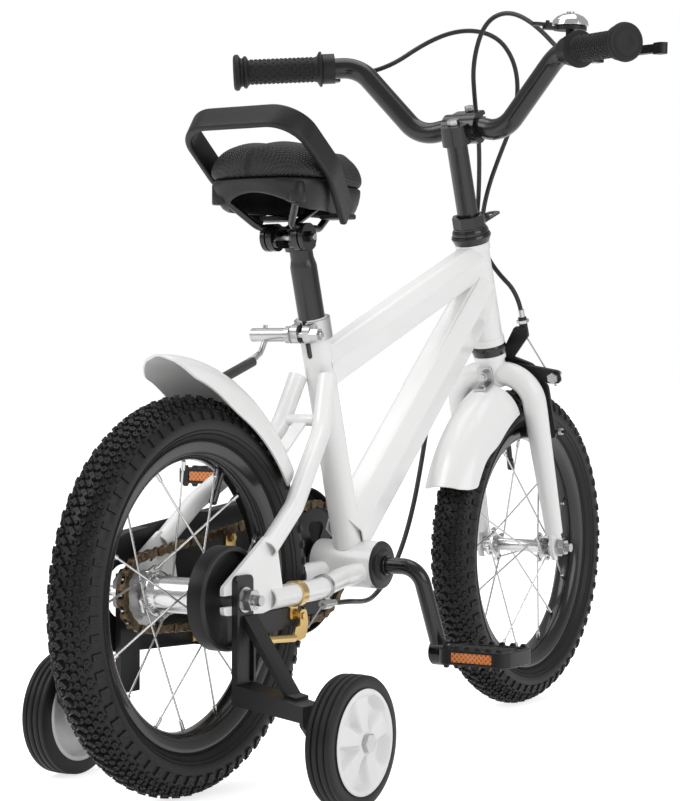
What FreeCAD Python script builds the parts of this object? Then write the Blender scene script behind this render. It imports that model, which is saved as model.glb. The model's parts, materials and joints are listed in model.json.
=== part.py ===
"""Fourteen-inch kids bike with training wheels, a band brake, a chain case and a mudguard at each end."""
import FreeCAD
import Part
import math
import os
from FreeCAD import Vector

# Wheels, in millimetres, with the floor at z = 0 and the bike facing +X
TYRE_RADIUS = 175.0
TYRE_HALF_WIDTH = 24.5
TYRE_WALL = 3.4
RIM_EDGE_RADIUS = 134.0
RIM_INNER_RADIUS = 118.5
RIM_HALF_WIDTH = 14.0
RIM_WALL = 1.6
SPOKE_COUNT = 16
SPOKE_RADIUS = 1.0
NIPPLE_RADIUS = 2.0
NIPPLE_LENGTH = 9.0
WHEELBASE = 640.0

# Frame
HEAD_ANGLE = 71.0
SEAT_ANGLE = 73.0
BRACKET_RISE = 7.0
HEAD_TUBE_START = 237.0
HEAD_TUBE_END = 351.0
HEAD_TUBE_RADIUS = 17.0
HEAD_COLLAR = 1.5
FRAME_WALL = 1.8
SEAT_TUBE_RADIUS = 14.3
SEAT_TUBE_LENGTH = 250.0
SEAT_SLOT_LENGTH = 34.0
SEAT_SLOT_WIDTH = 6.0
TOP_TUBE_HEAD = 331.0
TOP_TUBE_DROP = 52.5
TOP_TUBE_SEAT = SEAT_TUBE_LENGTH - TOP_TUBE_DROP
TOP_TUBE_HEIGHT = 39.0
TOP_TUBE_WIDTH = 32.0
DOWN_TUBE_HEAD = 296.0
DOWN_TUBE_SEAT = 29.0
DOWN_TUBE_HEIGHT = 50.0
DOWN_TUBE_WIDTH = 42.0
CREASE_SHARE = 0.3
SECTION_ROUNDING = 5.0
BRACKET_SHELL_RADIUS = 23.0
BRACKET_SHELL_HALF = 34.0
BRACKET_WALL = 2.5
STAY_RADIUS = 9.0
CHAIN_STAY_RADIUS = 10.0
REAR_DROPOUT_Y = 57.0
DROPOUT_THICKNESS = 4.0
FRONT_DROPOUT_Y = 45.5

# Drive
CHAIN_PITCH = 12.7
CHAIN_LINKS = 66
CHAINRING_TEETH = 28
SPROCKET_TEETH = 16
CHAIN_LINE = 43.0
ROLLER_RADIUS = 3.9
ROLLER_WIDTH = 3.4
ROLLER_CLEARANCE = 0.6
LINK_PLATE = 1.1
LINK_GAP = 0.12
PIN_RADIUS = 1.8
CRANK_LENGTH = 86.0
CRANK_RADIUS = 8.0
CRANK_REST_ANGLE = 15.0
CRANK_OUT = 76.0
PEDAL_LENGTH = 76.0
PEDAL_DEPTH = 56.0
PEDAL_THICKNESS = 21.0

# Seat
POST_RADIUS = 12.7
POST_LENGTH = 165.0
POST_OUT = 84.0
SADDLE_FRONT = -44.0
SADDLE_REAR = -228.0
SADDLE_HALF_WIDTH = 57.0
NOSE_HALF_WIDTH = 23.0
SADDLE_TOP = 581.0
CUSHION_BOTTOM = 545.0
SADDLE_BOTTOM = 517.0

# Bars
BAR_RADIUS = 11.1
BAR_REACH = 20.0
BAR_HEIGHT = 470.5
GRIP_RADIUS = 13.0
GRIP_FLANGE = 19.5
GRIP_LENGTH = 92.0

# Training wheels
TRAINER_RADIUS = 57.0
TRAINER_WIDTH = 30.0
TRAINER_TRACK = 151.0
TRAINER_BEHIND = -288.0

AXLE_RADIUS = 4.7
AXLE_GROOVE = 1.2
AXLE_TIP = 5.0
AXLE_WASHER = 1.6
AXLE_PLAY = 0.05
RUNNING_CLEARANCE = 0.08
SIDE_CLEARANCE = 0.35

X = Vector(1, 0, 0)
Y = Vector(0, 1, 0)
Z = Vector(0, 0, 1)
REAR_AXLE = Vector(-WHEELBASE / 2, 0, TYRE_RADIUS)
FRONT_AXLE = Vector(WHEELBASE / 2, 0, TYRE_RADIUS)


# Small helpers
def unit(v):
    w = Vector(v)
    w.normalize()
    return w


def cyl(start, end, radius):
    run = end.sub(start)
    return Part.makeCylinder(radius, run.Length, start, run)


def pipe(start, end, outer, inner):
    return cyl(start, end, outer).cut(cyl(start, end, inner))


def cone(start, end, r_start, r_end):
    run = end.sub(start)
    return Part.makeCone(r_start, r_end, run.Length, start, run)


def prism(points, sweep):
    wire = Part.makePolygon(list(points) + [points[0]])
    return Part.Face(wire).extrude(sweep)


def ngon(centre, axis, radius, sides, start=None, turn=0.0):
    axis = unit(axis)
    ref = start if start else (X if abs(axis.x) < 0.9 else Z)
    a = unit(ref.sub(axis * ref.dot(axis)))
    b = axis.cross(a)
    points = []
    for k in range(sides):
        t = math.radians(turn) + 2 * math.pi * k / sides
        points.append(centre + a * (radius * math.cos(t)) + b * (radius * math.sin(t)))
    return points


def bar(start, end, radius, sides=6):
    run = end.sub(start)
    return prism(ngon(start, run, radius, sides), run)


def hex_nut(start, axis, across, height, bore):
    nut = prism(ngon(start, axis, across / math.sqrt(3), 6), unit(axis) * height)
    return nut.cut(cyl(start - unit(axis), start + unit(axis) * (height + 1), bore))


def rounded_wire(points, radius):
    """A closed outline with every corner rounded; radius may be one number or one for each corner."""
    count = len(points)
    radii = radius if isinstance(radius, (list, tuple)) else [radius] * count
    cuts = []
    for k in range(count):
        p = points[k]
        a = unit(points[k - 1].sub(p))
        b = unit(points[(k + 1) % count].sub(p))
        half = math.acos(max(-1.0, min(1.0, a.dot(b)))) / 2
        if radii[k] <= 0:
            cuts.append((p, p, p))
            continue
        run = radii[k] / math.tan(half)
        bisector = unit(a + b)
        middle = p + bisector * (radii[k] / math.sin(half) - radii[k])
        cuts.append((p + a * run, middle, p + b * run))
    edges = []
    for k in range(count):
        start, middle, end = cuts[k]
        if start.distanceToPoint(end) > 1e-6:
            edges.append(Part.Arc(start, middle, end).toShape())
        following = cuts[(k + 1) % count][0]
        if end.distanceToPoint(following) > 1e-6:
            edges.append(Part.LineSegment(end, following).toShape())
    return Part.Wire(edges)


def plate(points, radius, sweep):
    return Part.Face(rounded_wire(points, radius)).extrude(sweep)


def route(points, bend, share=None):
    """A path of straight runs joined by tangent arcs, with a list of its arc radii."""
    edges = []
    radii = []
    last = points[0]
    for k in range(1, len(points) - 1):
        p = points[k]
        a = points[k - 1].sub(p)
        b = points[k + 1].sub(p)
        ua = unit(a)
        ub = unit(b)
        half = math.acos(max(-1.0, min(1.0, ua.dot(ub)))) / 2
        turn = math.pi - 2 * half
        shorter = min(a.Length, b.Length)
        r = share * shorter / math.tan(turn / 2) if share else bend
        run = r * math.tan(turn / 2)
        start = p + ua * run
        end = p + ub * run
        middle = p + unit(ua + ub) * (r / math.sin(half) - r)
        if start.distanceToPoint(last) > 1e-6:
            edges.append(Part.LineSegment(last, start).toShape())
        edges.append(Part.Arc(start, middle, end).toShape())
        radii.append(r)
        last = end
    edges.append(Part.LineSegment(last, points[-1]).toShape())
    return Part.Wire(edges), radii


def sweep(points, radius, bend):
    path = route(points, bend)[0]
    profile = Part.Wire(Part.makeCircle(radius, points[0], points[1].sub(points[0])))
    return path.makePipeShell([profile], True, False)


def cable(points, diameter):
    """A cord along its route; its volume is compared with its section times its length."""
    path, radii = route(points, 0, 0.45)
    profile = Part.Wire(Part.makeCircle(diameter / 2, points[0], points[1].sub(points[0])))
    solid = path.makePipeShell([profile], True, False)
    expected = math.pi * diameter * diameter / 4 * path.Length
    smallest = min(radii)
    print("cord length %.0f mm, tightest arc %.1f mm, volume ratio %.4f"
          % (path.Length, smallest, solid.Volume / expected))
    return solid


def turned(profile, centre, axis=Y, angle=360.0, start=X):
    """A profile of (radius, place along axis) points turned about the axis through centre."""
    axis = unit(axis)
    out = unit(start.sub(axis * start.dot(axis)))
    points = [centre + out * r + axis * y for r, y in profile]
    face = Part.Face(Part.makePolygon(points + [points[0]]))
    return face.revolve(centre, axis, angle)


def group(*shapes):
    return Part.makeCompound(list(shapes))


def flipped(shape):
    return shape.mirror(Vector(0, 0, 0), Y)


def fused(*shapes):
    whole = shapes[0].fuse(list(shapes[1:])) if len(shapes) > 1 else shapes[0]
    return whole.removeSplitter()


# Places that many pieces share
HEAD_UP = Vector(-math.cos(math.radians(HEAD_ANGLE)), 0, math.sin(math.radians(HEAD_ANGLE)))
HEAD_AHEAD = Vector(HEAD_UP.z, 0, -HEAD_UP.x)


def on_head(along, ahead=0.0, y=0.0):
    return FRONT_AXLE + HEAD_UP * along + HEAD_AHEAD * ahead + Y * y


def pitch_radius(teeth):
    return CHAIN_PITCH / 2 / math.sin(math.pi / teeth)


def links_round(centres):
    r1 = pitch_radius(CHAINRING_TEETH)
    r2 = pitch_radius(SPROCKET_TEETH)
    lean = math.asin((r1 - r2) / centres)
    span = math.sqrt(centres ** 2 - (r1 - r2) ** 2)
    wrapped = CHAINRING_TEETH * (math.pi + 2 * lean) + SPROCKET_TEETH * (math.pi - 2 * lean)
    return 2 * span / CHAIN_PITCH + wrapped / (2 * math.pi)


def centre_distance():
    low = CHAIN_PITCH * CHAIN_LINKS / 8
    high = CHAIN_PITCH * CHAIN_LINKS / 2
    for _ in range(60):
        middle = (low + high) / 2
        if links_round(middle) < CHAIN_LINKS:
            low = middle
        else:
            high = middle
    return (low + high) / 2


STAY_REACH = centre_distance()
BRACKET = REAR_AXLE + Vector(math.sqrt(STAY_REACH ** 2 - BRACKET_RISE ** 2), 0, BRACKET_RISE)
SEAT_UP = Vector(-math.cos(math.radians(SEAT_ANGLE)), 0, math.sin(math.radians(SEAT_ANGLE)))
SEAT_AHEAD = Vector(SEAT_UP.z, 0, -SEAT_UP.x)


def on_seat(along, ahead=0.0, y=0.0):
    return BRACKET + SEAT_UP * along + SEAT_AHEAD * ahead + Y * y


# Wheels: tyre, rim, spokes and hub
def tyre(centre):
    w = TYRE_HALF_WIDTH
    top = TYRE_RADIUS
    seat = RIM_HALF_WIDTH - RIM_WALL - 0.05
    low = RIM_EDGE_RADIUS - 6
    outer = [(low, seat), (RIM_EDGE_RADIUS + 0.4, seat), (RIM_EDGE_RADIUS + 4, w - 6),
             (top - 26, w), (top - 9, w - 1.5), (top - 3, w - 8), (top, 0)]
    t = TYRE_WALL
    inner = [(top - 2 * t, 0), (top - 3 - 2 * t, w - 11), (top - 26, w - t), (RIM_EDGE_RADIUS + 5, w - 6 - t),
             (RIM_EDGE_RADIUS, seat - t), (low, seat - t)]
    right = outer + inner[1:]
    profile = outer[:-1] + [(top, 0)] + [(r, -y) for r, y in reversed(outer[:-1])]
    profile += [(r, -y) for r, y in reversed(inner[1:])] + [inner[0]] + inner[1:]
    return turned(profile, centre)


def rim(centre):
    w = RIM_HALF_WIDTH
    t = RIM_WALL
    e = RIM_EDGE_RADIUS
    i = RIM_INNER_RADIUS
    half_out = [(e, w), (e - 8, w), (i + 2, w - 4.5), (i, 4)]
    half_in = [(i + t, 4), (i + 2 + t, w - 5.3), (e - 8 + 0.6, w - t), (e, w - t)]
    profile = half_out + [(r, -y) for r, y in reversed(half_out)]
    profile += [(r, -y) for r, y in reversed(half_in)] + half_in
    body = turned(profile, centre)
    return body


def spokes(centre, flange_radius, flange_left, flange_right, flange_thickness):
    pieces = []
    for k in range(SPOKE_COUNT):
        side = 1 if k % 2 == 0 else -1
        flange = flange_left if side > 0 else flange_right
        rim_angle = 360.0 / SPOKE_COUNT * k
        ear = k // 4
        lead = 1 if (k // 2) % 2 == 0 else -1
        base = rim_angle - lead * 67.5
        hole = math.radians(base + lead * 9.0)
        reach = math.radians(rim_angle)
        face = flange - side * (flange_thickness / 2 + SPOKE_RADIUS + 0.35)
        start = centre + Vector(flange_radius * math.cos(hole), face, flange_radius * math.sin(hole))
        end = centre + Vector((RIM_INNER_RADIUS - 0.7) * math.cos(reach), side * 1.5,
                              (RIM_INNER_RADIUS - 0.7) * math.sin(reach))
        run = unit(end.sub(start))
        elbow = bar(start - Y * (side * SPOKE_RADIUS), start + Y * (side * (flange_thickness + 3.0)), SPOKE_RADIUS, 5)
        pieces.append(fused(bar(start - run * 0.9, end - run * NIPPLE_LENGTH, SPOKE_RADIUS, 5), elbow,
                            bar(end - run * NIPPLE_LENGTH, end, NIPPLE_RADIUS, 6)))
    return group(*pieces)


def eared_flange(centre, y, core, reach, thickness, turn):
    """A flange with four ears, two spoke holes to each ear."""
    points = []
    for k in range(4):
        middle = turn + 90.0 * k
        for offset, radius in ((-24, core + 0.6), (-15, reach), (15, reach), (24, core + 0.6)):
            t = math.radians(middle + offset)
            points.append(centre + Vector(radius * math.cos(t), y - thickness / 2, radius * math.sin(t)))
    ears = plate(points, 1.6, Y * thickness)
    for k in range(4):
        for offset in (-9, 9):
            t = math.radians(turn + 90.0 * k + offset)
            at = centre + Vector((reach - 3.4) * math.cos(t), y, (reach - 3.4) * math.sin(t))
            ears = ears.cut(cyl(at - Y * thickness, at + Y * thickness, 1.3))
    return ears


def ear_turn():
    return 22.5


def front_hub():
    bore = AXLE_RADIUS + RUNNING_CLEARANCE
    end = FRONT_HUB_HALF
    profile = [(bore, -end), (8.5, -end), (9.5, -FLANGE_FRONT - 2), (9.5, -FLANGE_FRONT + 2), (7.0, -FLANGE_FRONT + 6),
               (7.0, FLANGE_FRONT - 6), (9.5, FLANGE_FRONT - 2), (9.5, FLANGE_FRONT + 2), (8.5, end), (bore, end)]
    shell = turned(profile, FRONT_AXLE)
    left = eared_flange(FRONT_AXLE, FLANGE_FRONT, 12.0, 20.0, 2.4, ear_turn())
    right = eared_flange(FRONT_AXLE, -FLANGE_FRONT, 12.0, 20.0, 2.4, ear_turn() + 22.5)
    hole = cyl(FRONT_AXLE - Y * 60, FRONT_AXLE + Y * 60, bore)
    return shell.fuse([left.cut(hole), right.cut(hole)]).removeSplitter()


FLANGE_FRONT = 30.0
FRONT_HUB_HALF = 39.0
FRONT_SPACER = FRONT_DROPOUT_Y - DROPOUT_THICKNESS / 2
FLANGE_REAR_LEFT = 29.5
FLANGE_REAR_RIGHT = -28.0
REAR_BARREL_RADIUS = 16.0
DRUM_RADIUS = 38.0
DRUM_WEB_Y = -33.0
DRUM_EDGE_Y = -41.0
COVER_RADIUS = 45.5
COVER_WEB_Y = -42.5
COVER_EDGE_Y = -50.0


def rear_hub():
    bore = AXLE_RADIUS + RUNNING_CLEARANCE
    r = REAR_BARREL_RADIUS
    left = FLANGE_REAR_LEFT
    profile = [(bore, DRUM_WEB_Y), (r - 2, DRUM_WEB_Y), (r, DRUM_WEB_Y + 3), (r, left - 7), (r + 4, left - 2),
               (r + 4, left + 1.2), (THREAD_RADIUS, left + 1.2), (THREAD_RADIUS, THREAD_END), (bore, THREAD_END)]
    shell = turned(profile, REAR_AXLE)
    flange = eared_flange(REAR_AXLE, left, 20.0, 26.0, 2.6, ear_turn())
    other = eared_flange(REAR_AXLE, FLANGE_REAR_RIGHT, 20.0, 26.0, 2.6, ear_turn() + 22.5)
    hole = cyl(REAR_AXLE - Y * 60, REAR_AXLE + Y * 60, bore)
    return shell.fuse([flange.cut(hole), other.cut(hole)]).removeSplitter()


THREAD_RADIUS = 14.0
THREAD_END = CHAIN_LINE + 4.5
SPROCKET_BORE = THREAD_RADIUS + RUNNING_CLEARANCE


def brake_drum():
    r = DRUM_RADIUS
    bore = AXLE_RADIUS + 3
    profile = [(bore, DRUM_WEB_Y - 0.05), (r, DRUM_WEB_Y - 0.05), (r, DRUM_EDGE_Y), (r - 2.6, DRUM_EDGE_Y),
               (r - 2.6, DRUM_WEB_Y - 2.6), (bore, DRUM_WEB_Y - 2.6)]
    return turned(profile, REAR_AXLE)


def axle(centre, half, grip_y, nut_across, nut_height, washer):
    """A rod with a washer, a nut and a narrow groove outside the nut at each end."""
    rod = cyl(centre - Y * half, centre + Y * half, AXLE_RADIUS)
    pieces = []
    for side in (1, -1):
        face = centre + Y * (side * grip_y)
        ring = pipe(face, face + Y * (side * AXLE_WASHER), washer, AXLE_RADIUS + 0.02)
        seat = face + Y * (side * (AXLE_WASHER + AXLE_PLAY))
        nut = hex_nut(seat, Y * side, nut_across, nut_height, AXLE_RADIUS + 0.02)
        free = seat + Y * (side * nut_height)
        rod = rod.cut(pipe(free, free + Y * (side * AXLE_GROOVE), AXLE_RADIUS + 2, AXLE_RADIUS - 0.6))
        pieces += [ring, nut]
    return [rod] + pieces


def spacer(centre, start, end):
    return pipe(centre + Y * start, centre + Y * end, AXLE_RADIUS + 4.0, AXLE_RADIUS + 0.02)


FRONT_NUT = 8.0
FRONT_GRIP_Y = FRONT_DROPOUT_Y + DROPOUT_THICKNESS / 2 + 0.02
FRONT_AXLE_HALF = FRONT_GRIP_Y + AXLE_WASHER + AXLE_PLAY + FRONT_NUT + AXLE_GROOVE + AXLE_TIP


def front_axle():
    inner = FRONT_HUB_HALF + SIDE_CLEARANCE
    pieces = axle(FRONT_AXLE, FRONT_AXLE_HALF, FRONT_GRIP_Y, 15, FRONT_NUT, 9.5)
    for side in (1, -1):
        pieces.append(spacer(FRONT_AXLE, side * inner, side * (FRONT_SPACER - 0.02)))
    return group(*pieces)


TRAINER_PLATE = 3.5
REAR_CLAMP_Y = REAR_DROPOUT_Y + DROPOUT_THICKNESS / 2


def rear_axle():
    half = REAR_CLAMP_Y + TRAINER_PLATE + 18
    pieces = axle(REAR_AXLE, half, REAR_CLAMP_Y + TRAINER_PLATE + 0.04, 17, 9, 11)
    inner = REAR_DROPOUT_Y - DROPOUT_THICKNESS / 2 - 0.02
    pieces.append(spacer(REAR_AXLE, THREAD_END + SIDE_CLEARANCE, inner))
    pieces.append(spacer(REAR_AXLE, -(inner), COVER_WEB_Y - 1.6))
    return group(*pieces)


# Frame tubes: rounded sections with a crease along each side, coped where they meet
def creased_section(centre, along, height, width, rounding):
    along = unit(along)
    up = unit(Y.cross(along))
    if up.z < 0:
        up = up * -1
    h = height / 2
    w = width / 2
    corners = [(h, 0.5 * w), (CREASE_SHARE * h, w), (-h, 0.55 * w), (-h, -0.55 * w), (CREASE_SHARE * h, -w),
               (h, -0.5 * w)]
    points = [centre + up * a + Y * b for a, b in corners]
    radii = [rounding, rounding * 0.5, rounding, rounding, rounding * 0.5, rounding]
    return rounded_wire(points, radii)


def creased_tube(start, end, height, width, rounding):
    run = end.sub(start)
    outer = Part.Face(creased_section(start, run, height, width, rounding)).extrude(run)
    t = 2 * FRAME_WALL
    inner = Part.Face(creased_section(start, run, height - t, width - t, rounding - FRAME_WALL * 0.6)).extrude(run)
    return outer.cut(inner)


def head_cylinder(radius):
    return cyl(on_head(HEAD_TUBE_START), on_head(HEAD_TUBE_END), radius)


def seat_cylinder(radius):
    return cyl(on_seat(0), on_seat(SEAT_TUBE_LENGTH), radius)


def shell_cylinder(radius):
    return cyl(BRACKET - Y * BRACKET_SHELL_HALF, BRACKET + Y * BRACKET_SHELL_HALF, radius)


def biggest(shape):
    return sorted(shape.Solids, key=lambda s: s.Volume)[-1]


def head_tube():
    body = head_cylinder(HEAD_TUBE_RADIUS)
    for along in (HEAD_TUBE_START, HEAD_TUBE_END - 8):
        body = body.fuse(cyl(on_head(along), on_head(along + 8), HEAD_TUBE_RADIUS + HEAD_COLLAR))
    return body.cut(head_cylinder(HEAD_TUBE_RADIUS - 2.4)).removeSplitter()


def top_tube():
    tube = creased_tube(on_seat(TOP_TUBE_SEAT), on_head(TOP_TUBE_HEAD), TOP_TUBE_HEIGHT, TOP_TUBE_WIDTH,
                        SECTION_ROUNDING)
    collar = cyl(on_head(HEAD_TUBE_END - 8.05), on_head(HEAD_TUBE_END + 14), HEAD_TUBE_RADIUS + HEAD_COLLAR + 0.05)
    tube = tube.cut(head_cylinder(HEAD_TUBE_RADIUS)).cut(seat_cylinder(SEAT_TUBE_RADIUS)).cut(collar)
    return biggest(tube)


def down_tube():
    tube = creased_tube(on_seat(DOWN_TUBE_SEAT), on_head(DOWN_TUBE_HEAD), DOWN_TUBE_HEIGHT, DOWN_TUBE_WIDTH,
                        SECTION_ROUNDING + 2)
    tube = tube.cut(head_cylinder(HEAD_TUBE_RADIUS)).cut(seat_cylinder(SEAT_TUBE_RADIUS))
    tube = tube.cut(shell_cylinder(BRACKET_SHELL_RADIUS))
    slope = unit(on_head(TOP_TUBE_HEAD).sub(on_seat(TOP_TUBE_SEAT)))
    top = Part.Face(creased_section(on_seat(TOP_TUBE_SEAT), slope, TOP_TUBE_HEIGHT, TOP_TUBE_WIDTH,
                                    SECTION_ROUNDING)).extrude(slope * 400)
    return biggest(tube.cut(top))


def seat_tube():
    tube = cyl(on_seat(BRACKET_SHELL_RADIUS - 4), on_seat(SEAT_TUBE_LENGTH), SEAT_TUBE_RADIUS)
    bore = cyl(on_seat(BRACKET_SHELL_RADIUS - 5), on_seat(SEAT_TUBE_LENGTH + 1), POST_RADIUS + RUNNING_CLEARANCE)
    tube = tube.cut(bore).cut(shell_cylinder(BRACKET_SHELL_RADIUS))
    half = SEAT_SLOT_WIDTH / 2
    low = SEAT_TUBE_LENGTH - SEAT_SLOT_LENGTH
    corners = [on_seat(low, -9, -half), on_seat(low, -9, half), on_seat(SEAT_TUBE_LENGTH + 2, -9, half),
               on_seat(SEAT_TUBE_LENGTH + 2, -9, -half)]
    slot = prism(corners, SEAT_AHEAD * -12)
    end = cyl(on_seat(low, -9), on_seat(low, -21), half)
    return tube.cut(slot).cut(end)


def bottom_bracket_shell():
    return shell_cylinder(BRACKET_SHELL_RADIUS).cut(shell_cylinder(BRACKET_SHELL_RADIUS - BRACKET_WALL))


CUP_OUT = 6.0
CRANK_AXLE_RADIUS = 9.5


def bottom_bracket_cups():
    cups = []
    for side in (1, -1):
        face = BRACKET_SHELL_HALF * side
        profile = [(CRANK_AXLE_RADIUS + RUNNING_CLEARANCE, face - 9 * side),
                   (BRACKET_SHELL_RADIUS - BRACKET_WALL - 0.02, face - 9 * side),
                   (BRACKET_SHELL_RADIUS - BRACKET_WALL - 0.02, face + 0.02 * side),
                   (BRACKET_SHELL_RADIUS + 0.6, face + 0.02 * side),
                   (BRACKET_SHELL_RADIUS - 0.6, face + 2.6 * side),
                   (CRANK_AXLE_RADIUS + 6, face + 2.6 * side),
                   (CRANK_AXLE_RADIUS + 4, face + CUP_OUT * side),
                   (CRANK_AXLE_RADIUS + RUNNING_CLEARANCE, face + CUP_OUT * side)]
        cups.append(turned(profile, BRACKET))
    return group(*cups)


STEERER_RADIUS = 12.7


def headset_cups():
    inner = STEERER_RADIUS + RUNNING_CLEARANCE
    low = [(inner, 0.03), (HEAD_TUBE_RADIUS + 1.5, 0.03), (HEAD_TUBE_RADIUS + 2.5, 4), (HEAD_TUBE_RADIUS + 0.5, 11),
           (inner, 11)]
    high = [(inner, 0.03), (HEAD_TUBE_RADIUS + 1.5, 0.03), (HEAD_TUBE_RADIUS + 4.5, 7), (HEAD_TUBE_RADIUS + 3.5, 10),
            (inner, 10)]
    lower = turned(low, on_head(HEAD_TUBE_START), HEAD_UP * -1)
    upper = turned(high, on_head(HEAD_TUBE_END), HEAD_UP)
    return group(lower, upper)


# Rear triangle, built on the left and mirrored
def chain_stay_path():
    start = BRACKET + Vector(-13, 20, -6)
    end = REAR_AXLE + Vector(28, REAR_DROPOUT_Y, -4)
    return [start, Vector(BRACKET.x - 60, 25, BRACKET.z - 8), Vector(BRACKET.x - 134, 46, BRACKET.z - 11), end]


def rear_dropout():
    """A slotted fork end that opens to the rear, with the lug for the seat stay above it."""
    y = REAR_DROPOUT_Y - DROPOUT_THICKNESS / 2
    c = REAR_AXLE
    outline = [Vector(c.x - 26, y, c.z + 12), Vector(c.x - 26, y, c.z - 12), Vector(c.x + 34, y, c.z - 15),
               Vector(c.x + 66, y, c.z - 10), Vector(c.x + 66, y, c.z + 3), Vector(c.x + 56, y, c.z + 46),
               Vector(c.x + 40, y, c.z + 52)]
    body = plate(outline, [5, 5, 5, 3, 12, 5, 6], Y * DROPOUT_THICKNESS)
    half = AXLE_RADIUS + 0.15
    slot = prism([Vector(c.x, y - 1, c.z - half), Vector(c.x, y - 1, c.z + half), Vector(c.x - 40, y - 1, c.z + half),
                  Vector(c.x - 40, y - 1, c.z - half)], Y * (DROPOUT_THICKNESS + 2))
    mouth = cyl(Vector(c.x, y - 1, c.z), Vector(c.x, y + DROPOUT_THICKNESS + 1, c.z), half)
    return body.cut(slot).cut(mouth)


def hollow_sweep(points, radius, bend, wall):
    return sweep(points, radius, bend).cut(sweep(points, radius - wall, bend))


def chain_stay(side):
    path = chain_stay_path()
    tube = hollow_sweep(path, CHAIN_STAY_RADIUS, 60, 1.6)
    drop = rear_dropout()
    tube = tube.cut(shell_cylinder(BRACKET_SHELL_RADIUS)).cut(seat_cylinder(SEAT_TUBE_RADIUS))
    tube = biggest(tube)
    y = REAR_DROPOUT_Y
    end = Part.makeBox(60, 60, 60, Vector(REAR_AXLE.x - 13, y - 30, REAR_AXLE.z - 34))
    tube = tube.cut(end)
    whole = tube.fuse(drop).removeSplitter()
    whole = biggest(whole)
    return whole if side > 0 else flipped(whole)


def seat_stay_path():
    start = on_seat(196, -SEAT_TUBE_RADIUS, SEAT_TUBE_RADIUS + 2)
    end = REAR_AXLE + Vector(43, REAR_DROPOUT_Y + 0.5, 40)
    return [start, Vector(start.x - 23, 24, start.z - 52), Vector(REAR_AXLE.x + 90, 54.5, REAR_AXLE.z + 74), end]


def seat_stay(side):
    tube = hollow_sweep(seat_stay_path(), STAY_RADIUS, 46, 1.5)
    tube = tube.cut(cyl(on_seat(0), on_seat(SEAT_TUBE_LENGTH), SEAT_TUBE_RADIUS))
    tube = biggest(tube).cut(chain_stay(1))
    tube = biggest(tube)
    return tube if side > 0 else flipped(tube)


def stay_at(height):
    """The centre of the left seat stay at a height above the floor, on its upper run."""
    start, bend = seat_stay_path()[:2]
    share = (start.z - height) / (start.z - bend.z)
    return start + bend.sub(start) * share


BRIDGE_HEIGHT = 324.0
GUARD_BOLT_ANGLE = 38.0


def guard_bolt_place():
    """Where the rear mudguard's bolt passes its flat crown, with the ways out and along the guard."""
    t = math.radians(GUARD_BOLT_ANGLE)
    out = Vector(math.cos(t), 0, math.sin(t))
    along = Vector(-math.sin(t), 0, math.cos(t))
    crown = REAR_GUARD_RADIUS - GUARD_DEPTH * (1 - math.cos(math.pi / 14))
    return REAR_AXLE + REAR_GUARD_OFFSET + out * crown, out, along


def stay_bridge():
    """A short tube between the seat stays with the angle strip that carries the rear mudguard."""
    c = stay_at(BRIDGE_HEIGHT)
    left = Vector(c.x, c.y - STAY_RADIUS * 0.85, c.z)
    tube = cyl(Vector(c.x, -left.y, c.z), left, 5.5)
    at, out, along = guard_bolt_place()
    reach = c.sub(at).dot(out)
    drop = c.sub(at).dot(along)
    base = at + out * 0.25 - Y * 7
    strip = prism([base + along * 8, base + along * (drop - 1.3), base + along * (drop - 1.3) + out * reach,
                   base + along * (drop + 1.3) + out * reach, base + along * (drop + 1.3) + out * 2.5,
                   base + along * 8 + out * 2.5], Y * 14)
    body = tube.fuse(strip)
    body = body.cut(cyl(at - out * 3, at + out * 8, 2.6))
    body = body.cut(seat_stay(1)).cut(seat_stay(-1))
    bolt = cyl(at - out * 4.6, at + out * 10, 2.5)
    head = cyl(at - out * 4.6, at - out * (GUARD_WALL + 0.1), 5)
    nut = hex_nut(at + out * 2.8, out, 8, 4, 2.52)
    return group(biggest(body.removeSplitter()), fused(bolt, head), nut)


# Seat post, collar and quick release
COLLAR_HEIGHT = 20.0
COLLAR_WALL = 3.0
EAR_REACH = 15.0
CLAMP_ALONG = SEAT_TUBE_LENGTH - COLLAR_HEIGHT / 2 - 1
CLAMP_BEHIND = -(SEAT_TUBE_RADIUS + COLLAR_WALL + 4.2)
CLAMP_BOLT_RADIUS = 2.9
BARREL_START = 16.5
BARREL_END = 55.0
BARREL_RADIUS = 6.5


def seat_collar():
    low = on_seat(SEAT_TUBE_LENGTH - COLLAR_HEIGHT - 1)
    high = on_seat(SEAT_TUBE_LENGTH - 1)
    outer = cyl(low, high, SEAT_TUBE_RADIUS + COLLAR_WALL)
    ears = []
    for side in (1, -1):
        y0 = side * (SEAT_SLOT_WIDTH / 2)
        y1 = side * (SEAT_SLOT_WIDTH / 2 + 8)
        base = CLAMP_ALONG
        reach = -(SEAT_TUBE_RADIUS + EAR_REACH)
        corners = [on_seat(base - 9, -SEAT_TUBE_RADIUS + 2, y0), on_seat(base - 9, reach + 3, y0),
                   on_seat(base + 9, reach + 3, y0), on_seat(base + 9, -SEAT_TUBE_RADIUS + 2, y0)]
        ears.append(plate(corners, [0, 7, 7, 0], Y * (y1 - y0)))
    body = outer.fuse(ears)
    body = body.cut(cyl(low - SEAT_UP * 2, high + SEAT_UP * 2, SEAT_TUBE_RADIUS + 0.02))
    half = SEAT_SLOT_WIDTH / 2
    below = SEAT_TUBE_LENGTH - 50
    above = SEAT_TUBE_LENGTH + 20
    gap = prism([on_seat(below, -8, -half), on_seat(below, -8, half), on_seat(above, -8, half), on_seat(above, -8, -half)],
                SEAT_AHEAD * -30)
    hole = cyl(on_seat(CLAMP_ALONG, CLAMP_BEHIND, -40), on_seat(CLAMP_ALONG, CLAMP_BEHIND, 40), CLAMP_BOLT_RADIUS + 0.1)
    return body.cut(gap).cut(hole).removeSplitter()


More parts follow.
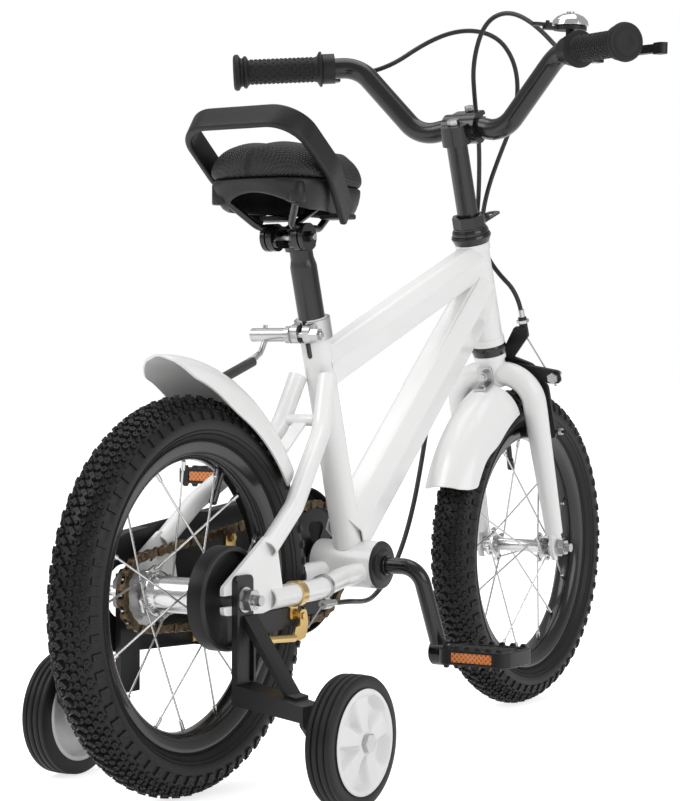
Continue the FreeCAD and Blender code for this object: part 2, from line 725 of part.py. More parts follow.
def clamp_at(y):
    return on_seat(CLAMP_ALONG, CLAMP_BEHIND, y)


def seat_clamp_bolt():
    ear = SEAT_SLOT_WIDTH / 2 + 8
    rod = cyl(clamp_at(-ear - 12), clamp_at(BARREL_END - 20), CLAMP_BOLT_RADIUS)
    nut = hex_nut(clamp_at(-ear - 0.03), Y * -1, 11, 9, CLAMP_BOLT_RADIUS + 0.02)
    washer = pipe(clamp_at(ear + 0.03), clamp_at(BARREL_START - 0.4), 8.2, CLAMP_BOLT_RADIUS + 0.02)
    return group(rod, nut, washer)


LEVER_SWING = 62.0


def quick_release_lever():
    """A barrel that screws on the cross bolt, with a bent rod and its sleeve."""
    barrel = cyl(clamp_at(BARREL_START), clamp_at(BARREL_END), BARREL_RADIUS)
    barrel = barrel.cut(cyl(clamp_at(BARREL_START - 1), clamp_at(BARREL_END - 19), CLAMP_BOLT_RADIUS + RUNNING_CLEARANCE))
    root = clamp_at(BARREL_END - 14)
    elbow = root + Vector(-8, 0, -17)
    tip = root + Vector(-LEVER_SWING, 4, -40)
    middle = root + Vector(-22, 1.2, -26)
    rod = sweep([root + Vector(0, 0, -BARREL_RADIUS + 2), elbow, tip], 2.6, 12)
    sleeve = cyl(middle, tip + unit(tip.sub(middle)) * 2, 4.4)
    stub = cyl(root, root + Vector(0, 0, BARREL_RADIUS + 3), 2.0)
    return barrel.fuse([rod, sleeve, stub]).removeSplitter()


POST_TOP = SEAT_TUBE_LENGTH + POST_OUT
POST_CAP = 24.0
POST_NECK_RADIUS = 11.0


def seat_post():
    low = on_seat(POST_TOP - POST_LENGTH)
    high = on_seat(POST_TOP - POST_CAP - 10)
    tube = pipe(low, high, POST_RADIUS, POST_RADIUS - 1.8)
    neck = cone(high, high + SEAT_UP * 8, POST_RADIUS, POST_NECK_RADIUS)
    top = cyl(high + SEAT_UP * 8, on_seat(POST_TOP), POST_NECK_RADIUS)
    return tube.fuse([neck, top]).removeSplitter()


CLAMP_CENTRE_ALONG = POST_TOP - 7


RAIL_RADIUS = 3.4
RAIL_Y = 18.0
CLAMP_BOLT_BEHIND = 19.0
RAIL_ABOVE_BOLT = 8.4


def rail_bolt():
    return on_seat(CLAMP_CENTRE_ALONG) - X * CLAMP_BOLT_BEHIND


def saddle_rails(radius=RAIL_RADIUS):
    """Two steel rails that dip below the base, where the clamp grips them."""
    bolt = rail_bolt()
    z = bolt.z + RAIL_ABOVE_BOLT
    rails = []
    for side in (1, -1):
        path = [Vector(SADDLE_REAR + 22, side * 42, SADDLE_BOTTOM + 14), Vector(bolt.x - 23, side * RAIL_Y, z),
                Vector(bolt.x + 25, side * RAIL_Y, z), Vector(SADDLE_FRONT - 38, side * 9, SADDLE_BOTTOM + 14)]
        rails.append(sweep(path, radius, 14))
    return group(*rails)


def saddle_clamp():
    """The clamp that grips the neck of the post, with a grooved washer on each side of each rail."""
    c = on_seat(CLAMP_CENTRE_ALONG)
    bolt = rail_bolt()
    neck = POST_NECK_RADIUS + 0.02
    block = cyl(c - SEAT_UP * 10, c + SEAT_UP * 6.5, neck + 4)
    block = block.common(Part.makeBox(60, 22, 60, Vector(c.x - 30, -11, c.z - 30)))
    for side in (1, -1):
        cheek = [Vector(bolt.x - 12, side * 7, bolt.z - 10), Vector(c.x + 11, side * 7, bolt.z - 10),
                 Vector(c.x + 13, side * 7, bolt.z + 6), Vector(bolt.x - 6, side * 7, bolt.z + 11)]
        block = block.fuse(plate(cheek, 5, Y * (side * 4)))
    block = block.cut(cyl(c - SEAT_UP * 16, c + SEAT_UP * 14, neck)).cut(cyl(bolt - Y * 40, bolt + Y * 40, 3.1))
    pieces = [block.removeSplitter(), cyl(bolt - Y * 30, bolt + Y * 30, 3.0)]
    grooves = saddle_rails(RAIL_RADIUS + 0.02)
    for side in (1, -1):
        for start, end, radius in ((11.05, 17.2, 13.0), (18.8, 23.4, 13.0)):
            washer = pipe(bolt + Y * (side * start), bolt + Y * (side * end), radius, 3.1)
            pieces.append(biggest(washer.cut(grooves)))
        pieces.append(hex_nut(bolt + Y * (side * 23.45), Y * side, 10, 4.5, 3.05))
    return group(*pieces)


def saddle_outline(inset, z):
    """The saddle seen from above: a broad rear, waisted sides and a round nose."""
    rear = SADDLE_REAR + inset
    front = SADDLE_FRONT - inset
    w = SADDLE_HALF_WIDTH - inset
    n = NOSE_HALF_WIDTH - inset
    side = [(rear, 0), (rear + 3, 0.46 * w), (rear + 14, 0.82 * w), (rear + 34, w), (rear + 58, 0.95 * w),
            (rear + 82, 0.72 * w), (rear + 110, 0.5 * w), (front - 42, n + 2), (front - 20, n),
            (front - 5, 0.62 * n), (front, 0)]
    points = [Vector(x, y, z) for x, y in side]
    points += [Vector(x, -y, z) for x, y in reversed(side[1:-1])]
    curve = Part.BSplineCurve()
    curve.interpolate(points, PeriodicFlag=True)
    return Part.Wire(curve.toShape())


def saddle_cushion():
    levels = [(6.0, CUSHION_BOTTOM), (0.0, CUSHION_BOTTOM + 10), (2.0, SADDLE_TOP - 12), (11.0, SADDLE_TOP - 1)]
    return Part.makeLoft([saddle_outline(i, z) for i, z in levels], True, False)


def saddle_base():
    gap = 0.3
    outer = Part.makeLoft([saddle_outline(9.0, SADDLE_BOTTOM), saddle_outline(2.5, CUSHION_BOTTOM - gap)], True, True)
    inner = Part.makeLoft([saddle_outline(12.5, SADDLE_BOTTOM - 1), saddle_outline(6.0, CUSHION_BOTTOM - gap - 3)],
                          True, True)
    body = outer.cut(inner)
    for side in (1, -1):
        rear = Vector(SADDLE_REAR + 22, side * 42, SADDLE_BOTTOM + 6)
        body = body.fuse(cyl(rear, Vector(rear.x, rear.y, CUSHION_BOTTOM - 2), 8))
    nose = Vector(SADDLE_FRONT - 38, 0, SADDLE_BOTTOM + 8)
    body = body.fuse(cyl(nose, Vector(nose.x, 0, CUSHION_BOTTOM - 2), 15))
    return biggest(body.cut(saddle_rails(RAIL_RADIUS + 0.02)).removeSplitter())


HANDLE_LOW = Vector(-128, 0, 516)
HANDLE_TOP = Vector(-243, 0, 600)
HANDLE_HALF = 65.0
HANDLE_BAND = 24.0
HANDLE_THICK = 7.0


def saddle_handle():
    """A moulded strap that runs from both sides of the base up and round behind the rider."""
    along = unit(HANDLE_TOP.sub(HANDLE_LOW))
    normal = Vector(along.z, 0, -along.x)
    if normal.z < 0:
        normal = normal * -1
    length = HANDLE_TOP.sub(HANDLE_LOW).Length
    low = HANDLE_LOW - normal * (HANDLE_BAND / 2)

    def outline(half, top, root):
        side = [(0, root), (length * 0.45, half + 2), (top, half), (top, -half), (length * 0.45, -half - 2), (0, -root)]
        return [low + along * a + Y * b for a, b in side]

    outer = plate(outline(HANDLE_HALF, length, 50), [0, 40, 26, 26, 40, 0], normal * HANDLE_BAND)
    t = HANDLE_THICK
    inner = plate(outline(HANDLE_HALF - t, length - t, 50 - t), [0, 34, 19, 19, 34, 0], normal * HANDLE_BAND)
    band = outer.cut(inner.translated(along * -2)).cut(inner)
    lugs = []
    for side in (1, -1):
        y0 = 22 if side > 0 else -48
        lugs.append(Part.makeBox(20, 26, 5, Vector(HANDLE_LOW.x - 8, y0, SADDLE_BOTTOM - 5.3)))
    return band.fuse(lugs).removeSplitter()


# Steering: fork, stem, bars and grips
CROWN_ALONG = 203.0
BLADE_TOP_RADIUS = 13.0
BLADE_LOW_RADIUS = 9.5


def fork():
    steerer = cyl(on_head(CROWN_ALONG - 10), on_head(STEERER_TOP), STEERER_RADIUS)
    race = cyl(on_head(HEAD_TUBE_START - 11 - SIDE_CLEARANCE - 5), on_head(HEAD_TUBE_START - 11 - SIDE_CLEARANCE), 17.5)
    neck = cyl(on_head(CROWN_ALONG - 13), on_head(HEAD_TUBE_START - 15), 15.5)
    knee = CROWN_ALONG - 44
    arch = [on_head(knee, 0, -FRONT_DROPOUT_Y), on_head(CROWN_ALONG, 0, -FRONT_DROPOUT_Y),
            on_head(CROWN_ALONG, 0, FRONT_DROPOUT_Y), on_head(knee, 0, FRONT_DROPOUT_Y)]
    parts = [race, neck, sweep(arch, BLADE_TOP_RADIUS, 34)]
    for side in (1, -1):
        y = side * FRONT_DROPOUT_Y
        parts.append(cone(on_head(knee, 0, y), on_head(17, 0, y), BLADE_TOP_RADIUS, BLADE_LOW_RADIUS))
        outline = [on_head(26, -8, y - DROPOUT_THICKNESS / 2), on_head(26, 8, y - DROPOUT_THICKNESS / 2),
                   on_head(2, 13, y - DROPOUT_THICKNESS / 2), on_head(-13, 11, y - DROPOUT_THICKNESS / 2),
                   on_head(-13, -11, y - DROPOUT_THICKNESS / 2), on_head(2, -13, y - DROPOUT_THICKNESS / 2)]
        tip = plate(outline, [2, 2, 8, 6, 6, 8], Y * DROPOUT_THICKNESS)
        parts.append(tip)
    body = steerer.fuse(parts)
    half = AXLE_RADIUS + 0.15
    for side in (1, -1):
        y = side * FRONT_DROPOUT_Y
        start = on_head(0, 0, y - DROPOUT_THICKNESS)
        body = body.cut(cyl(start, start + Y * (2 * DROPOUT_THICKNESS), half))
        low = [on_head(0, -half, y - 4), on_head(0, half, y - 4), on_head(-20, half, y - 4), on_head(-20, -half, y - 4)]
        body = body.cut(prism(low, Y * 8))
    body = body.cut(cyl(on_head(CROWN_ALONG - 40), on_head(STEERER_TOP + 1), QUILL_RADIUS + 0.02))
    bolt = on_head(CROWN_BOLT_ALONG, -40)
    body = body.cut(cyl(bolt, on_head(CROWN_BOLT_ALONG, 40), CALIPER_BOLT_RADIUS + 0.02))
    return biggest(body.removeSplitter())


STEERER_TOP = HEAD_TUBE_END + 26.0
QUILL_RADIUS = 11.1
CROWN_BOLT_ALONG = CROWN_ALONG + 4
CALIPER_BOLT_RADIUS = 3.0


def headset_locknut():
    base = HEAD_TUBE_END + 10
    inner = STEERER_RADIUS + 0.02
    cone_race = turned([(inner, SIDE_CLEARANCE), (HEAD_TUBE_RADIUS + 2.6, SIDE_CLEARANCE), (HEAD_TUBE_RADIUS + 2.6, 3.4),
                        (HEAD_TUBE_RADIUS + 1.4, 6), (inner, 6)], on_head(base), HEAD_UP)
    plate_low = base + 6.05
    nut_low = plate_low + 2.1
    nut = prism(ngon(on_head(nut_low), HEAD_UP, 18.2, 8), HEAD_UP * 12)
    nut = nut.cut(cyl(on_head(nut_low - 1), on_head(nut_low + 13), inner))
    return group(cone_race, nut)


def reflector_bracket():
    """The slotted steel tab that is clamped under the locknut and points forward."""
    low = HEAD_TUBE_END + 16.05
    ring = pipe(on_head(low), on_head(low + 2), 17.5, STEERER_RADIUS + 0.02)
    arm = plate([on_head(low, 12, -9), on_head(low, 12, 9), on_head(low, 62, 8), on_head(low, 62, -8)],
                [0, 0, 7, 7], HEAD_UP * 2)
    body = ring.fuse(arm).cut(cyl(on_head(low - 1), on_head(low + 3), STEERER_RADIUS + 0.02))
    for a, b in ((26, 34), (44, 56)):
        slot = plate([on_head(low - 1, a, -3), on_head(low - 1, b, -3), on_head(low - 1, b, 3), on_head(low - 1, a, 3)],
                     2.9, HEAD_UP * 4)
        body = body.cut(slot)
    return body.removeSplitter()


BAR_CENTRE = on_head(BAR_HEIGHT, BAR_REACH)


def stem():
    quill = cyl(on_head(HEAD_TUBE_START + 40), on_head(BAR_HEIGHT - 6), QUILL_RADIUS)
    head = cyl(on_head(BAR_HEIGHT - 12), on_head(BAR_HEIGHT + 9), QUILL_RADIUS + 4)
    clamp = cyl(BAR_CENTRE - Y * 19, BAR_CENTRE + Y * 19, BAR_RADIUS + 5)
    web = prism([on_head(BAR_HEIGHT - 11, 0, -12), on_head(BAR_HEIGHT + 9, 0, -12), on_head(BAR_HEIGHT + 9, BAR_REACH, -12),
                 on_head(BAR_HEIGHT - 13, BAR_REACH, -12)], Y * 24)
    nose = plate([on_head(BAR_HEIGHT + 1, BAR_REACH + 6, -15), on_head(BAR_HEIGHT + 1, BAR_REACH + 25, -15),
                  on_head(BAR_HEIGHT + 15, BAR_REACH + 25, -15), on_head(BAR_HEIGHT + 15, BAR_REACH + 2, -15)],
                 [0, 5, 5, 0], Y * 30)
    body = quill.fuse([head, clamp, web, nose])
    body = body.cut(cyl(BAR_CENTRE - Y * 30, BAR_CENTRE + Y * 30, BAR_RADIUS + 0.02))
    gap = prism([on_head(BAR_HEIGHT + 7, BAR_REACH + 6, -20), on_head(BAR_HEIGHT + 7, BAR_REACH + 30, -20),
                 on_head(BAR_HEIGHT + 9.5, BAR_REACH + 30, -20), on_head(BAR_HEIGHT + 9.5, BAR_REACH + 6, -20)], Y * 40)
    body = body.cut(gap)
    body = body.cut(cyl(on_head(HEAD_TUBE_START + 39), on_head(BAR_HEIGHT + 20), 4.2))
    pinch = on_head(BAR_HEIGHT - 8, BAR_REACH + 19)
    body = body.cut(cyl(pinch, pinch + HEAD_UP * 40, 3.1))
    return biggest(body.removeSplitter())


def stem_bolts():
    expander = cyl(on_head(HEAD_TUBE_START + 41), on_head(BAR_HEIGHT + 9), 4.1)
    head = prism(ngon(on_head(BAR_HEIGHT + 9.05), HEAD_UP, 6.8, 6), HEAD_UP * 6)
    pinch = on_head(BAR_HEIGHT + 1.5, BAR_REACH + 19)
    shank = cyl(pinch, pinch + HEAD_UP * 14, 3.0)
    cap = cyl(pinch + HEAD_UP * 13.6, pinch + HEAD_UP * 19, 5.0)
    return group(fused(expander, head), fused(shank, cap))


def bar_points(side):
    c = BAR_CENTRE
    return [Vector(c.x - 5, side * 50, c.z - 6), Vector(c.x - 16.4, side * 120, c.z + 71), grip_end(side)]


def grip_end(side):
    return Vector(BAR_CENTRE.x - 93, side * 228, BAR_CENTRE.z + 64)


def handlebar():
    left = bar_points(1)
    right = bar_points(-1)
    shaped = [right[2], right[1], right[0], Vector(BAR_CENTRE.x, -22, BAR_CENTRE.z), Vector(BAR_CENTRE.x, 22, BAR_CENTRE.z),
              left[0], left[1], left[2]]
    edges_path = route_varied(shaped, [0, 34, 34, 18, 18, 34, 34, 0])
    profile = Part.Wire(Part.makeCircle(BAR_RADIUS, shaped[0], shaped[1].sub(shaped[0])))
    outer = edges_path.makePipeShell([profile], True, False)
    hollow = Part.Wire(Part.makeCircle(BAR_RADIUS - 1.8, shaped[0], shaped[1].sub(shaped[0])))
    return outer.cut(edges_path.makePipeShell([hollow], True, False))


def route_varied(points, bends):
    edges = []
    last = points[0]
    for k in range(1, len(points) - 1):
        p = points[k]
        ua = unit(points[k - 1].sub(p))
        ub = unit(points[k + 1].sub(p))
        half = math.acos(max(-1.0, min(1.0, ua.dot(ub)))) / 2
        run = bends[k] / math.tan(half)
        start = p + ua * run
        end = p + ub * run
        middle = p + unit(ua + ub) * (bends[k] / math.sin(half) - bends[k])
        if start.distanceToPoint(last) > 1e-6:
            edges.append(Part.LineSegment(last, start).toShape())
        edges.append(Part.Arc(start, middle, end).toShape())
        last = end
    edges.append(Part.LineSegment(last, points[-1]).toShape())
    return Part.Wire(edges)


def grip_axis(side):
    end = grip_end(side)
    return end, unit(end.sub(bar_points(side)[1]))


def grip(side):
    """A rubber grip: a ribbed sleeve between two round flanges, closed at its outer end."""
    end, out = grip_axis(side)
    n = GRIP_LENGTH
    f = GRIP_FLANGE
    r = GRIP_RADIUS
    profile = [(0, 3.5), (f - 3, 3.5), (f, 0.5), (f, -2.5), (r + 2.2, -4.5), (r + 2.2, -7), (r + 4.5, -8.5), (r + 4.5, -10.5),
               (r, -13), (r, -n + 9), (r, -n + 3.2), (f - 0.5, -n + 2.6), (f - 0.5, -n), (BAR_RADIUS + 0.02, -n),
               (BAR_RADIUS + 0.02, 0.02), (0, 0.02)]
    body = turned(profile, end, out, 360.0, Z)
    rings = []
    for k in range(6):
        at = end - out * (20 + 10.5 * k)
        rings.append(pipe(at, at + out * 4.2, r + 0.9, r - 0.5))
    return body.fuse(rings).removeSplitter()


# Hand brake levers
BRACKET_CLEAR = 0.8
LEVER_BAND = 13.0


def lever_frame(side):
    """The lever bracket's centre on the bar, the way outwards, the way ahead and the way up."""
    end, out = grip_axis(side)
    centre = end - out * (GRIP_LENGTH + BRACKET_CLEAR + LEVER_BAND / 2)
    ahead = unit(Vector(out.y * side, -out.x * side, 0))
    if ahead.x < 0:
        ahead = ahead * -1
    up = unit(out.cross(ahead)) * (1 if out.cross(ahead).z > 0 else -1)
    return centre, out, ahead, up


PIVOT_AHEAD = 27.0
PIVOT_IN = 6.0


def lever_pivot(side):
    centre, out, ahead, up = lever_frame(side)
    return centre + ahead * PIVOT_AHEAD - out * PIVOT_IN - up * 3, up


def lever_bracket(side):
    centre, out, ahead, up = lever_frame(side)
    band = cyl(centre - out * (LEVER_BAND / 2), centre + out * (LEVER_BAND / 2), BAR_RADIUS + 5)
    pivot, pin_axis = lever_pivot(side)
    body = band
    for lift in (5.2, -8.2):
        base = centre + up * (lift - 3)
        half = LEVER_BAND / 2
        ear = plate([base + ahead * 6 - out * half, base + ahead * 6 + out * half,
                     base + ahead * (PIVOT_AHEAD + 7) + out * 3, base + ahead * (PIVOT_AHEAD + 7) - out * 14,
                     base + ahead * 19 - out * 14, base + ahead * 15 - out * half], [0, 0, 6, 6, 3, 0], up * 3)
        body = body.fuse(ear)
    stop = cyl(centre + ahead * 22 - out * 20 - up * 3, centre + ahead * 22 - out * 34 - up * 3, 5.0)
    arm = plate([centre + ahead * 18 - out * 12 - up * 6, centre + ahead * 28 - out * 12 - up * 6,
                 centre + ahead * 28 - out * 24 - up * 6, centre + ahead * 17 - out * 24 - up * 6], 2, up * 6)
    body = body.fuse([arm, stop])
    body = body.cut(cyl(centre - out * 30, centre + out * 30, BAR_RADIUS + 0.02))
    body = body.cut(cyl(pivot - up * 20, pivot + up * 20, 2.6))
    body = body.cut(cyl(centre + ahead * 22 - out * 19 - up * 3, centre + ahead * 22 - out * 30 - up * 3, 1.4))
    pin = cyl(pivot - up * 8.4, pivot + up * 8.4, 2.58)
    return group(biggest(body.removeSplitter()), pin)


def brake_lever(side):
    """The blade: a boss on the pin, a dog-leg and a long finger blade with a squared block at its end."""
    centre, out, ahead, up = lever_frame(side)
    pivot, axis = lever_pivot(side)
    mid = pivot - up * 4.0
    boss = cyl(pivot - up * 4.6, pivot + up * 4.6, 6.0)
    points = [pivot + ahead * -2 - out * 8, pivot + ahead * 6 - out * 6, pivot + ahead * 9 + out * 10,
              pivot + ahead * 13 + out * 30, pivot + ahead * 20 + out * 98, pivot + ahead * 12 + out * 99,
              pivot + ahead * 3 + out * 32, pivot + ahead * -4 + out * 8]
    blade = plate([p - up * 4.2 for p in points], [2, 3, 6, 20, 2, 2, 20, 4], up * 8.4)
    corners = [(12.5, 90), (12.5, 106), (22, 107), (22, 91)]
    block = plate([pivot + ahead * a + out * b - up * 5.6 for a, b in corners], [2.5, 4, 4, 2.5], up * 11.2)
    body = blade.fuse([boss, block])
    return biggest(body.cut(cyl(pivot - up * 20, pivot + up * 20, 2.66)).removeSplitter())


# Bell
def bell_centre():
    centre = bar_points(-1)[1]
    return Vector(centre.x + 5, -137, centre.z + 15)


def bell():
    """A thumb bell: a strap round the bar, a base with the striker's ear and a chromed dome."""
    at, lean = bell_axis()
    centre, out = bell_strap()
    ear = plate([at + BELL_AHEAD * 14 - BELL_SIDE * 5, at + BELL_AHEAD * 30 - BELL_SIDE * 4,
                 at + BELL_AHEAD * 30 + BELL_SIDE * 4, at + BELL_AHEAD * 14 + BELL_SIDE * 5], [0, 3, 3, 0], lean * 3)
    post = cyl(at - lean * 10, at + lean * 1, 4.2)
    pin = cyl(at + BELL_AHEAD * BELL_PIN + lean * 1, at + BELL_AHEAD * BELL_PIN + lean * 9, 2.0)
    stem_post = cyl(at + lean * 2, at + lean * 17.2, 2.4)
    band = cyl(centre - out * 4.6, centre + out * 4.6, BAR_RADIUS + 3)
    body = cyl(at, at + lean * 4, 17).fuse([ear, post, pin, stem_post, band])
    body = biggest(body.cut(cyl(centre - out * 6, centre + out * 6, BAR_RADIUS + 0.05)))
    r = 19.0
    h = 14.0
    profile = [(2.42, h + 3.0), (8, h + 2.6), (r * 0.72, h), (r * 0.93, h - 4), (r, h - 9.2), (r - 1.2, h - 9.2),
               (r * 0.93 - 1.2, h - 4.8), (r * 0.72 - 1, h - 1.4), (8, h + 1.2), (2.42, h + 1.6)]
    dome = turned(profile, at, lean)
    screw = cyl(at + lean * (h + 3.25), at + lean * (h + 5), 4.0)
    return group(body, dome, screw)


BELL_PIN = 25.0
BELL_AHEAD = unit(Vector(-0.75, 0.62, 0.0))
BELL_SIDE = Vector(0.62, 0.75, 0.0)


def bell_strap():
    """A place on the right arm of the bar, below its upper bend, and the bar's way there."""
    end, out = grip_axis(-1)
    return end - out * (GRIP_LENGTH + BRACKET_CLEAR + LEVER_BAND + 5.6), out


def bell_axis():
    centre, out = bell_strap()
    lean = unit(Vector(0, 0, 1) - out * out.z)
    return centre + lean * (BAR_RADIUS + 9), lean


def bell_striker():
    at, lean = bell_axis()
    pivot = at + BELL_AHEAD * BELL_PIN + lean * 3.3
    ring = pipe(pivot, pivot + lean * 3.5, 4.6, 2.0 + RUNNING_CLEARANCE)
    arm = plate([pivot - BELL_SIDE * 3 + BELL_AHEAD * 3.0, pivot + BELL_SIDE * 3 + BELL_AHEAD * 3.0,
                 pivot + BELL_SIDE * 5 + BELL_AHEAD * 17, pivot - BELL_SIDE * 4 + BELL_AHEAD * 17], [0, 0, 3, 3],
                lean * 3.2)
    return ring.fuse(arm).removeSplitter()


# Mudguards
GUARD_WALL = 2.2


def guard_section(centre, radius, half, depth, wall, angle):
    """The arched section of a mudguard at an angle about its own centre."""
    out = Vector(math.cos(angle), 0, math.sin(angle))
    c = centre + out * (radius - depth)
    sides = 7

    def arch(h, d):
        return [c + Y * (h * math.cos(math.pi * k / sides)) + out * (d * math.sin(math.pi * k / sides))
                for k in range(sides + 1)]

    outer = arch(half, depth)
    inner = arch(half - wall, depth - wall)
    return outer + list(reversed(inner))


def mudguard(centre, radius, half, depth, start, end):
    points = guard_section(centre, radius, half, depth, GUARD_WALL, math.radians(start))
    face = Part.Face(Part.makePolygon(points + [points[0]]))
    return face.revolve(centre, Vector(0, -1, 0), end - start)


REAR_GUARD_OFFSET = Vector(-36, 0, -11.5)
REAR_GUARD_RADIUS = 221.6
GUARD_HALF = 32.0
GUARD_DEPTH = 38.0


def rear_fender():
    centre = REAR_AXLE + REAR_GUARD_OFFSET
    body = mudguard(centre, REAR_GUARD_RADIUS, GUARD_HALF, GUARD_DEPTH, 34, 91)
    low = Vector(REAR_AXLE.x, 0, REAR_AXLE.z)
    cutter = [low + Vector(-60, -60, 120), low + Vector(52, -60, 120), low + Vector(40, -60, 152),
              low + Vector(8, -60, 176), low + Vector(-24, -60, 192), low + Vector(-60, -60, 197)]
    body = body.cut(prism(cutter, Y * 120))
    tail = plate([low + Vector(-46, -40, 100), low + Vector(-46, 40, 100), low + Vector(200, 40, 100),
                  low + Vector(200, -40, 100)], [16, 16, 0, 0], Z * 150)
    at, out, along = guard_bolt_place()
    return biggest(body.common(tail).cut(cyl(at - out * 8, at + out * 8, 2.6)))


FRONT_GUARD_RADIUS = 197.0


def front_fender():
    body = mudguard(FRONT_AXLE, FRONT_GUARD_RADIUS, GUARD_HALF + 1, GUARD_DEPTH - 2, 113.6, 158)
    c = FRONT_AXLE
    cutter = [c + Vector(-176, -60, 40), c + Vector(-150, -60, 84), c + Vector(-128, -60, 116), c + Vector(-100, -60, 60)]
    body = body.cut(prism(cutter, Y * 120))
    for k in range(2):
        a = math.radians(124.0 + 4.5 * k)
        out = Vector(math.cos(a), 0, math.sin(a))
        at = c + out * (FRONT_GUARD_RADIUS - 6)
        body = body.cut(Part.makeBox(3, 13, 16, at - Vector(1.5, 6.5, 8)))
    foot = guard_rivet()
    return biggest(body.cut(cyl(foot[0] - foot[1] * 8, foot[0] + foot[1] * 8, 2.25)))


def guard_rivet():
    """Where the front mudguard is riveted to its bracket's foot, and the way out there."""
    out = unit(on_head(FRONT_GUARD_RADIUS - 1.5, BRACKET_FACE - 11).sub(FRONT_AXLE))
    return FRONT_AXLE + out * FRONT_GUARD_RADIUS, out


def fender_brackets():
    """The front mudguard's angle bracket on the crown bolt, with its nut."""
    face = BRACKET_FACE
    at = on_head(CROWN_BOLT_ALONG, face)
    tab = plate([on_head(CROWN_BOLT_ALONG + 9, face, -9), on_head(CROWN_BOLT_ALONG + 9, face, 9),
                 on_head(CROWN_BOLT_ALONG - 11, face, 9), on_head(CROWN_BOLT_ALONG - 11, face, -9)], 3, HEAD_AHEAD * -2)
    r = FRONT_GUARD_RADIUS
    foot = prism([on_head(r + 3.0, BRACKET_FACE, -8), on_head(r - 0.4, BRACKET_FACE, -8),
                  on_head(r - 2.8, BRACKET_FACE - 19, -8), on_head(r - 0.6, BRACKET_FACE - 19, -8)], Y * 16)
    place, out = guard_rivet()
    tab = tab.cut(cyl(at + HEAD_AHEAD * 2, at - HEAD_AHEAD * 4, CALIPER_BOLT_RADIUS + 0.02))
    tab = tab.fuse(foot).cut(cyl(place - out * 8, place + out * 8, 2.25)).removeSplitter()
    rivet = fused(cyl(place - out * 4.2, place + out * 4.6, 2.2), cyl(place + out * 2.9, place + out * 4.6, 4),
                  cyl(place - out * 4.4, place - out * 3.35, 4))
    nut = hex_nut(at - HEAD_AHEAD * 2.05, HEAD_AHEAD * -1, 10, 5.5, CALIPER_BOLT_RADIUS + 0.02)
    return tab, nut, rivet


BRACKET_FACE = -15.6


# Front caliper brake
CALIPER_AHEAD = 19.0


def caliper_bolt():
    start = on_head(CROWN_BOLT_ALONG, BRACKET_FACE - 9)
    end = on_head(CROWN_BOLT_ALONG, CALIPER_AHEAD + 16)
    rod = cyl(start, end, CALIPER_BOLT_RADIUS)
    tab, nut, rivet = fender_brackets()
    collar = pipe(on_head(CROWN_BOLT_ALONG, 15.6), on_head(CROWN_BOLT_ALONG, CALIPER_AHEAD - 0.3), 6,
                  CALIPER_BOLT_RADIUS + 0.02)
    cap = hex_nut(on_head(CROWN_BOLT_ALONG, CALIPER_AHEAD + 8.6), HEAD_AHEAD, 10, 6, CALIPER_BOLT_RADIUS + 0.02)
    return group(rod, tab, nut, rivet, collar, cap)


SHOE_GAP = 3.5
STUD_ALONG = -80.0
CABLE_EYE = (-30.0, 36.0)
WIRE_AHEAD = CALIPER_AHEAD + 11.4
WIRE_EYE = (-63.0, -15.0)


def caliper_place(y, along, ahead):
    return on_head(CROWN_BOLT_ALONG + along, ahead, y)


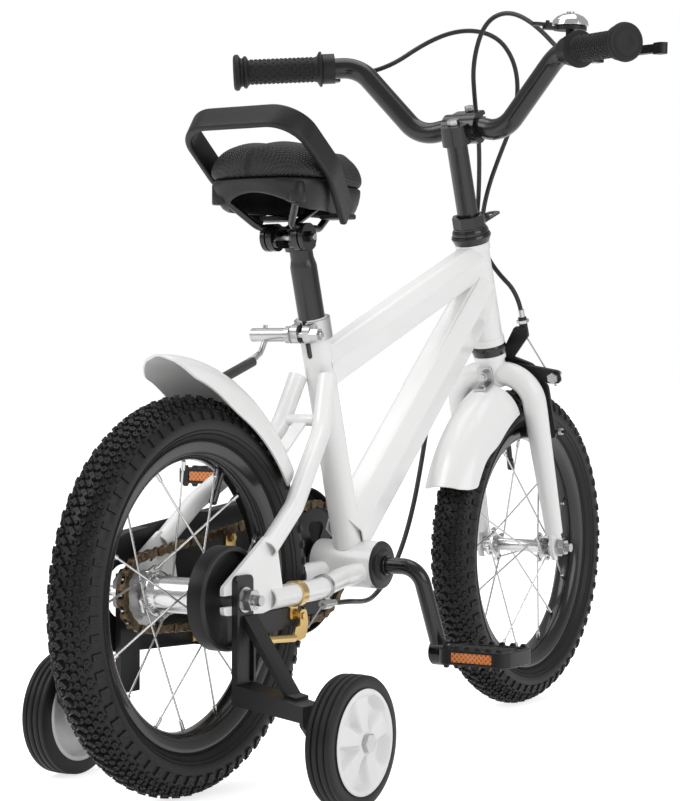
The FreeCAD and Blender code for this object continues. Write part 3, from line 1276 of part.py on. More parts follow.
def caliper_arm(side):
    """One arm on the centre bolt with its shoe; the right arm holds the housing, the left arm the wire."""
    ahead = CALIPER_AHEAD + (4.3 if side < 0 else 0.0)

    def p(y, along):
        return caliper_place(y, along, ahead)

    outline = [p(-7 * side, 8), p(10 * side, 9), p(38 * side, -2), p(52 * side, -28), p(53 * side, -87),
               p(43 * side, -87), p(42 * side, -32), p(32 * side, -12), p(8 * side, -7), p(-7 * side, -7)]
    body = plate(outline, [3, 3, 12, 14, 4, 4, 10, 9, 3, 3], HEAD_AHEAD * 4)
    y, along = CABLE_EYE if side < 0 else WIRE_EYE
    if side < 0:
        reach = [p(2, 6), p(y + 8, along + 5), p(y - 7, along + 5), p(y - 7, along - 6), p(-14, 4)]
    else:
        reach = [p(0, 5), p(y - 6, along + 7), p(y - 8, along - 7), p(y + 6, along - 7), p(-4, -6)]
    body = body.fuse(plate(reach, [1, 3, 4, 3, 1], HEAD_AHEAD * 4))
    eye = p(y, along)
    if side < 0:
        low = caliper_place(y, along - 5, WIRE_AHEAD)
        high = caliper_place(y, along + 14, WIRE_AHEAD)
        body = body.fuse(cyl(low, high, 4.6)).cut(cyl(low - HEAD_UP, high + HEAD_UP, 1.4))
        extra = [hex_nut(caliper_place(y, along + 8, WIRE_AHEAD), HEAD_UP, 12, 3.5, 4.62)]
    else:
        body = body.cut(cyl(eye - HEAD_AHEAD, eye + HEAD_AHEAD * 6, 3.05))
        extra = [fused(cyl(eye - HEAD_AHEAD * 4, eye + HEAD_AHEAD * 15, 3.0),
                       prism(ngon(eye - HEAD_AHEAD * 4.6, HEAD_AHEAD, 6.2, 6), HEAD_AHEAD * 4.4)),
                 hex_nut(eye + HEAD_AHEAD * 4.1, HEAD_AHEAD, 9, 4.4, 3.02)]
    hole = cyl(p(0, 0) - HEAD_AHEAD, p(0, 0) + HEAD_AHEAD * 6, CALIPER_BOLT_RADIUS + RUNNING_CLEARANCE)
    stud_at = caliper_place(0, STUD_ALONG, ahead + 2)
    body = body.cut(hole).cut(cyl(stud_at, stud_at + Y * (70 * side), 1.72))
    stud = cyl(stud_at + Y * (side * (RIM_HALF_WIDTH + SHOE_GAP + 9)), stud_at + Y * (side * 66), 1.7)
    nuts = [hex_nut(stud_at + Y * (side * y0), Y * side, 7, 4, 1.72) for y0 in (57.0, 38.6)]
    return group(biggest(body.removeSplitter()), *(extra + [fused(stud, brake_shoe(side, stud_at))] + nuts))


def brake_shoe(side, stud_at):
    """A rubber block with its backing, set on the stud square to the rim's side."""
    out = unit(stud_at.sub(FRONT_AXLE))
    along = Vector(out.z, 0, -out.x)
    y0 = side * (RIM_HALF_WIDTH + SHOE_GAP)
    at = Vector(stud_at.x, 0, stud_at.z)
    block = plate([at - along * 17 - out * 4.5 + Y * y0, at + along * 17 - out * 4.5 + Y * y0,
                   at + along * 17 + out * 4.5 + Y * y0, at - along * 17 + out * 4.5 + Y * y0], 3, Y * (side * 8))
    return block.fuse(cyl(at + Y * (y0 + side * 7), at + Y * (y0 + side * 13), 4))


# Chain: outer and inner links round both sprockets
def chain_path():
    """Pin places along the closed chain, counted in links from the chainring's upper tangent point."""
    r1 = pitch_radius(CHAINRING_TEETH)
    r2 = pitch_radius(SPROCKET_TEETH)
    line = BRACKET.sub(REAR_AXLE)
    tilt = math.atan2(line.z, line.x)
    lean = math.asin((r1 - r2) / STAY_REACH)
    span = math.sqrt(STAY_REACH ** 2 - (r1 - r2) ** 2) / CHAIN_PITCH
    front_arc = CHAINRING_TEETH * (math.pi + 2 * lean) / (2 * math.pi)
    rear_arc = SPROCKET_TEETH * (math.pi - 2 * lean) / (2 * math.pi)

    def place(count):
        count = count % CHAIN_LINKS
        if count < front_arc:
            a = tilt + math.pi / 2 + lean - 2 * math.pi * count / CHAINRING_TEETH
            return BRACKET + Vector(r1 * math.cos(a), 0, r1 * math.sin(a))
        count -= front_arc
        low = tilt - math.pi / 2 - lean
        if count < span:
            a = BRACKET + Vector(r1 * math.cos(low), 0, r1 * math.sin(low))
            b = REAR_AXLE + Vector(r2 * math.cos(low), 0, r2 * math.sin(low))
            return a + b.sub(a) * (count / span)
        count -= span
        if count < rear_arc:
            a = low - 2 * math.pi * count / SPROCKET_TEETH
            return REAR_AXLE + Vector(r2 * math.cos(a), 0, r2 * math.sin(a))
        count -= rear_arc
        high = tilt + math.pi / 2 + lean
        a = REAR_AXLE + Vector(r2 * math.cos(high), 0, r2 * math.sin(high))
        b = BRACKET + Vector(r1 * math.cos(high), 0, r1 * math.sin(high))
        return a + b.sub(a) * (count / span)

    return place, front_arc, span, rear_arc, tilt, lean


def link_outline(a, b, y, half):
    along = unit(b.sub(a))
    up = Y.cross(along)
    ends = [a - along * half, a - along * (half * 0.3) + up * half, b + along * (half * 0.3) + up * half, b + along * half,
            b + along * (half * 0.3) - up * half, a - along * (half * 0.3) - up * half]
    return [p + Y * y for p in ends]


def chain():
    place = chain_path()[0]
    pins = [place(k) for k in range(CHAIN_LINKS)]
    inner_face = ROLLER_WIDTH / 2
    outer_face = inner_face + LINK_PLATE + LINK_GAP
    pieces = []
    for k in range(0, CHAIN_LINKS, 2):
        a = pins[k]
        b = pins[(k + 1) % CHAIN_LINKS]
        c = pins[(k + 2) % CHAIN_LINKS]
        outer = []
        for low in (CHAIN_LINE + outer_face, CHAIN_LINE - outer_face - LINK_PLATE):
            outer.append(prism(link_outline(a, b, low, 4.0), Y * LINK_PLATE))
        reach = outer_face + 0.3
        for p in (a, b):
            outer.append(bar(p + Y * (CHAIN_LINE - reach), p + Y * (CHAIN_LINE + reach), PIN_RADIUS, 5))
        pieces.append(outer[0].fuse(outer[1:]).removeSplitter())
        inner = []
        for low in (CHAIN_LINE + inner_face, CHAIN_LINE - inner_face - LINK_PLATE):
            inner.append(prism(link_outline(b, c, low, 4.2), Y * LINK_PLATE))
        for p in (b, c):
            inner.append(bar(p + Y * (CHAIN_LINE - inner_face - 0.2), p + Y * (CHAIN_LINE + inner_face + 0.2),
                             ROLLER_RADIUS, 6))
        solid = inner[0].fuse(inner[1:])
        for p in (b, c):
            solid = solid.cut(bar(p + Y * (CHAIN_LINE - 9), p + Y * (CHAIN_LINE + 9), PIN_RADIUS + 0.15, 5))
        pieces.append(solid.removeSplitter())
    return pieces


def toothed_disc(centre, teeth, phase, thickness, bore):
    """A sprocket with round seats between its teeth, each seat round a roller at the pitch radius."""
    r = pitch_radius(teeth)
    step = 2 * math.pi / teeth
    seat = ROLLER_RADIUS + ROLLER_CLEARANCE
    points = []
    for k in range(teeth):
        middle = phase + step * k
        for off, radius in ((-0.33, r - 1.2), (-0.18, r - seat * 0.9), (0.0, r - seat), (0.18, r - seat * 0.9),
                            (0.33, r - 1.2), (0.44, r + 3.4), (0.56, r + 3.4)):
            t = middle + off * step
            points.append(centre + Vector(radius * math.cos(t), CHAIN_LINE - thickness / 2, radius * math.sin(t)))
    disc = prism(points, Y * thickness)
    return disc.cut(cyl(centre, centre + Y * (CHAIN_LINE * 2), bore))


def chainring():
    place = chain_path()[0]
    pin = place(0).sub(BRACKET)
    phase = math.atan2(pin.z, pin.x)
    disc = toothed_disc(BRACKET, CHAINRING_TEETH, phase, 2.6, CRANK_AXLE_RADIUS + 0.05)
    windows = 5
    for k in range(windows):
        t0 = 2 * math.pi * k / windows + math.radians(CRANK_REST_ANGLE)
        corners = []
        for radius, off in ((20, -0.30), (43, -0.42), (43, 0.42), (20, 0.30)):
            t = t0 + off
            corners.append(BRACKET + Vector(radius * math.cos(t), 0, radius * math.sin(t)))
        window = plate([p + Y * (CHAIN_LINE - 5) for p in corners], [4, 6, 6, 4], Y * 10)
        disc = disc.cut(window)
    return disc


def freewheel_sprocket():
    place, front_arc, span, rear_arc, tilt, lean = chain_path()
    first = math.ceil(front_arc + span)
    pin = place(first).sub(REAR_AXLE)
    phase = math.atan2(pin.z, pin.x)
    disc = toothed_disc(REAR_AXLE, SPROCKET_TEETH, phase, 2.6, THREAD_RADIUS + 5)
    body = pipe(REAR_AXLE + Y * (FLANGE_REAR_LEFT + 1.2 + SIDE_CLEARANCE), REAR_AXLE + Y * THREAD_END, THREAD_RADIUS + 6,
                SPROCKET_BORE)
    return fused(disc, body)


# Cranks and pedals
def crank_tip(side):
    """The pedal spindle's centre line at a crank's end; the right crank points down and ahead at rest."""
    t = math.radians(CRANK_REST_ANGLE)
    drop = Vector(math.sin(t), 0, -math.cos(t)) * CRANK_LENGTH
    return BRACKET + (drop if side < 0 else drop * -1)


def crank():
    """The one-piece crank: an axle through the shell and an arm bent out at each end."""
    start = crank_tip(-1) + Y * -88
    end = crank_tip(1) + Y * 88
    right = BRACKET - Y * CRANK_OUT
    left = BRACKET + Y * CRANK_OUT
    path = route_varied([start, right, left, end], [0, 20, 20, 0])
    profile = Part.Wire(Part.makeCircle(CRANK_RADIUS, start, right.sub(start)))
    arms = path.makePipeShell([profile], True, False)
    journal = cyl(BRACKET - Y * (BRACKET_SHELL_HALF + CUP_OUT + 2), BRACKET + Y * (CHAIN_LINE + 6), CRANK_AXLE_RADIUS)
    body = arms.fuse(journal)
    for side in (1, -1):
        at = crank_tip(side)
        eye = cyl(at + Y * (side * 80), at + Y * (side * 96), 12.5)
        body = body.fuse(eye)
    body = body.fuse(cyl(BRACKET + Y * (CHAIN_LINE + 1.4), BRACKET + Y * (CHAIN_LINE + 4.4), 16))
    spindles = []
    for side in (1, -1):
        at = crank_tip(side)
        body = body.cut(cyl(at + Y * (side * 79), at + Y * (side * 97), 5.02))
        spindles.append(cyl(at + Y * (side * 82), at + Y * (side * (PEDAL_START + PEDAL_LENGTH - 4)), 5.0))
        body = body.cut(cyl(at + Y * (side * 79), at + Y * (side * 97), 5.02))
    return group(biggest(body.removeSplitter()), *spindles)


PEDAL_START = 98.5


def pedal(side):
    """A moulded platform pedal: a barrel on the spindle inside a toothed frame with cross bars."""
    at = crank_tip(side)
    y0 = side * PEDAL_START
    long = side * PEDAL_LENGTH
    h = PEDAL_THICKNESS / 2
    d = PEDAL_DEPTH / 2

    def p(x, y, z):
        return at + Vector(x, y0 + y * side, z)

    n = PEDAL_LENGTH
    outer = plate([p(-d, 0, -h + 3), p(d, 0, -h + 3), p(d, n, -h + 3), p(-d, n, -h + 3)], 9, Z * (2 * h - 6))
    inner = plate([p(-d + 6, 6, -h), p(d - 6, 6, -h), p(d - 6, n - 6, -h), p(-d + 6, n - 6, -h)], 5, Z * (2 * h))
    body = outer.cut(inner)
    barrel = cyl(p(0, 0.2, 0), p(0, n - 3, 0), 9)
    body = body.fuse(barrel)
    for y in (16, 34, 52):
        body = body.fuse(Part.makeBox(PEDAL_DEPTH - 8, 5, 2 * h - 8, p(-d + 4, (y if side > 0 else y + 5), -h + 4)))
    teeth = []
    for x in (-d + 1, d - 5):
        for k in range(6):
            y = 7 + k * 11.2
            teeth.append(prism([p(x, y, h - 3.2), p(x, y + 6, h - 3.2), p(x, y + 4.6, h), p(x, y + 1.4, h)], X * 4))
            teeth.append(prism([p(x, y, -h + 3.2), p(x, y + 6, -h + 3.2), p(x, y + 4.6, -h), p(x, y + 1.4, -h)], X * 4))
    body = body.fuse(teeth)
    body = body.cut(cyl(p(0, -1, 0), p(0, n - 3.4, 0), 5.0 + RUNNING_CLEARANCE))
    for x in (-d - 1, d - 2.4):
        body = body.cut(Part.makeBox(3.4, 44, 10, p(x, (16 if side > 0 else 60), -5)))
    return biggest(body.removeSplitter())


def pedal_reflectors(side):
    at = crank_tip(side)
    pieces = []
    d = PEDAL_DEPTH / 2
    for x in (-d - 0.4, d - 2.38):
        y0 = side * PEDAL_START + (16.1 if side > 0 else -59.9)
        pieces.append(Part.makeBox(2.78, 43.8, 9.8, at + Vector(x, y0, -4.9)))
    return group(*pieces)


# Chain case
CASE_Y = 67.5
CASE_WALL = 1.6
CASE_FRONT_RADIUS = 73.0
CASE_REAR_RADIUS = 54.0
CASE_LIP = 13.0


def case_outline(front, rear, y):
    line = BRACKET.sub(REAR_AXLE)
    tilt = math.atan2(line.z, line.x)
    lean = math.asin((front - rear) / STAY_REACH)
    high = tilt + math.pi / 2 + lean
    low = tilt - math.pi / 2 - lean

    def at(c, r, a):
        return Vector(c.x + r * math.cos(a), y, c.z + r * math.sin(a))

    return Part.Wire([
        Part.LineSegment(at(REAR_AXLE, rear, high), at(BRACKET, front, high)).toShape(),
        Part.Arc(at(BRACKET, front, high), at(BRACKET, front, tilt), at(BRACKET, front, low)).toShape(),
        Part.LineSegment(at(BRACKET, front, low), at(REAR_AXLE, rear, low)).toShape(),
        Part.Arc(at(REAR_AXLE, rear, low), at(REAR_AXLE, rear, tilt + math.pi), at(REAR_AXLE, rear, high)).toShape()])


def chain_case():
    """The pressed chain case: a flat outer face, a lip over the upper run and two bracket strips."""
    y = CASE_Y
    face = Part.Face(case_outline(CASE_FRONT_RADIUS, CASE_REAR_RADIUS, y)).extrude(Y * CASE_WALL)
    lip_outer = Part.Face(case_outline(CASE_FRONT_RADIUS, CASE_REAR_RADIUS, y - CASE_LIP)).extrude(Y * (CASE_LIP + 0.2))
    lip_inner = Part.Face(case_outline(CASE_FRONT_RADIUS - CASE_WALL, CASE_REAR_RADIUS - CASE_WALL,
                                       y - CASE_LIP - 1)).extrude(Y * (CASE_LIP + 3))
    lip = lip_outer.cut(lip_inner)
    keep_out = Part.makeBox(190, 60, 90, Vector(REAR_AXLE.x - 80, y - 40, REAR_AXLE.z - 84))
    stay_gap = Part.makeBox(90, 60, 60, Vector(REAR_AXLE.x + 22, y - 40, REAR_AXLE.z + 30))
    lip = lip.cut(keep_out).cut(stay_gap)
    body = face.fuse(lip)
    body = body.cut(cyl(REAR_AXLE + Y * (y - 5), REAR_AXLE + Y * (y + 5), 24))
    body = body.cut(cyl(BRACKET + Y * (y - 5), BRACKET + Y * (y + 5), 22))
    for dx, dz in CASE_BOLTS:
        at = Vector(BRACKET.x + dx, y, BRACKET.z + dz)
        body = body.cut(cyl(at - Y * 3, at + Y * 3, 2.62))
    return group(biggest(body.removeSplitter()), *case_brackets())


def stay_strip(side, x, place, width):
    """A place on a chain stay: its centre where it passes x, and the way the stay runs there."""
    path = chain_stay_path()
    for a, b in zip(path, path[1:]):
        if b.x <= x <= a.x:
            c = a + b.sub(a) * ((a.x - x) / (a.x - b.x))
            return Vector(c.x, c.y * side, c.z), unit(Vector(b.x - a.x, (b.y - a.y) * side, b.z - a.z))
    return None


CASE_BOLTS = ((-112.0, 30.0), (-165.0, -57.0))


def case_brackets():
    """Two steel angle strips on the left chain stay that carry the chain case, with their bolts."""
    pieces = []
    face = CASE_Y - 0.03
    for dx, dz in CASE_BOLTS:
        x = BRACKET.x + dx
        centre = stay_strip(1, x, 0, 0)[0]
        up = 1 if dz > 0 else -1
        top = BRACKET.z + dz
        root = centre.z + up * (CHAIN_STAY_RADIUS - 1.5)
        y_in = centre.y + 5
        riser = prism([Vector(x - 8, y_in, root), Vector(x - 8, y_in - 2, root), Vector(x - 8, y_in - 2, top - up * 16),
                       Vector(x - 8, face - 2, top - up * 9), Vector(x - 8, face - 2, top + up * 6),
                       Vector(x - 8, face, top + up * 6), Vector(x - 8, face, top - up * 10),
                       Vector(x - 8, y_in, top - up * 17)], X * 16)
        bolt_at = Vector(x, face, top)
        riser = riser.cut(cyl(bolt_at - Y * 8, bolt_at + Y * 8, 2.62))
        riser = riser.cut(sweep(chain_stay_path(), CHAIN_STAY_RADIUS + 0.02, 60))
        rod = cyl(bolt_at - Y * 7, bolt_at + Y * (CASE_WALL + 0.5), 2.6)
        head = prism(ngon(bolt_at + Y * (CASE_WALL + 0.1), Y, 5.2, 6), Y * 3.2)
        pieces += [biggest(riser), fused(rod, head), hex_nut(bolt_at - Y * 2.1, Y * -1, 8, 3.6, 2.62)]
    return pieces


# Band brake
def band_brake_cover():
    """The fixed brake shell on the axle, open on the wheel's side, with its band inside."""
    r = COVER_RADIUS
    hole = AXLE_RADIUS + 0.02
    profile = [(hole, COVER_WEB_Y + 0.9), (r - 2, COVER_WEB_Y + 0.9), (r - 2, -34.2), (r, -34.2), (r, COVER_EDGE_Y + 1.5),
               (r - 1.5, COVER_EDGE_Y), (r - 4.5, COVER_EDGE_Y), (r - 4.5, COVER_WEB_Y - 1.6), (hole, COVER_WEB_Y - 1.6)]
    shell = turned(profile, REAR_AXLE)
    band_out = DRUM_RADIUS + 2.4
    ring = pipe(REAR_AXLE + Y * -40.6, REAR_AXLE + Y * -35.4, band_out, DRUM_RADIUS + 0.5)
    mouth = prism([REAR_AXLE + Vector(20, -60, -50), REAR_AXLE + Vector(34, -60, -50), REAR_AXLE + Vector(26, -60, -12),
                   REAR_AXLE + Vector(20, -60, -12)], Y * 40)
    y = COVER_WEB_Y - 4.6
    c = REAR_AXLE
    arm = plate([Vector(c.x + 20, y, c.z - 38), Vector(c.x + 84, y, c.z - 35), Vector(c.x + 116, y, c.z - 32),
                 Vector(c.x + 116, y, c.z - 16.5), Vector(c.x + 30, y, c.z - 16.5)], [4, 10, 6, 5, 4], Y * 3)
    pivot = band_lever_pivot()
    arm = arm.cut(cyl(pivot - Y * 9, pivot + Y * 9, 3.02))
    opening = prism([Vector(c.x + 30, -60, c.z - 40), Vector(c.x + 60, -60, c.z - 40), Vector(c.x + 60, -60, c.z - 8),
                     Vector(c.x + 30, -60, c.z - 8)], Y * 24.6)
    shell = shell.cut(opening).fuse(arm).removeSplitter()
    return group(biggest(shell), ring.cut(mouth), *stay_clip())


BAND_LEVER_AHEAD = 106.0
BAND_LEVER_BELOW = 24.5


def band_lever_pivot():
    return REAR_AXLE + Vector(BAND_LEVER_AHEAD, COVER_WEB_Y - 4.6, -BAND_LEVER_BELOW)


def stay_clip():
    """The strap clip that ties the torque arm to the right chain stay, its bolt, the spring and the pin."""
    x = REAR_AXLE.x + BAND_LEVER_AHEAD - 6
    centre, along = stay_strip(-1, x, 0, 0)
    r = CHAIN_STAY_RADIUS
    ring = cyl(centre - along * 5, centre + along * 5, r + 1.8)
    arm_y = COVER_WEB_Y - 4.6
    low = Vector(x, arm_y - 2.05, REAR_AXLE.z - 31)
    tab = plate([Vector(x - 6, low.y, centre.z - r - 0.5), Vector(x + 6, low.y, centre.z - r - 0.5),
                 Vector(x + 5, low.y, low.z + 4), Vector(x - 7, low.y, low.z + 4)], [0, 0, 3, 3], Y * 2)
    neck = Part.makeBox(12, abs(low.y - centre.y) + 4, 3, Vector(x - 6, min(low.y, centre.y) , centre.z - r - 1.6))
    clip = fused(ring, tab, neck).cut(cyl(centre - along * 9, centre + along * 9, r + 0.02))
    pivot = band_lever_pivot()
    clip = clip.cut(cyl(pivot - Y * 9, pivot + Y * 9, 3.02))
    pin = fused(cyl(pivot - Y * 9.4, pivot + Y * 4.2, 3.0), cyl(pivot + Y * 3.1, pivot + Y * 6.2, 5))
    cap = hex_nut(pivot - Y * 2.1, Y * -1, 8, 2.4, 3.02)
    coil_y = arm_y - 7
    start = Vector(REAR_AXLE.x + 46, coil_y, REAR_AXLE.z - 40)
    coil = cyl(start, Vector(REAR_AXLE.x + 92, coil_y, REAR_AXLE.z - 43), 3.4)
    hook = cyl(Vector(start.x + 3, arm_y - 0.05, start.z + 6), Vector(start.x + 3, coil_y, start.z + 1), 1.6)
    stop_at = housing_stop()
    c2, a2 = stay_strip(-1, stop_at.x, 0, 0)
    band = cyl(c2 - a2 * 4, c2 + a2 * 4, r + 1.4)
    barrel = cyl(stop_at - X * 7, stop_at + X * 5, 4.5)
    foot = Part.makeBox(7, 2.4, c2.z - r - stop_at.z + 2, Vector(stop_at.x - 3.5, stop_at.y - 1.2, stop_at.z))
    web = Part.makeBox(7, abs(c2.y - stop_at.y) + 2, 2.4, Vector(stop_at.x - 3.5, min(c2.y, stop_at.y) - 1,
                                                                 c2.z - r - 1.6))
    holder = fused(band, barrel, foot, web).cut(cyl(c2 - a2 * 9, c2 + a2 * 9, r + 0.02))
    holder = holder.cut(cyl(stop_at - X * 8, stop_at + X * 8, 1.2))
    return [biggest(clip), pin, cap, fused(coil, hook), biggest(holder)]


def housing_stop():
    return Vector(REAR_AXLE.x + 158, -47.0, REAR_AXLE.z - 19)


def band_brake_lever():
    """The small brass lever on the torque arm that draws the band round the drum."""
    pivot = band_lever_pivot()
    y = pivot.y - 7.6

    def p(x, z):
        return Vector(pivot.x + x, y, pivot.z + z)

    body = plate([p(-5, 6), p(6, 6), p(9, -8), p(5, -20), p(-6, -22), p(-14, -17), p(-12, -9), p(-4, -8)],
                 [4, 4, 4, 4, 3, 3, 3, 2], Y * 3)
    return body.cut(cyl(pivot - Y * 12, pivot + Y * 3, 3.0 + RUNNING_CLEARANCE)).removeSplitter()


# Training wheels, built on the left and mirrored
TRAINER_ARM_Y = TRAINER_TRACK - TRAINER_WIDTH / 2 - 5.0
TRAINER_PLATE_WIDTH = 28.0
TRAINER_BOLT_RADIUS = 5.0
TRAINER_ARM_TOP = 104.0
TRAINER_ARM_DROP = 14.0


def trainer_centre():
    return Vector(TRAINER_BEHIND, TRAINER_TRACK, TRAINER_RADIUS)


def training_bracket(side):
    """A pressed channel held by the axle nut, bent out to the training wheel and braced by a flat strip."""
    t = TRAINER_PLATE
    y0 = REAR_CLAMP_Y + 0.02
    y1 = y0 + t
    half = TRAINER_PLATE_WIDTH / 2
    x = REAR_AXLE.x
    top = REAR_AXLE.z + 21
    low = TRAINER_ARM_TOP
    upright = plate([Vector(x - half, y0, top), Vector(x + half, y0, top), Vector(x + half, y0, low - 18),
                     Vector(x - half, y0, low - 18)], [6, 6, 2, 2], Y * t)
    flanges = []
    for edge in (x - half, x + half - 3):
        if edge < x:
            flanges.append(Part.makeBox(3, 6, top - low - 4, Vector(edge, y0, low)))
        else:
            flanges.append(Part.makeBox(3, 6, REAR_AXLE.z - 22 - low, Vector(edge, y0, low)))
    end_y = TRAINER_ARM_Y
    drop = TRAINER_ARM_DROP
    arm_top = [Vector(x - half, y0, low), Vector(x - half, end_y, low - drop), Vector(x - half, end_y, low - drop - t),
               Vector(x - half, y0, low - t)]
    deck = prism(arm_top, X * (2 * half))
    sides = []
    for edge in (x - half, x + half - 3):
        sides.append(prism([Vector(edge, y0, low), Vector(edge, end_y, low - drop), Vector(edge, end_y, low - drop - 14),
                            Vector(edge, y0, low - 18)], X * 3))
    c = trainer_centre()
    foot = plate([Vector(x - half, end_y - t, low - drop), Vector(x + half, end_y - t, low - drop),
                  Vector(c.x + 14, end_y - t, c.z + 8), Vector(c.x + 14, end_y - t, c.z - 14),
                  Vector(c.x - 14, end_y - t, c.z - 14), Vector(x - half, end_y - t, low - drop - 16)],
                 [0, 2, 8, 10, 10, 6], Y * t)
    high = REAR_AXLE.z - 16 if side < 0 else REAR_AXLE.z - CASE_REAR_RADIUS - 4
    far = y0 + (50 if side < 0 else 30)
    fall = drop * (far - y0) / (end_y - y0)
    brace = prism([Vector(x - 3, y1 - 1, high), Vector(x - 3, y1 + 2, high + 2), Vector(x - 3, far, low - fall + 2.6),
                   Vector(x - 3, far + 8, low - fall + 1), Vector(x - 3, far + 8, low - fall - 3),
                   Vector(x - 3, far - 2, low - fall - 1), Vector(x - 3, y1 - 1, high - 5)], X * 20)
    body = upright.fuse(flanges + [deck, foot, brace] + sides)
    hole = cyl(REAR_AXLE + Y * (y0 - 1), REAR_AXLE + Y * (y1 + 1), AXLE_RADIUS + 0.02)
    body = body.cut(hole).cut(cyl(c - Y * 40, c + Y * 10, TRAINER_BOLT_RADIUS + 0.02))
    whole = group(biggest(body.removeSplitter()), *trainer_bolt())
    return whole if side > 0 else flipped(whole)


def trainer_bolt():
    c = trainer_centre()
    inner = TRAINER_ARM_Y - c.y
    outer = TRAINER_WIDTH / 2
    rod = cyl(c + Y * (inner - TRAINER_PLATE - 9), c + Y * (outer + 4), TRAINER_BOLT_RADIUS)
    head = prism(ngon(c + Y * (outer + SIDE_CLEARANCE), Y, 8.6, 6), Y * 4.5)
    spacer_ring = pipe(c + Y * (inner + 0.02), c + Y * (-outer + 0.5 - SIDE_CLEARANCE), 9, TRAINER_BOLT_RADIUS + 0.02)
    nut = hex_nut(c + Y * (inner - TRAINER_PLATE - 0.02), Y * -1, 15, 7, TRAINER_BOLT_RADIUS + 0.02)
    return [fused(rod, head), spacer_ring, nut]


TRAINER_DISC_RADIUS = 44.0
TRAINER_TYRE_HALF = 13.0


def training_disc(side):
    """The moulded white wheel: a hub, five spokes over a web and a rim with a lip outside."""
    c = trainer_centre()
    bore = TRAINER_BOLT_RADIUS + RUNNING_CLEARANCE
    h = TRAINER_WIDTH / 2
    r = TRAINER_DISC_RADIUS
    e = TRAINER_TYRE_HALF
    profile = [(bore, -h + 0.5), (11, -h + 0.5), (13, -3), (r - 4, -3), (r - 4, -e), (r, -e), (r, e - 0.4), (r + 1.6, e),
               (r + 1.6, e + 1.4), (r - 3, e + 1.4), (r - 5, 2), (15, 2), (12, h), (bore, h)]
    body = turned(profile, c)
    for k in range(5):
        t = math.radians(90 + 72 * k)
        a = Vector(math.cos(t), 0, math.sin(t))
        b = Vector(-math.sin(t), 0, math.cos(t))
        base = c + Y * 1.5
        rib = prism([base + a * 12 - b * 6, base + a * 40 - b * 3.4, base + a * 40 + b * 3.4, base + a * 12 + b * 6],
                    Y * (e - 1.5))
        body = body.fuse(rib)
    body = body.cut(cyl(c - Y * 30, c + Y * 30, bore)).removeSplitter()
    return biggest(body) if side > 0 else flipped(biggest(body))


def training_tyre(side):
    """A solid rubber band with three grooves round its tread."""
    c = trainer_centre()
    e = TRAINER_TYRE_HALF
    r = TRAINER_RADIUS
    inner = TRAINER_DISC_RADIUS + 0.03
    profile = [(inner, -e), (r - 4, -e), (r - 1.4, -e + 1.6)]
    for mid in (-6.0, 0.0, 6.0):
        crown = r - (0.6 if abs(mid) > 3 else 0.0)
        profile += [(crown, mid - 1.5), (crown - 2.2, mid - 1.0), (crown - 2.2, mid + 1.0), (crown, mid + 1.5)]
    profile += [(r - 1.4, e - 1.6), (r - 4, e - 0.4), (inner, e - 0.4)]
    body = turned(profile, c)
    return body if side > 0 else flipped(body)


# Brake cables
CABLE_DIAMETER = 5.0


def lever_barrel_end(side):
    centre, out, ahead, up = lever_frame(side)
    return centre + ahead * 22 - out * 34.05 - up * 3, out * -1


def front_brake_cable():
    start, way = lever_barrel_end(1)
    end = caliper_place(CABLE_EYE[0], CABLE_EYE[1] + 14.05, WIRE_AHEAD)
    points = [start, start + way * 26, Vector(216, 56, 730), Vector(238, 24, 741), Vector(262, 0, 734),
              Vector(278, -12, 710), Vector(286, -14, 678), Vector(284, -8, 642), Vector(276, 4, 606),
              Vector(266, 13, 570), Vector(255, 15, 535), Vector(248, 9, 502), Vector(245, -8, 478),
              end + HEAD_UP * 26, end]
    wire_start = caliper_place(CABLE_EYE[0], CABLE_EYE[1] - 5.1, WIRE_AHEAD)
    wire_end = caliper_place(WIRE_EYE[0] + 4.2, WIRE_EYE[1] - 14, WIRE_AHEAD)
    return group(cable(points, CABLE_DIAMETER), bar(wire_start, wire_end, 0.9, 6))


def rear_brake_cable():
    start, way = lever_barrel_end(-1)
    stop = housing_stop()
    end = stop + X * 5.05
    points = [start, start + way * 24, Vector(205, -74, 735), Vector(208, -40, 752), Vector(208, -12, 741),
              Vector(214, 5, 700), Vector(229, 10, 660), Vector(243, 12, 621), Vector(257, 19, 582),
              Vector(267, 26, 543), Vector(265, 32, 502), Vector(253, 34, 462), Vector(226, 37, 420),
              Vector(194, 36, 374), Vector(166, 30, 324), Vector(136, 22, 272), Vector(106, 15, 226),
              Vector(72, 9, 186), Vector(32, 2, 160), Vector(-10, -8, 148), Vector(-54, -26, 148),
              Vector(-98, -41, 152), Vector(end.x + 34, -46.5, end.z - 1.0), end]
    wire = bar(stop - X * 7.1, Vector(REAR_AXLE.x + BAND_LEVER_AHEAD + 9, stop.y - 7, REAR_AXLE.z - 36), 0.9, 6)
    return group(cable(points, CABLE_DIAMETER), wire)


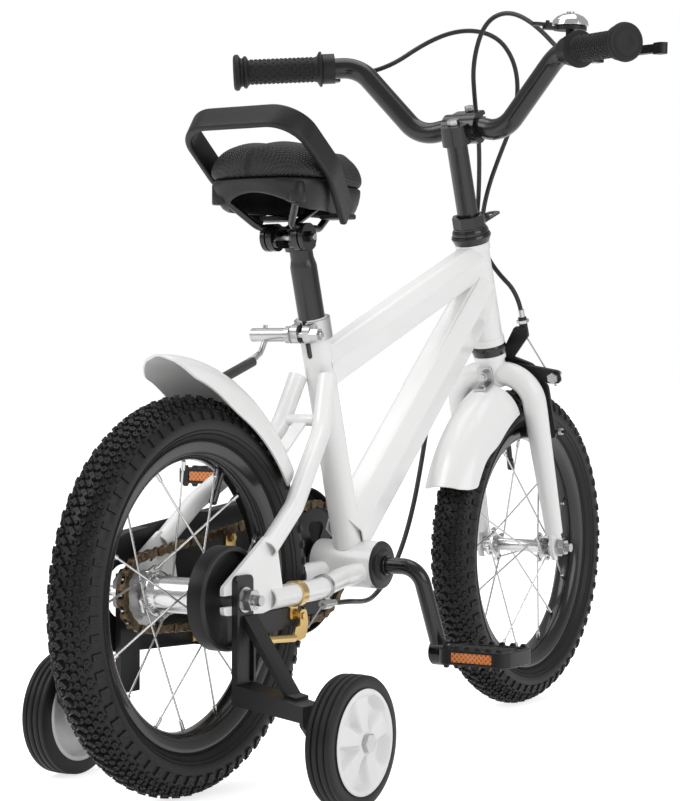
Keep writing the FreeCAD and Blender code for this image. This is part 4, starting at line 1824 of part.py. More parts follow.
def build_all():
    parts = {}
    parts["head_tube"] = group(head_tube(), *headset_cups().Solids)
    parts["top_tube"] = top_tube()
    parts["down_tube"] = down_tube()
    parts["seat_tube"] = seat_tube()
    parts["bottom_bracket_shell"] = group(bottom_bracket_shell(), *bottom_bracket_cups().Solids)
    parts["left_chain_stay"] = chain_stay(1)
    parts["right_chain_stay"] = chain_stay(-1)
    parts["left_seat_stay"] = seat_stay(1)
    parts["right_seat_stay"] = seat_stay(-1)
    parts["stay_bridge"] = stay_bridge()
    parts["seat_collar"] = group(seat_collar(), *seat_clamp_bolt().Solids)
    parts["quick_release_lever"] = quick_release_lever()
    parts["seat_post"] = seat_post()
    parts["saddle_clamp"] = group(*(saddle_clamp().Solids + saddle_rails().Solids))
    parts["saddle_base"] = saddle_base()
    parts["saddle_cushion"] = saddle_cushion()
    parts["saddle_handle"] = saddle_handle()
    parts["fork"] = group(fork(), *front_axle().Solids)
    parts["headset_locknut"] = group(*(headset_locknut().Solids + [reflector_bracket()]))
    parts["stem"] = group(stem(), *stem_bolts().Solids)
    parts["handlebar"] = handlebar()
    for side, name in ((1, "left"), (-1, "right")):
        parts[name + "_grip"] = grip(side)
        parts[name + "_lever_bracket"] = lever_bracket(side)
        parts[name + "_brake_lever"] = brake_lever(side)
        parts[name + "_pedal"] = group(pedal(side), *pedal_reflectors(side).Solids)
        parts[name + "_caliper_arm"] = caliper_arm(side)
        parts[name + "_training_bracket"] = training_bracket(side)
        parts[name + "_training_disc"] = training_disc(side)
        parts[name + "_training_tyre"] = training_tyre(side)
    parts["bell"] = bell()
    parts["bell_striker"] = bell_striker()
    parts["rear_fender"] = rear_fender()
    parts["front_fender"] = front_fender()
    parts["caliper_bolt"] = caliper_bolt()
    parts["front_tyre"] = tyre(FRONT_AXLE)
    parts["front_rim"] = rim(FRONT_AXLE)
    parts["front_hub"] = front_hub()
    parts["front_spokes"] = spokes(FRONT_AXLE, 16.6, FLANGE_FRONT, -FLANGE_FRONT, 2.4)
    parts["rear_tyre"] = tyre(REAR_AXLE)
    parts["rear_rim"] = rim(REAR_AXLE)
    parts["rear_hub"] = group(rear_hub(), brake_drum())
    parts["rear_spokes"] = spokes(REAR_AXLE, 22.6, FLANGE_REAR_LEFT, FLANGE_REAR_RIGHT, 2.6)
    parts["rear_axle"] = rear_axle()
    parts["band_brake_cover"] = band_brake_cover()
    parts["band_brake_lever"] = band_brake_lever()
    parts["front_brake_cable"] = front_brake_cable()
    parts["rear_brake_cable"] = rear_brake_cable()
    parts["crank"] = crank()
    parts["chainring"] = chainring()
    parts["freewheel_sprocket"] = freewheel_sprocket()
    parts["drive_chain"] = group(*chain())
    parts["chain_case"] = chain_case()
    return parts


os.makedirs("parts", exist_ok=True)
PARTS = build_all()
for name, shape in PARTS.items():
    shape.exportStep("parts/%s.step" % name)
    solids = shape.Solids
    box = shape.BoundBox
    print("%-22s %3d solids %9.1f cm3 valid %s  x %.0f..%.0f y %.0f..%.0f z %.0f..%.0f"
          % (name, len(solids), sum(s.Volume for s in solids) / 1000, shape.isValid(),
             box.XMin, box.XMax, box.YMin, box.YMax, box.ZMin, box.ZMax))
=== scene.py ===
# %% [markdown]
# # A kids bike with training wheels
# This notebook dresses a bike that was engineered in CAD. The CAD file gives every part its size
# and its place, and Blender gives it the look: gloss white paint, knobbly tyres, a dimpled
# saddle, a bronze chain. Nothing is moved; each new piece is built where its CAD part is.

# %% Load the frame
import json
import math

import bmesh
import bpy
from mathutils import Matrix, Vector

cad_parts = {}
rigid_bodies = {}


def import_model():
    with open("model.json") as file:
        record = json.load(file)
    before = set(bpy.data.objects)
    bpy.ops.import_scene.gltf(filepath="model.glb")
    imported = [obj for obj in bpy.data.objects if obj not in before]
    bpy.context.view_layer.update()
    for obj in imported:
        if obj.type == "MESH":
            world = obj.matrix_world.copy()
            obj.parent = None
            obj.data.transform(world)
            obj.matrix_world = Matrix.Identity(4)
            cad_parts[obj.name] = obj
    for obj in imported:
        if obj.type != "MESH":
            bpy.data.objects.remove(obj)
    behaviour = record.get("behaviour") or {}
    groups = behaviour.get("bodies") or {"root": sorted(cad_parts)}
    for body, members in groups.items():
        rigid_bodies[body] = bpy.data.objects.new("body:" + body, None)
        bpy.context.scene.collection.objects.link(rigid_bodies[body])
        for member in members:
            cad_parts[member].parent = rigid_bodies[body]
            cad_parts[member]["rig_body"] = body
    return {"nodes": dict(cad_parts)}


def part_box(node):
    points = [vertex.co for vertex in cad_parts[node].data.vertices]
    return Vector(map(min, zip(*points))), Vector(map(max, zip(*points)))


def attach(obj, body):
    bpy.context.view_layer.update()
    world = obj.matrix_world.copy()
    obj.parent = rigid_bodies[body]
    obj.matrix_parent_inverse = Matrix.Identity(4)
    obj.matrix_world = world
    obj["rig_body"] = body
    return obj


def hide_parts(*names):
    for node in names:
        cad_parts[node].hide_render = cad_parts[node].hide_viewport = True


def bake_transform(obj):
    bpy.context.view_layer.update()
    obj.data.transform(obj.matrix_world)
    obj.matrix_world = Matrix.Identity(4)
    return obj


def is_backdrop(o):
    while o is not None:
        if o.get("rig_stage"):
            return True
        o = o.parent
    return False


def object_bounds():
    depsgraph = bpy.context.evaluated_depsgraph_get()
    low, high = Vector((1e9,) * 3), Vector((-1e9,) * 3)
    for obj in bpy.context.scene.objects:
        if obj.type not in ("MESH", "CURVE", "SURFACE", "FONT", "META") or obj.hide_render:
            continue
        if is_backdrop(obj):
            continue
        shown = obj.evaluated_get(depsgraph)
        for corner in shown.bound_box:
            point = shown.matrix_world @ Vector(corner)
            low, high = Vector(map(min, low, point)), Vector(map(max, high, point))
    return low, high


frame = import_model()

nodes = frame["nodes"]
cad_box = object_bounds()

# %% [markdown]
# ## Places on the bike
# The bike faces +X, its left side is +Y and the floor is at zero. All lengths are in metres, so
# a small function turns the maker's millimetres into metres. The head tube leans back, and a
# helper gives a point at a distance along it and ahead of it.

# %% Lengths, axles and the leaning head tube
MM = 0.001


def mm(x, y, z):
    return Vector((x, y, z)) * MM


def unit(v):
    return v.normalized()


WHEEL = 175.0
HEAD_ANGLE = math.radians(71)
rear_axle = mm(-320, 0, WHEEL)
front_axle = mm(320, 0, WHEEL)
bracket = (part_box("bottom_bracket_shell")[0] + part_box("bottom_bracket_shell")[1]) / 2
bracket.y = 0.0
head_up = Vector((-math.cos(HEAD_ANGLE), 0, math.sin(HEAD_ANGLE)))
head_ahead = Vector((head_up.z, 0, -head_up.x))


def on_head(along, ahead=0.0, y=0.0):
    return front_axle + head_up * along * MM + head_ahead * ahead * MM + Vector((0, y * MM, 0))


print("bottom bracket at", tuple(round(c, 4) for c in bracket))

# %% [markdown]
# ## The camera
# The picture was taken from behind and to the right of the bike, at about the height of the
# saddle's underside, with a long lens. Its place was worked out from the wheels' axles and the
# tyres' rims. The long side of the picture fills the 36 mm sensor.

# %% Place the camera
AZIMUTH = math.radians(58.4)
DOWNWARD = math.radians(0.99)
ROLL = math.radians(0.17)
SENSOR = 36.0
FOCAL_PIXELS = 2224.5
PICTURE_HEIGHT = 801.0
camera_data = bpy.data.cameras.new("camera")
camera = bpy.data.objects.new("camera", camera_data)
bpy.context.scene.collection.objects.link(camera)
camera.location = (-1.897, -1.1282, 0.3787)
look = Vector((math.sin(AZIMUTH), math.cos(AZIMUTH), 0)) * math.cos(DOWNWARD)
look.z = -math.sin(DOWNWARD)
camera.rotation_mode = "QUATERNION"
turn = look.to_track_quat("-Z", "Y")
camera.rotation_quaternion = turn @ Matrix.Rotation(ROLL, 3, "Z").to_quaternion()
camera_data.sensor_width = SENSOR
camera_data.lens = FOCAL_PIXELS * SENSOR / PICTURE_HEIGHT
camera_data.clip_start = 0.05
bpy.context.scene.camera = camera
print("lens", round(camera_data.lens, 1), "mm")

# %% [markdown]
# ## Shader and geometry trees as sums
# A material or a geometry tree is a graph of small nodes. Writing each link by hand hides the
# idea, so one class wraps a socket and lets it be used in ordinary sums: adding two of them
# places a Math node. A second class owns the tree and places any other node in one call.

# %% A socket that can be summed
class Wire:
    def __init__(self, board, socket):
        self.board = board
        self.socket = socket

    def __add__(self, other):
        return self.board.sum("ADD", self, other)

    def __sub__(self, other):
        return self.board.sum("SUBTRACT", self, other)

    def __rsub__(self, other):
        return self.board.sum("SUBTRACT", other, self)

    def __mul__(self, other):
        return self.board.sum("MULTIPLY", self, other)

    def __truediv__(self, other):
        return self.board.sum("DIVIDE", self, other)

    def __mod__(self, other):
        return self.board.sum("FLOORED_MODULO", self, other)

    def __lt__(self, other):
        return self.board.sum("LESS_THAN", self, other)

    def __gt__(self, other):
        return self.board.sum("GREATER_THAN", self, other)

    __radd__ = __add__
    __rmul__ = __mul__


# %% A board of nodes
class Board:
    def __init__(self, tree):
        self.tree = tree

    def add(self, kind, settings=None, inputs=None, out=0):
        node = self.tree.nodes.new(kind)
        for name, value in (settings or {}).items():
            if name == "stops":
                ramp = node.color_ramp
                for k, (place, shade) in enumerate(value):
                    stop = ramp.elements[k] if k < 2 else ramp.elements.new(place)
                    stop.position = place
                    stop.color = shade if len(shade) == 4 else (*shade, 1)
            else:
                setattr(node, name, value)
        for name, value in (inputs or {}).items():
            socket = node.inputs[name]
            if isinstance(value, Wire):
                self.tree.links.new(value.socket, socket)
            elif socket.type == "RGBA" and hasattr(value, "__len__") and len(value) == 3:
                socket.default_value = (*value, 1)
            else:
                socket.default_value = value
        return Wire(self, node.outputs[out]) if node.outputs else node

    def sum(self, operation, a, b):
        return self.add("ShaderNodeMath", {"operation": operation}, {0: a, 1: b})

    def math(self, operation, *values):
        return self.add("ShaderNodeMath", {"operation": operation}, dict(enumerate(values)))

    def vector(self, operation, *values, out=0):
        return self.add("ShaderNodeVectorMath", {"operation": operation}, dict(enumerate(values)), out)


# %% [markdown]
# ## A finish
# Every material here is one principled surface. What changes over the surface, such as colour,
# roughness and bump, comes from the tree, and numbers that are the same everywhere are set on
# the shader itself. Patterns read Object coordinates, which stay put because every piece keeps
# its origin at the world's.

# %% One class for every finish
class Finish(Board):
    def __init__(self, name):
        self.material = bpy.data.materials.new(name)
        self.material.use_nodes = True
        super().__init__(self.material.node_tree)
        self.tree.nodes.clear()
        self.output = self.tree.nodes.new("ShaderNodeOutputMaterial")
        self.place = self.add("ShaderNodeTexCoord", out="Object")

    def noise(self, scale, detail=3.0, rough=0.55, stretch=None, shift=(0, 0, 0)):
        place = self.place
        if stretch or any(shift):
            place = self.add("ShaderNodeMapping", {},
                             {"Vector": place, "Scale": stretch or (1, 1, 1), "Location": shift})
        return self.add("ShaderNodeTexNoise", {},
                        {"Vector": place, "Scale": scale, "Detail": detail, "Roughness": rough})

    def ramp(self, value, *stops):
        return self.add("ShaderNodeValToRGB", {"stops": stops}, {"Fac": value})

    def mix(self, share, a, b):
        node = self.tree.nodes.new("ShaderNodeMix")
        node.data_type = "RGBA"
        for socket, value in ((node.inputs[0], share), (node.inputs[6], a), (node.inputs[7], b)):
            if isinstance(value, Wire):
                self.tree.links.new(value.socket, socket)
            else:
                socket.default_value = (*value, 1) if hasattr(value, "__len__") else value
        return Wire(self, node.outputs[2])

    def bump(self, height, strength, distance=0.001, under=None):
        inputs = {"Height": height, "Strength": strength, "Distance": distance}
        if under:
            inputs["Normal"] = under
        return self.add("ShaderNodeBump", {}, inputs)

    def surface(self, **values):
        inputs = {name.replace("_", " "): value for name, value in values.items()}
        shader = self.add("ShaderNodeBsdfPrincipled", {}, inputs)
        self.tree.links.new(shader.socket, self.output.inputs["Surface"])
        return self.material


# %% [markdown]
# ## Gloss white paint
# The frame, fork and mudguards are sprayed in one gloss white. Real sprayed gloss is
# never quite flat: it has a fine orange-peel ripple, a little dust that dulls it in places, and a
# clear lacquer over it. A low bump makes the ripple and a noise changes the roughness.

# %% Mix the white paint
def white_paint():
    f = Finish("gloss_white_paint")
    cloud = f.noise(9.0, 4)
    dust = f.noise(140.0, 5, 0.7)
    peel = f.noise(420.0, 2)
    colour = f.mix(cloud * 0.5, (0.86, 0.86, 0.855), (0.91, 0.91, 0.905))
    rough = 0.24 + cloud * 0.1 + (dust > 0.62) * 0.08
    return f.surface(Base_Color=colour, Roughness=rough, Coat_Weight=0.45, Coat_Roughness=0.09,
                     Specular_IOR_Level=0.45, Normal=f.bump(peel, 0.06, 0.0004))


# %% [markdown]
# ## Black finishes
# The bike has five blacks, and they only tell apart by how they shine: gloss paint on the bar,
# seat post and rims, a duller paint on the brackets, moulded plastic with a fine grain on the
# saddle and chain case, rubber on grips and tyres, and the slick jacket of the cables.

# %% Mix the blacks
def black_paint():
    f = Finish("gloss_black_paint")
    cloud = f.noise(14.0, 4)
    peel = f.noise(380.0, 2)
    scuff = f.noise(60.0, 6, 0.75, stretch=(1, 4, 1))
    colour = f.mix((scuff > 0.66) * 0.35, (0.006, 0.006, 0.0065), (0.020, 0.020, 0.021))
    return f.surface(Base_Color=colour, Roughness=0.20 + cloud * 0.10, Coat_Weight=0.4, Coat_Roughness=0.06,
                     Specular_IOR_Level=0.42, Normal=f.bump(peel, 0.06, 0.0004))


def satin_black():
    f = Finish("satin_black_paint")
    cloud = f.noise(22.0, 4)
    grain = f.noise(900.0, 3)
    colour = f.mix(cloud * 0.7, (0.006, 0.006, 0.0065), (0.013, 0.013, 0.0135))
    return f.surface(Base_Color=colour, Roughness=0.36 + cloud * 0.14, Coat_Weight=0.1, Coat_Roughness=0.25,
                     Specular_IOR_Level=0.4, Normal=f.bump(grain, 0.12, 0.0003))


def grained_plastic(name="grained_black_plastic", shade=0.009, grain_size=1400.0, rough=0.34):
    f = Finish(name)
    grain = f.add("ShaderNodeTexVoronoi", {"feature": "F1"}, {"Vector": f.place, "Scale": grain_size * 0.55})
    fine = f.noise(grain_size, 3)
    wear = f.noise(30.0, 5, 0.7)
    colour = f.mix(wear * 0.6, (shade * 0.7,) * 3, (shade * 1.6,) * 3)
    return f.surface(Base_Color=colour, Roughness=rough + wear * 0.16, Specular_IOR_Level=0.38,
                     Normal=f.bump(grain + fine * 0.6, 0.22, 0.0004))


def soft_rubber(name, shade, rough, scale=700.0):
    f = Finish(name)
    grain = f.noise(scale, 4, 0.65)
    bloom = f.noise(18.0, 5, 0.6)
    colour = f.mix(bloom, (shade * 0.65,) * 3, (shade * 1.5, shade * 1.5, shade * 1.45))
    return f.surface(Base_Color=colour, Roughness=rough + bloom * 0.12, Specular_IOR_Level=0.32,
                     Normal=f.bump(grain, 0.25, 0.0004))


def cable_jacket():
    f = Finish("cable_jacket")
    cloud = f.noise(60.0, 3)
    colour = f.mix(cloud, (0.006, 0.006, 0.007), (0.016, 0.016, 0.017))
    return f.surface(Base_Color=colour, Roughness=0.24 + cloud * 0.14, Specular_IOR_Level=0.45,
                     Normal=f.bump(f.noise(500.0, 2), 0.05, 0.0003))


# %% [markdown]
# ## Bright metal
# Hubs, nuts, spokes and the bell are nickel or chrome over steel. Turned parts carry fine rings
# from the lathe, which a noise stretched across the axle imitates. The chain is oiled bronze
# with dark joints, and the brake's small lever is yellow zinc.

# %% Mix the metals
def bright_metal(name, shade, rough, ring=0.0, tint=(1, 1, 1), tarnish=0.5, stretch=(1, 30, 1)):
    f = Finish(name)
    cloud = f.noise(45.0, 4)
    lathe = f.noise(50.0, 3, 0.6, stretch=stretch)
    pit = f.noise(520.0, 4, 0.7)
    low = tuple(shade * (1 - tarnish * 0.5) * t for t in tint)
    high = tuple(min(1.0, shade * t) for t in tint)
    colour = f.mix(cloud * 0.8 + (pit > 0.6) * 0.2, high, low)
    return f.surface(Base_Color=colour, Roughness=rough + lathe * 0.14 + (pit > 0.64) * 0.08, Metallic=1.0,
                     Normal=f.bump(lathe * ring + pit * 0.3, 0.12, 0.0003))


def oiled_chain():
    f = Finish("oiled_bronze_chain")
    patch = f.noise(150.0, 5, 0.7)
    fine = f.noise(900.0, 3)
    colour = f.ramp(patch, (0.3, (0.035, 0.024, 0.014)), (0.52, (0.15, 0.105, 0.06)),
                    (0.75, (0.34, 0.26, 0.16)))
    return f.surface(Base_Color=colour, Roughness=0.30 + patch * 0.25, Metallic=0.85,
                     Normal=f.bump(patch + fine * 0.4, 0.3, 0.0004))


# %% [markdown]
# ## White plastic and the pedals' reflectors
# The training wheels' discs are moulded in white plastic, softer in its gloss than the paint.
# The pedals carry amber reflectors whose face is a grid of small prisms. Two crossed sets of
# ridges, at 45 degrees to each other, are enough to suggest the prisms.

# %% Mix the plastics
def white_plastic():
    f = Finish("white_plastic")
    cloud = f.noise(16.0, 4)
    colour = f.mix(cloud, (0.77, 0.77, 0.77), (0.84, 0.84, 0.84))
    return f.surface(Base_Color=colour, Roughness=0.34 + cloud * 0.14, Specular_IOR_Level=0.4,
                     Normal=f.bump(f.noise(700.0, 2), 0.07, 0.0004))


def amber_prisms():
    f = Finish("amber_reflector")
    parts = f.add("ShaderNodeSeparateXYZ", {}, {"Vector": f.place}, 0)
    y = Wire(f, parts.socket.node.outputs[1])
    z = Wire(f, parts.socket.node.outputs[2])
    first = f.math("PINGPONG", (y + z) * 420.0, 1.0)
    second = f.math("PINGPONG", (y - z) * 420.0, 1.0)
    grid = f.math("MINIMUM", first, second)
    colour = f.ramp(grid, (0.0, (0.95, 0.34, 0.07)), (0.35, (0.62, 0.16, 0.025)), (1.0, (0.32, 0.06, 0.012)))
    return f.surface(Base_Color=colour, Roughness=0.16 + grid * 0.1, Coat_Weight=0.5, Coat_Roughness=0.06,
                     Specular_IOR_Level=0.6, Normal=f.bump(grid, 0.6, 0.0008))


# %% [markdown]
# ## The saddle's dimpled vinyl
# The cushion is covered with black vinyl pressed in a pattern of round dots in slanted rows. The
# cushion has its own UV map in metres, so the rows keep their size as they run over the edge.
# The dots are the raised part, and their colour is painted lighter as a painted highlight; the skin between
# them is duller.

# %% Mix the saddle's vinyl
def dimpled_vinyl():
    f = Finish("dimpled_vinyl")
    uv = f.add("ShaderNodeTexCoord", out="UV")
    u = Wire(f, f.add("ShaderNodeSeparateXYZ", {}, {"Vector": uv}).socket)
    v = Wire(f, u.socket.node.outputs[1])
    row = v * (1 / 0.0030)
    shift = f.math("FLOOR", row) * 0.5
    across = f.math("PINGPONG", u * (1 / 0.0034) + shift, 0.5) * 2 - 1
    down = f.math("PINGPONG", row, 0.5) * 2 - 1
    away = f.math("SQRT", across * across + down * down)
    dot = f.math("SMOOTH_MAX", 1 - away * 0.95, 0.0, 0.25)
    skin = f.noise(900.0, 3)
    cloud = f.noise(20.0, 4)
    # painted highlight: the raised dots are coloured lighter than the vinyl skin between them
    colour = f.mix(dot, (0.010, 0.010, 0.011), (0.030, 0.030, 0.032))
    return f.surface(Base_Color=colour, Roughness=0.52 - dot * 0.1 + cloud * 0.1, Specular_IOR_Level=0.4,
                     Normal=f.bump(dot + skin * 0.12, 0.75, 0.0009))


# %% Keep one of each finish
paint_white = white_paint()
paint_black = black_paint()
satin = satin_black()
plastic = grained_plastic()
tread_rubber = soft_rubber("tyre_rubber", 0.010, 0.40, 600.0)
grip_rubber = soft_rubber("grip_rubber", 0.009, 0.46, 900.0)
jacket = cable_jacket()
nickel = bright_metal("bright_nickel", 0.72, 0.16, 1.0)
chrome = bright_metal("bell_chrome", 0.82, 0.05, 0.0, tarnish=0.2)
zinc = bright_metal("bright_zinc", 0.62, 0.24, 0.4, stretch=(1, 1, 1))
gold = bright_metal("yellow_zinc", 0.80, 0.22, 0.3, tint=(1.0, 0.72, 0.30), stretch=(1, 1, 1))
bronze = oiled_chain()
sleeve_grey = soft_rubber("grey_rubber_sleeve", 0.05, 0.45, 900.0)
disc_white = white_plastic()
amber = amber_prisms()
vinyl = dimpled_vinyl()
print(len(bpy.data.materials), "finishes mixed")
# %% [markdown]
# ## From points to a finished piece
# Most parts of a bike are turned, swept or pressed, so a few builders cover them: a ring of
# points carried along a path, and a profile turned about an axle. Each ends as one plain mesh
# whose faces point outwards, shaded smooth except across sharp corners.

# %% Finish a mesh as a piece
def wear(obj, body, finish, stands_for=(), slot=None):
    obj.data.materials.clear()
    obj.data.materials.append(finish)
    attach(obj, body)
    if stands_for:
        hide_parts(*stands_for)
    return obj


def piece(name, mesh_parts, body, finish, stands_for=(), slot=None, sharp=32.0, uv=None):
    """Joins lists of (points, faces) into one mesh object that rides on a body."""
    mesh = bpy.data.meshes.new(name)
    shape = bmesh.new()
    layer = shape.loops.layers.uv.new("UVMap") if uv else None
    for points, faces in mesh_parts:
        verts = [shape.verts.new(p) for p in points]
        for face in faces:
            made = shape.faces.new([verts[k] for k in face])
            if layer:
                for loop, k in zip(made.loops, face):
                    loop[layer].uv = uv(verts[k].co, k)
    bmesh.ops.recalc_face_normals(shape, faces=shape.faces)
    shape.to_mesh(mesh)
    shape.free()
    mesh.shade_smooth()
    mesh.set_sharp_from_angle(angle=math.radians(sharp))
    obj = bpy.data.objects.new(name, mesh)
    bpy.context.scene.collection.objects.link(obj)
    return wear(obj, body, finish, stands_for, slot)


# %% Turn a profile, or carry a section along a path
def square_axes(axis):
    axis = unit(Vector(axis))
    helper = Vector((0, 0, 1)) if abs(axis.z) < 0.9 else Vector((1, 0, 0))
    a = unit(helper - axis * helper.dot(axis))
    return axis, a, axis.cross(a)


def skin(rings, closed_ring=True, closed_path=False, caps=True):
    """Faces between neighbouring rings of points, with a fan at each open end."""
    n = len(rings[0])
    points = [p for ring in rings for p in ring]
    faces = []
    count = len(rings)
    for i in range(count if closed_path else count - 1):
        a = i * n
        b = ((i + 1) % count) * n
        for k in range(n if closed_ring else n - 1):
            m = (k + 1) % n
            faces.append((a + k, a + m, b + m, b + k))
    if caps and not closed_path:
        faces.append(tuple(range(n)))
        faces.append(tuple(reversed(range((count - 1) * n, count * n))))
    return points, faces


def turned(profile, centre, axis=(0, 1, 0), steps=96):
    """A closed (radius, along) profile in mm, turned about an axis. A radius of zero closes on it."""
    axis, a, b = square_axes(axis)
    rings = []
    for k in range(steps):
        t = 2 * math.pi * k / steps
        out = a * math.cos(t) + b * math.sin(t)
        rings.append([centre + (out * r + axis * y) * MM for r, y in profile])
    return skin(rings, closed_path=True)


def merged(part, gap=1e-6):
    shape = bmesh.new()
    points, faces = part
    verts = [shape.verts.new(p) for p in points]
    for face in faces:
        shape.faces.new([verts[k] for k in face])
    bmesh.ops.remove_doubles(shape, verts=shape.verts, dist=gap)
    bmesh.ops.dissolve_degenerate(shape, edges=shape.edges, dist=gap)
    shape.verts.index_update()
    out = [v.co.copy() for v in shape.verts], [tuple(v.index for v in f.verts) for f in shape.faces]
    shape.free()
    return out


def rounded_path(points, bends, step=6.0):
    """A route in metres with an arc of the given radius in mm at each inner corner."""
    out = [points[0]]
    for k in range(1, len(points) - 1):
        p = points[k]
        ua = unit(points[k - 1] - p)
        ub = unit(points[k + 1] - p)
        half = math.acos(max(-1.0, min(1.0, ua.dot(ub)))) / 2
        radius = bends[k] * MM
        if radius <= 0 or half > math.radians(89.5):
            out.append(p)
            continue
        run = radius / math.tan(half)
        middle = p + unit(ua + ub) * (radius / math.sin(half))
        start = p + ua * run - middle
        end = p + ub * run - middle
        turn = start.angle(end)
        count = max(2, math.ceil(math.degrees(turn) / step))
        for j in range(count + 1):
            share = j / count
            slid = start * math.sin((1 - share) * turn) + end * math.sin(share * turn)
            out.append(middle + slid / math.sin(turn))
    out.append(points[-1])
    return out


def swept(path, section, up=None, caps=True, closed=False):
    """A section carried along a path; section(share) gives (across, up) points in mm."""
    count = len(path)
    total = sum((b - a).length for a, b in zip(path, path[1:]))
    rings = []
    gone = 0.0
    side = None
    for k, p in enumerate(path):
        before = path[k - 1] if k or closed else p
        after = path[(k + 1) % count] if k < count - 1 or closed else p
        along = unit(after - before)
        if k:
            gone += (p - path[k - 1]).length
        if up is not None:
            side = unit(along.cross(Vector(up)))
        elif side is None:
            side = square_axes(along)[1]
        else:
            side = unit(side - along * side.dot(along))
        lift = side.cross(along)
        stretch = 1.0
        if 0 < k < count - 1:
            stretch = 1 / max(0.5, math.cos(unit(p - before).angle(unit(after - p)) / 2))
        wider = stretch if stretch < 1.05 else 1.0
        rings.append([p + (side * a + lift * b) * MM * wider for a, b in section(gone / total)])
    return skin(rings, closed_path=closed, caps=caps)


def round_section(radius, sides=20):
    def section(share):
        r = radius(share) if callable(radius) else radius
        return [(r * math.cos(2 * math.pi * k / sides),
                 r * math.sin(2 * math.pi * k / sides)) for k in range(sides)]
    return section


def rod(start, end, radius, sides=16, chamfer=0.4):
    """A round bar with a small chamfer at each end."""
    axis, a, b = square_axes(end - start)
    length = (end - start).length / MM
    chamfer = min(chamfer, radius * 0.4, length * 0.3)
    rings = []
    for y, r in ((0, radius - chamfer), (chamfer, radius), (length - chamfer, radius),
                 (length, radius - chamfer)):
        turns = [2 * math.pi * k / sides for k in range(sides)]
        rings.append([start + (axis * y + (a * math.cos(t) + b * math.sin(t)) * r) * MM for t in turns])
    return skin(rings)


def nut(start, axis, across, height, sides=6):
    """A hex nut whose corners are turned down at both faces."""
    axis, a, b = square_axes(axis)
    big = across / math.sqrt(3)
    rings = []
    around = sides * 4
    for y, cut in ((0, 0.93), (height * 0.12, 1.0), (height * 0.88, 1.0), (height, 0.93)):
        ring = []
        for k in range(around):
            t = 2 * math.pi * k / around
            flat = big * math.cos(math.pi / sides) / math.cos((t % (2 * math.pi / sides)) - math.pi / sides)
            r = min(flat, across / 2 * (1.0 if cut < 1 else 2.0))
            ring.append(start + (axis * y + (a * math.cos(t) + b * math.sin(t)) * r) * MM)
        rings.append(ring)
    return skin(rings)


# %% [markdown]
# ## Parts that keep their CAD shape
# Pressed and machined parts, such as nuts, brackets, the sprockets and the levers, already have
# the right shape. Their CAD mesh is loose triangles, so a copy is merged, its flat areas are
# cleaned, and a narrow bevel rounds its edges, because no real edge is razor sharp.

# %% Dress a copy of a CAD part
def dressed(node, finish, slot=None, bevel=0.0, sharp=34.0, name=None, keep=None):
    source = nodes[node]
    shape = bmesh.new()
    shape.from_mesh(source.data)
    bmesh.ops.remove_doubles(shape, verts=shape.verts, dist=2e-5)
    bmesh.ops.dissolve_limit(shape, angle_limit=math.radians(1.0), verts=shape.verts, edges=shape.edges)
    if keep:
        unwanted = [f for f in shape.faces if not keep(f.calc_center_median())]
        bmesh.ops.delete(shape, geom=unwanted, context="FACES")
    mesh = bpy.data.meshes.new(name or node + "_dressed")
    shape.to_mesh(mesh)
    shape.free()
    mesh.shade_smooth()
    mesh.set_sharp_from_angle(angle=math.radians(sharp))
    obj = bpy.data.objects.new(mesh.name, mesh)
    bpy.context.scene.collection.objects.link(obj)
    if bevel:
        rounding = obj.modifiers.new("edges", "BEVEL")
        rounding.width = bevel * MM
        rounding.segments = 2
        rounding.limit_method = "ANGLE"
        rounding.angle_limit = math.radians(40)
        rounding.use_clamp_overlap = True
        rounding.harden_normals = True
    body = source["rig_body"]
    return wear(obj, body, finish, [node], slot)


# %% [markdown]
# ## Turning a geometry tree into a piece
# What repeats, such as tread studs, spokes and chain links, is placed by Geometry Nodes. Each
# tree is built here with named inputs, ends in Realize Instances and Set Material, and its
# result is read back as a plain mesh, so that nothing in the file depends on a live modifier.

# %% Build, feed and bake a geometry tree
def recipe(name, inputs):
    """A new geometry tree with named inputs; returns its board and the input wires."""
    tree = bpy.data.node_groups.new(name, "GeometryNodeTree")
    board = Board(tree)
    for label, kind, value in inputs:
        socket = tree.interface.new_socket(label, in_out="INPUT", socket_type=kind)
        if value is not None:
            socket.default_value = value
    tree.interface.new_socket("Geometry", in_out="OUTPUT", socket_type="NodeSocketGeometry")
    source = tree.nodes.new("NodeGroupInput")
    wires = {label: Wire(board, source.outputs[label]) for label, kind, value in inputs}
    board.sink = tree.nodes.new("NodeGroupOutput")
    return board, wires


def serve(board, geometry, finish):
    real = board.add("GeometryNodeRealizeInstances", {}, {"Geometry": geometry})
    painted = board.add("GeometryNodeSetMaterial", {}, {"Geometry": real, "Material": finish})
    board.tree.links.new(painted.socket, board.sink.inputs[0])


def mould(name, points, faces):
    """A small hidden mesh that a tree copies."""
    mesh = bpy.data.meshes.new(name)
    mesh.from_pydata([Vector(p) * MM for p in points], [], faces)
    obj = bpy.data.objects.new(name, mesh)
    bpy.context.scene.collection.objects.link(obj)
    obj.hide_render = True
    obj.hide_viewport = True
    return obj


moulds = []

# %% [markdown]
# ## Knobbly tyres
# The tyre is a fat black balloon with a smooth side wall and a crown full of rubber studs: long
# blocks in the middle, three slanting rows of small hexagonal studs with dimpled tops, and tall
# shoulder blocks at the edge. The balloon is a turned profile. One geometry tree sets every
# row of studs on the crown's curve and turns each one to stand square on the rubber.

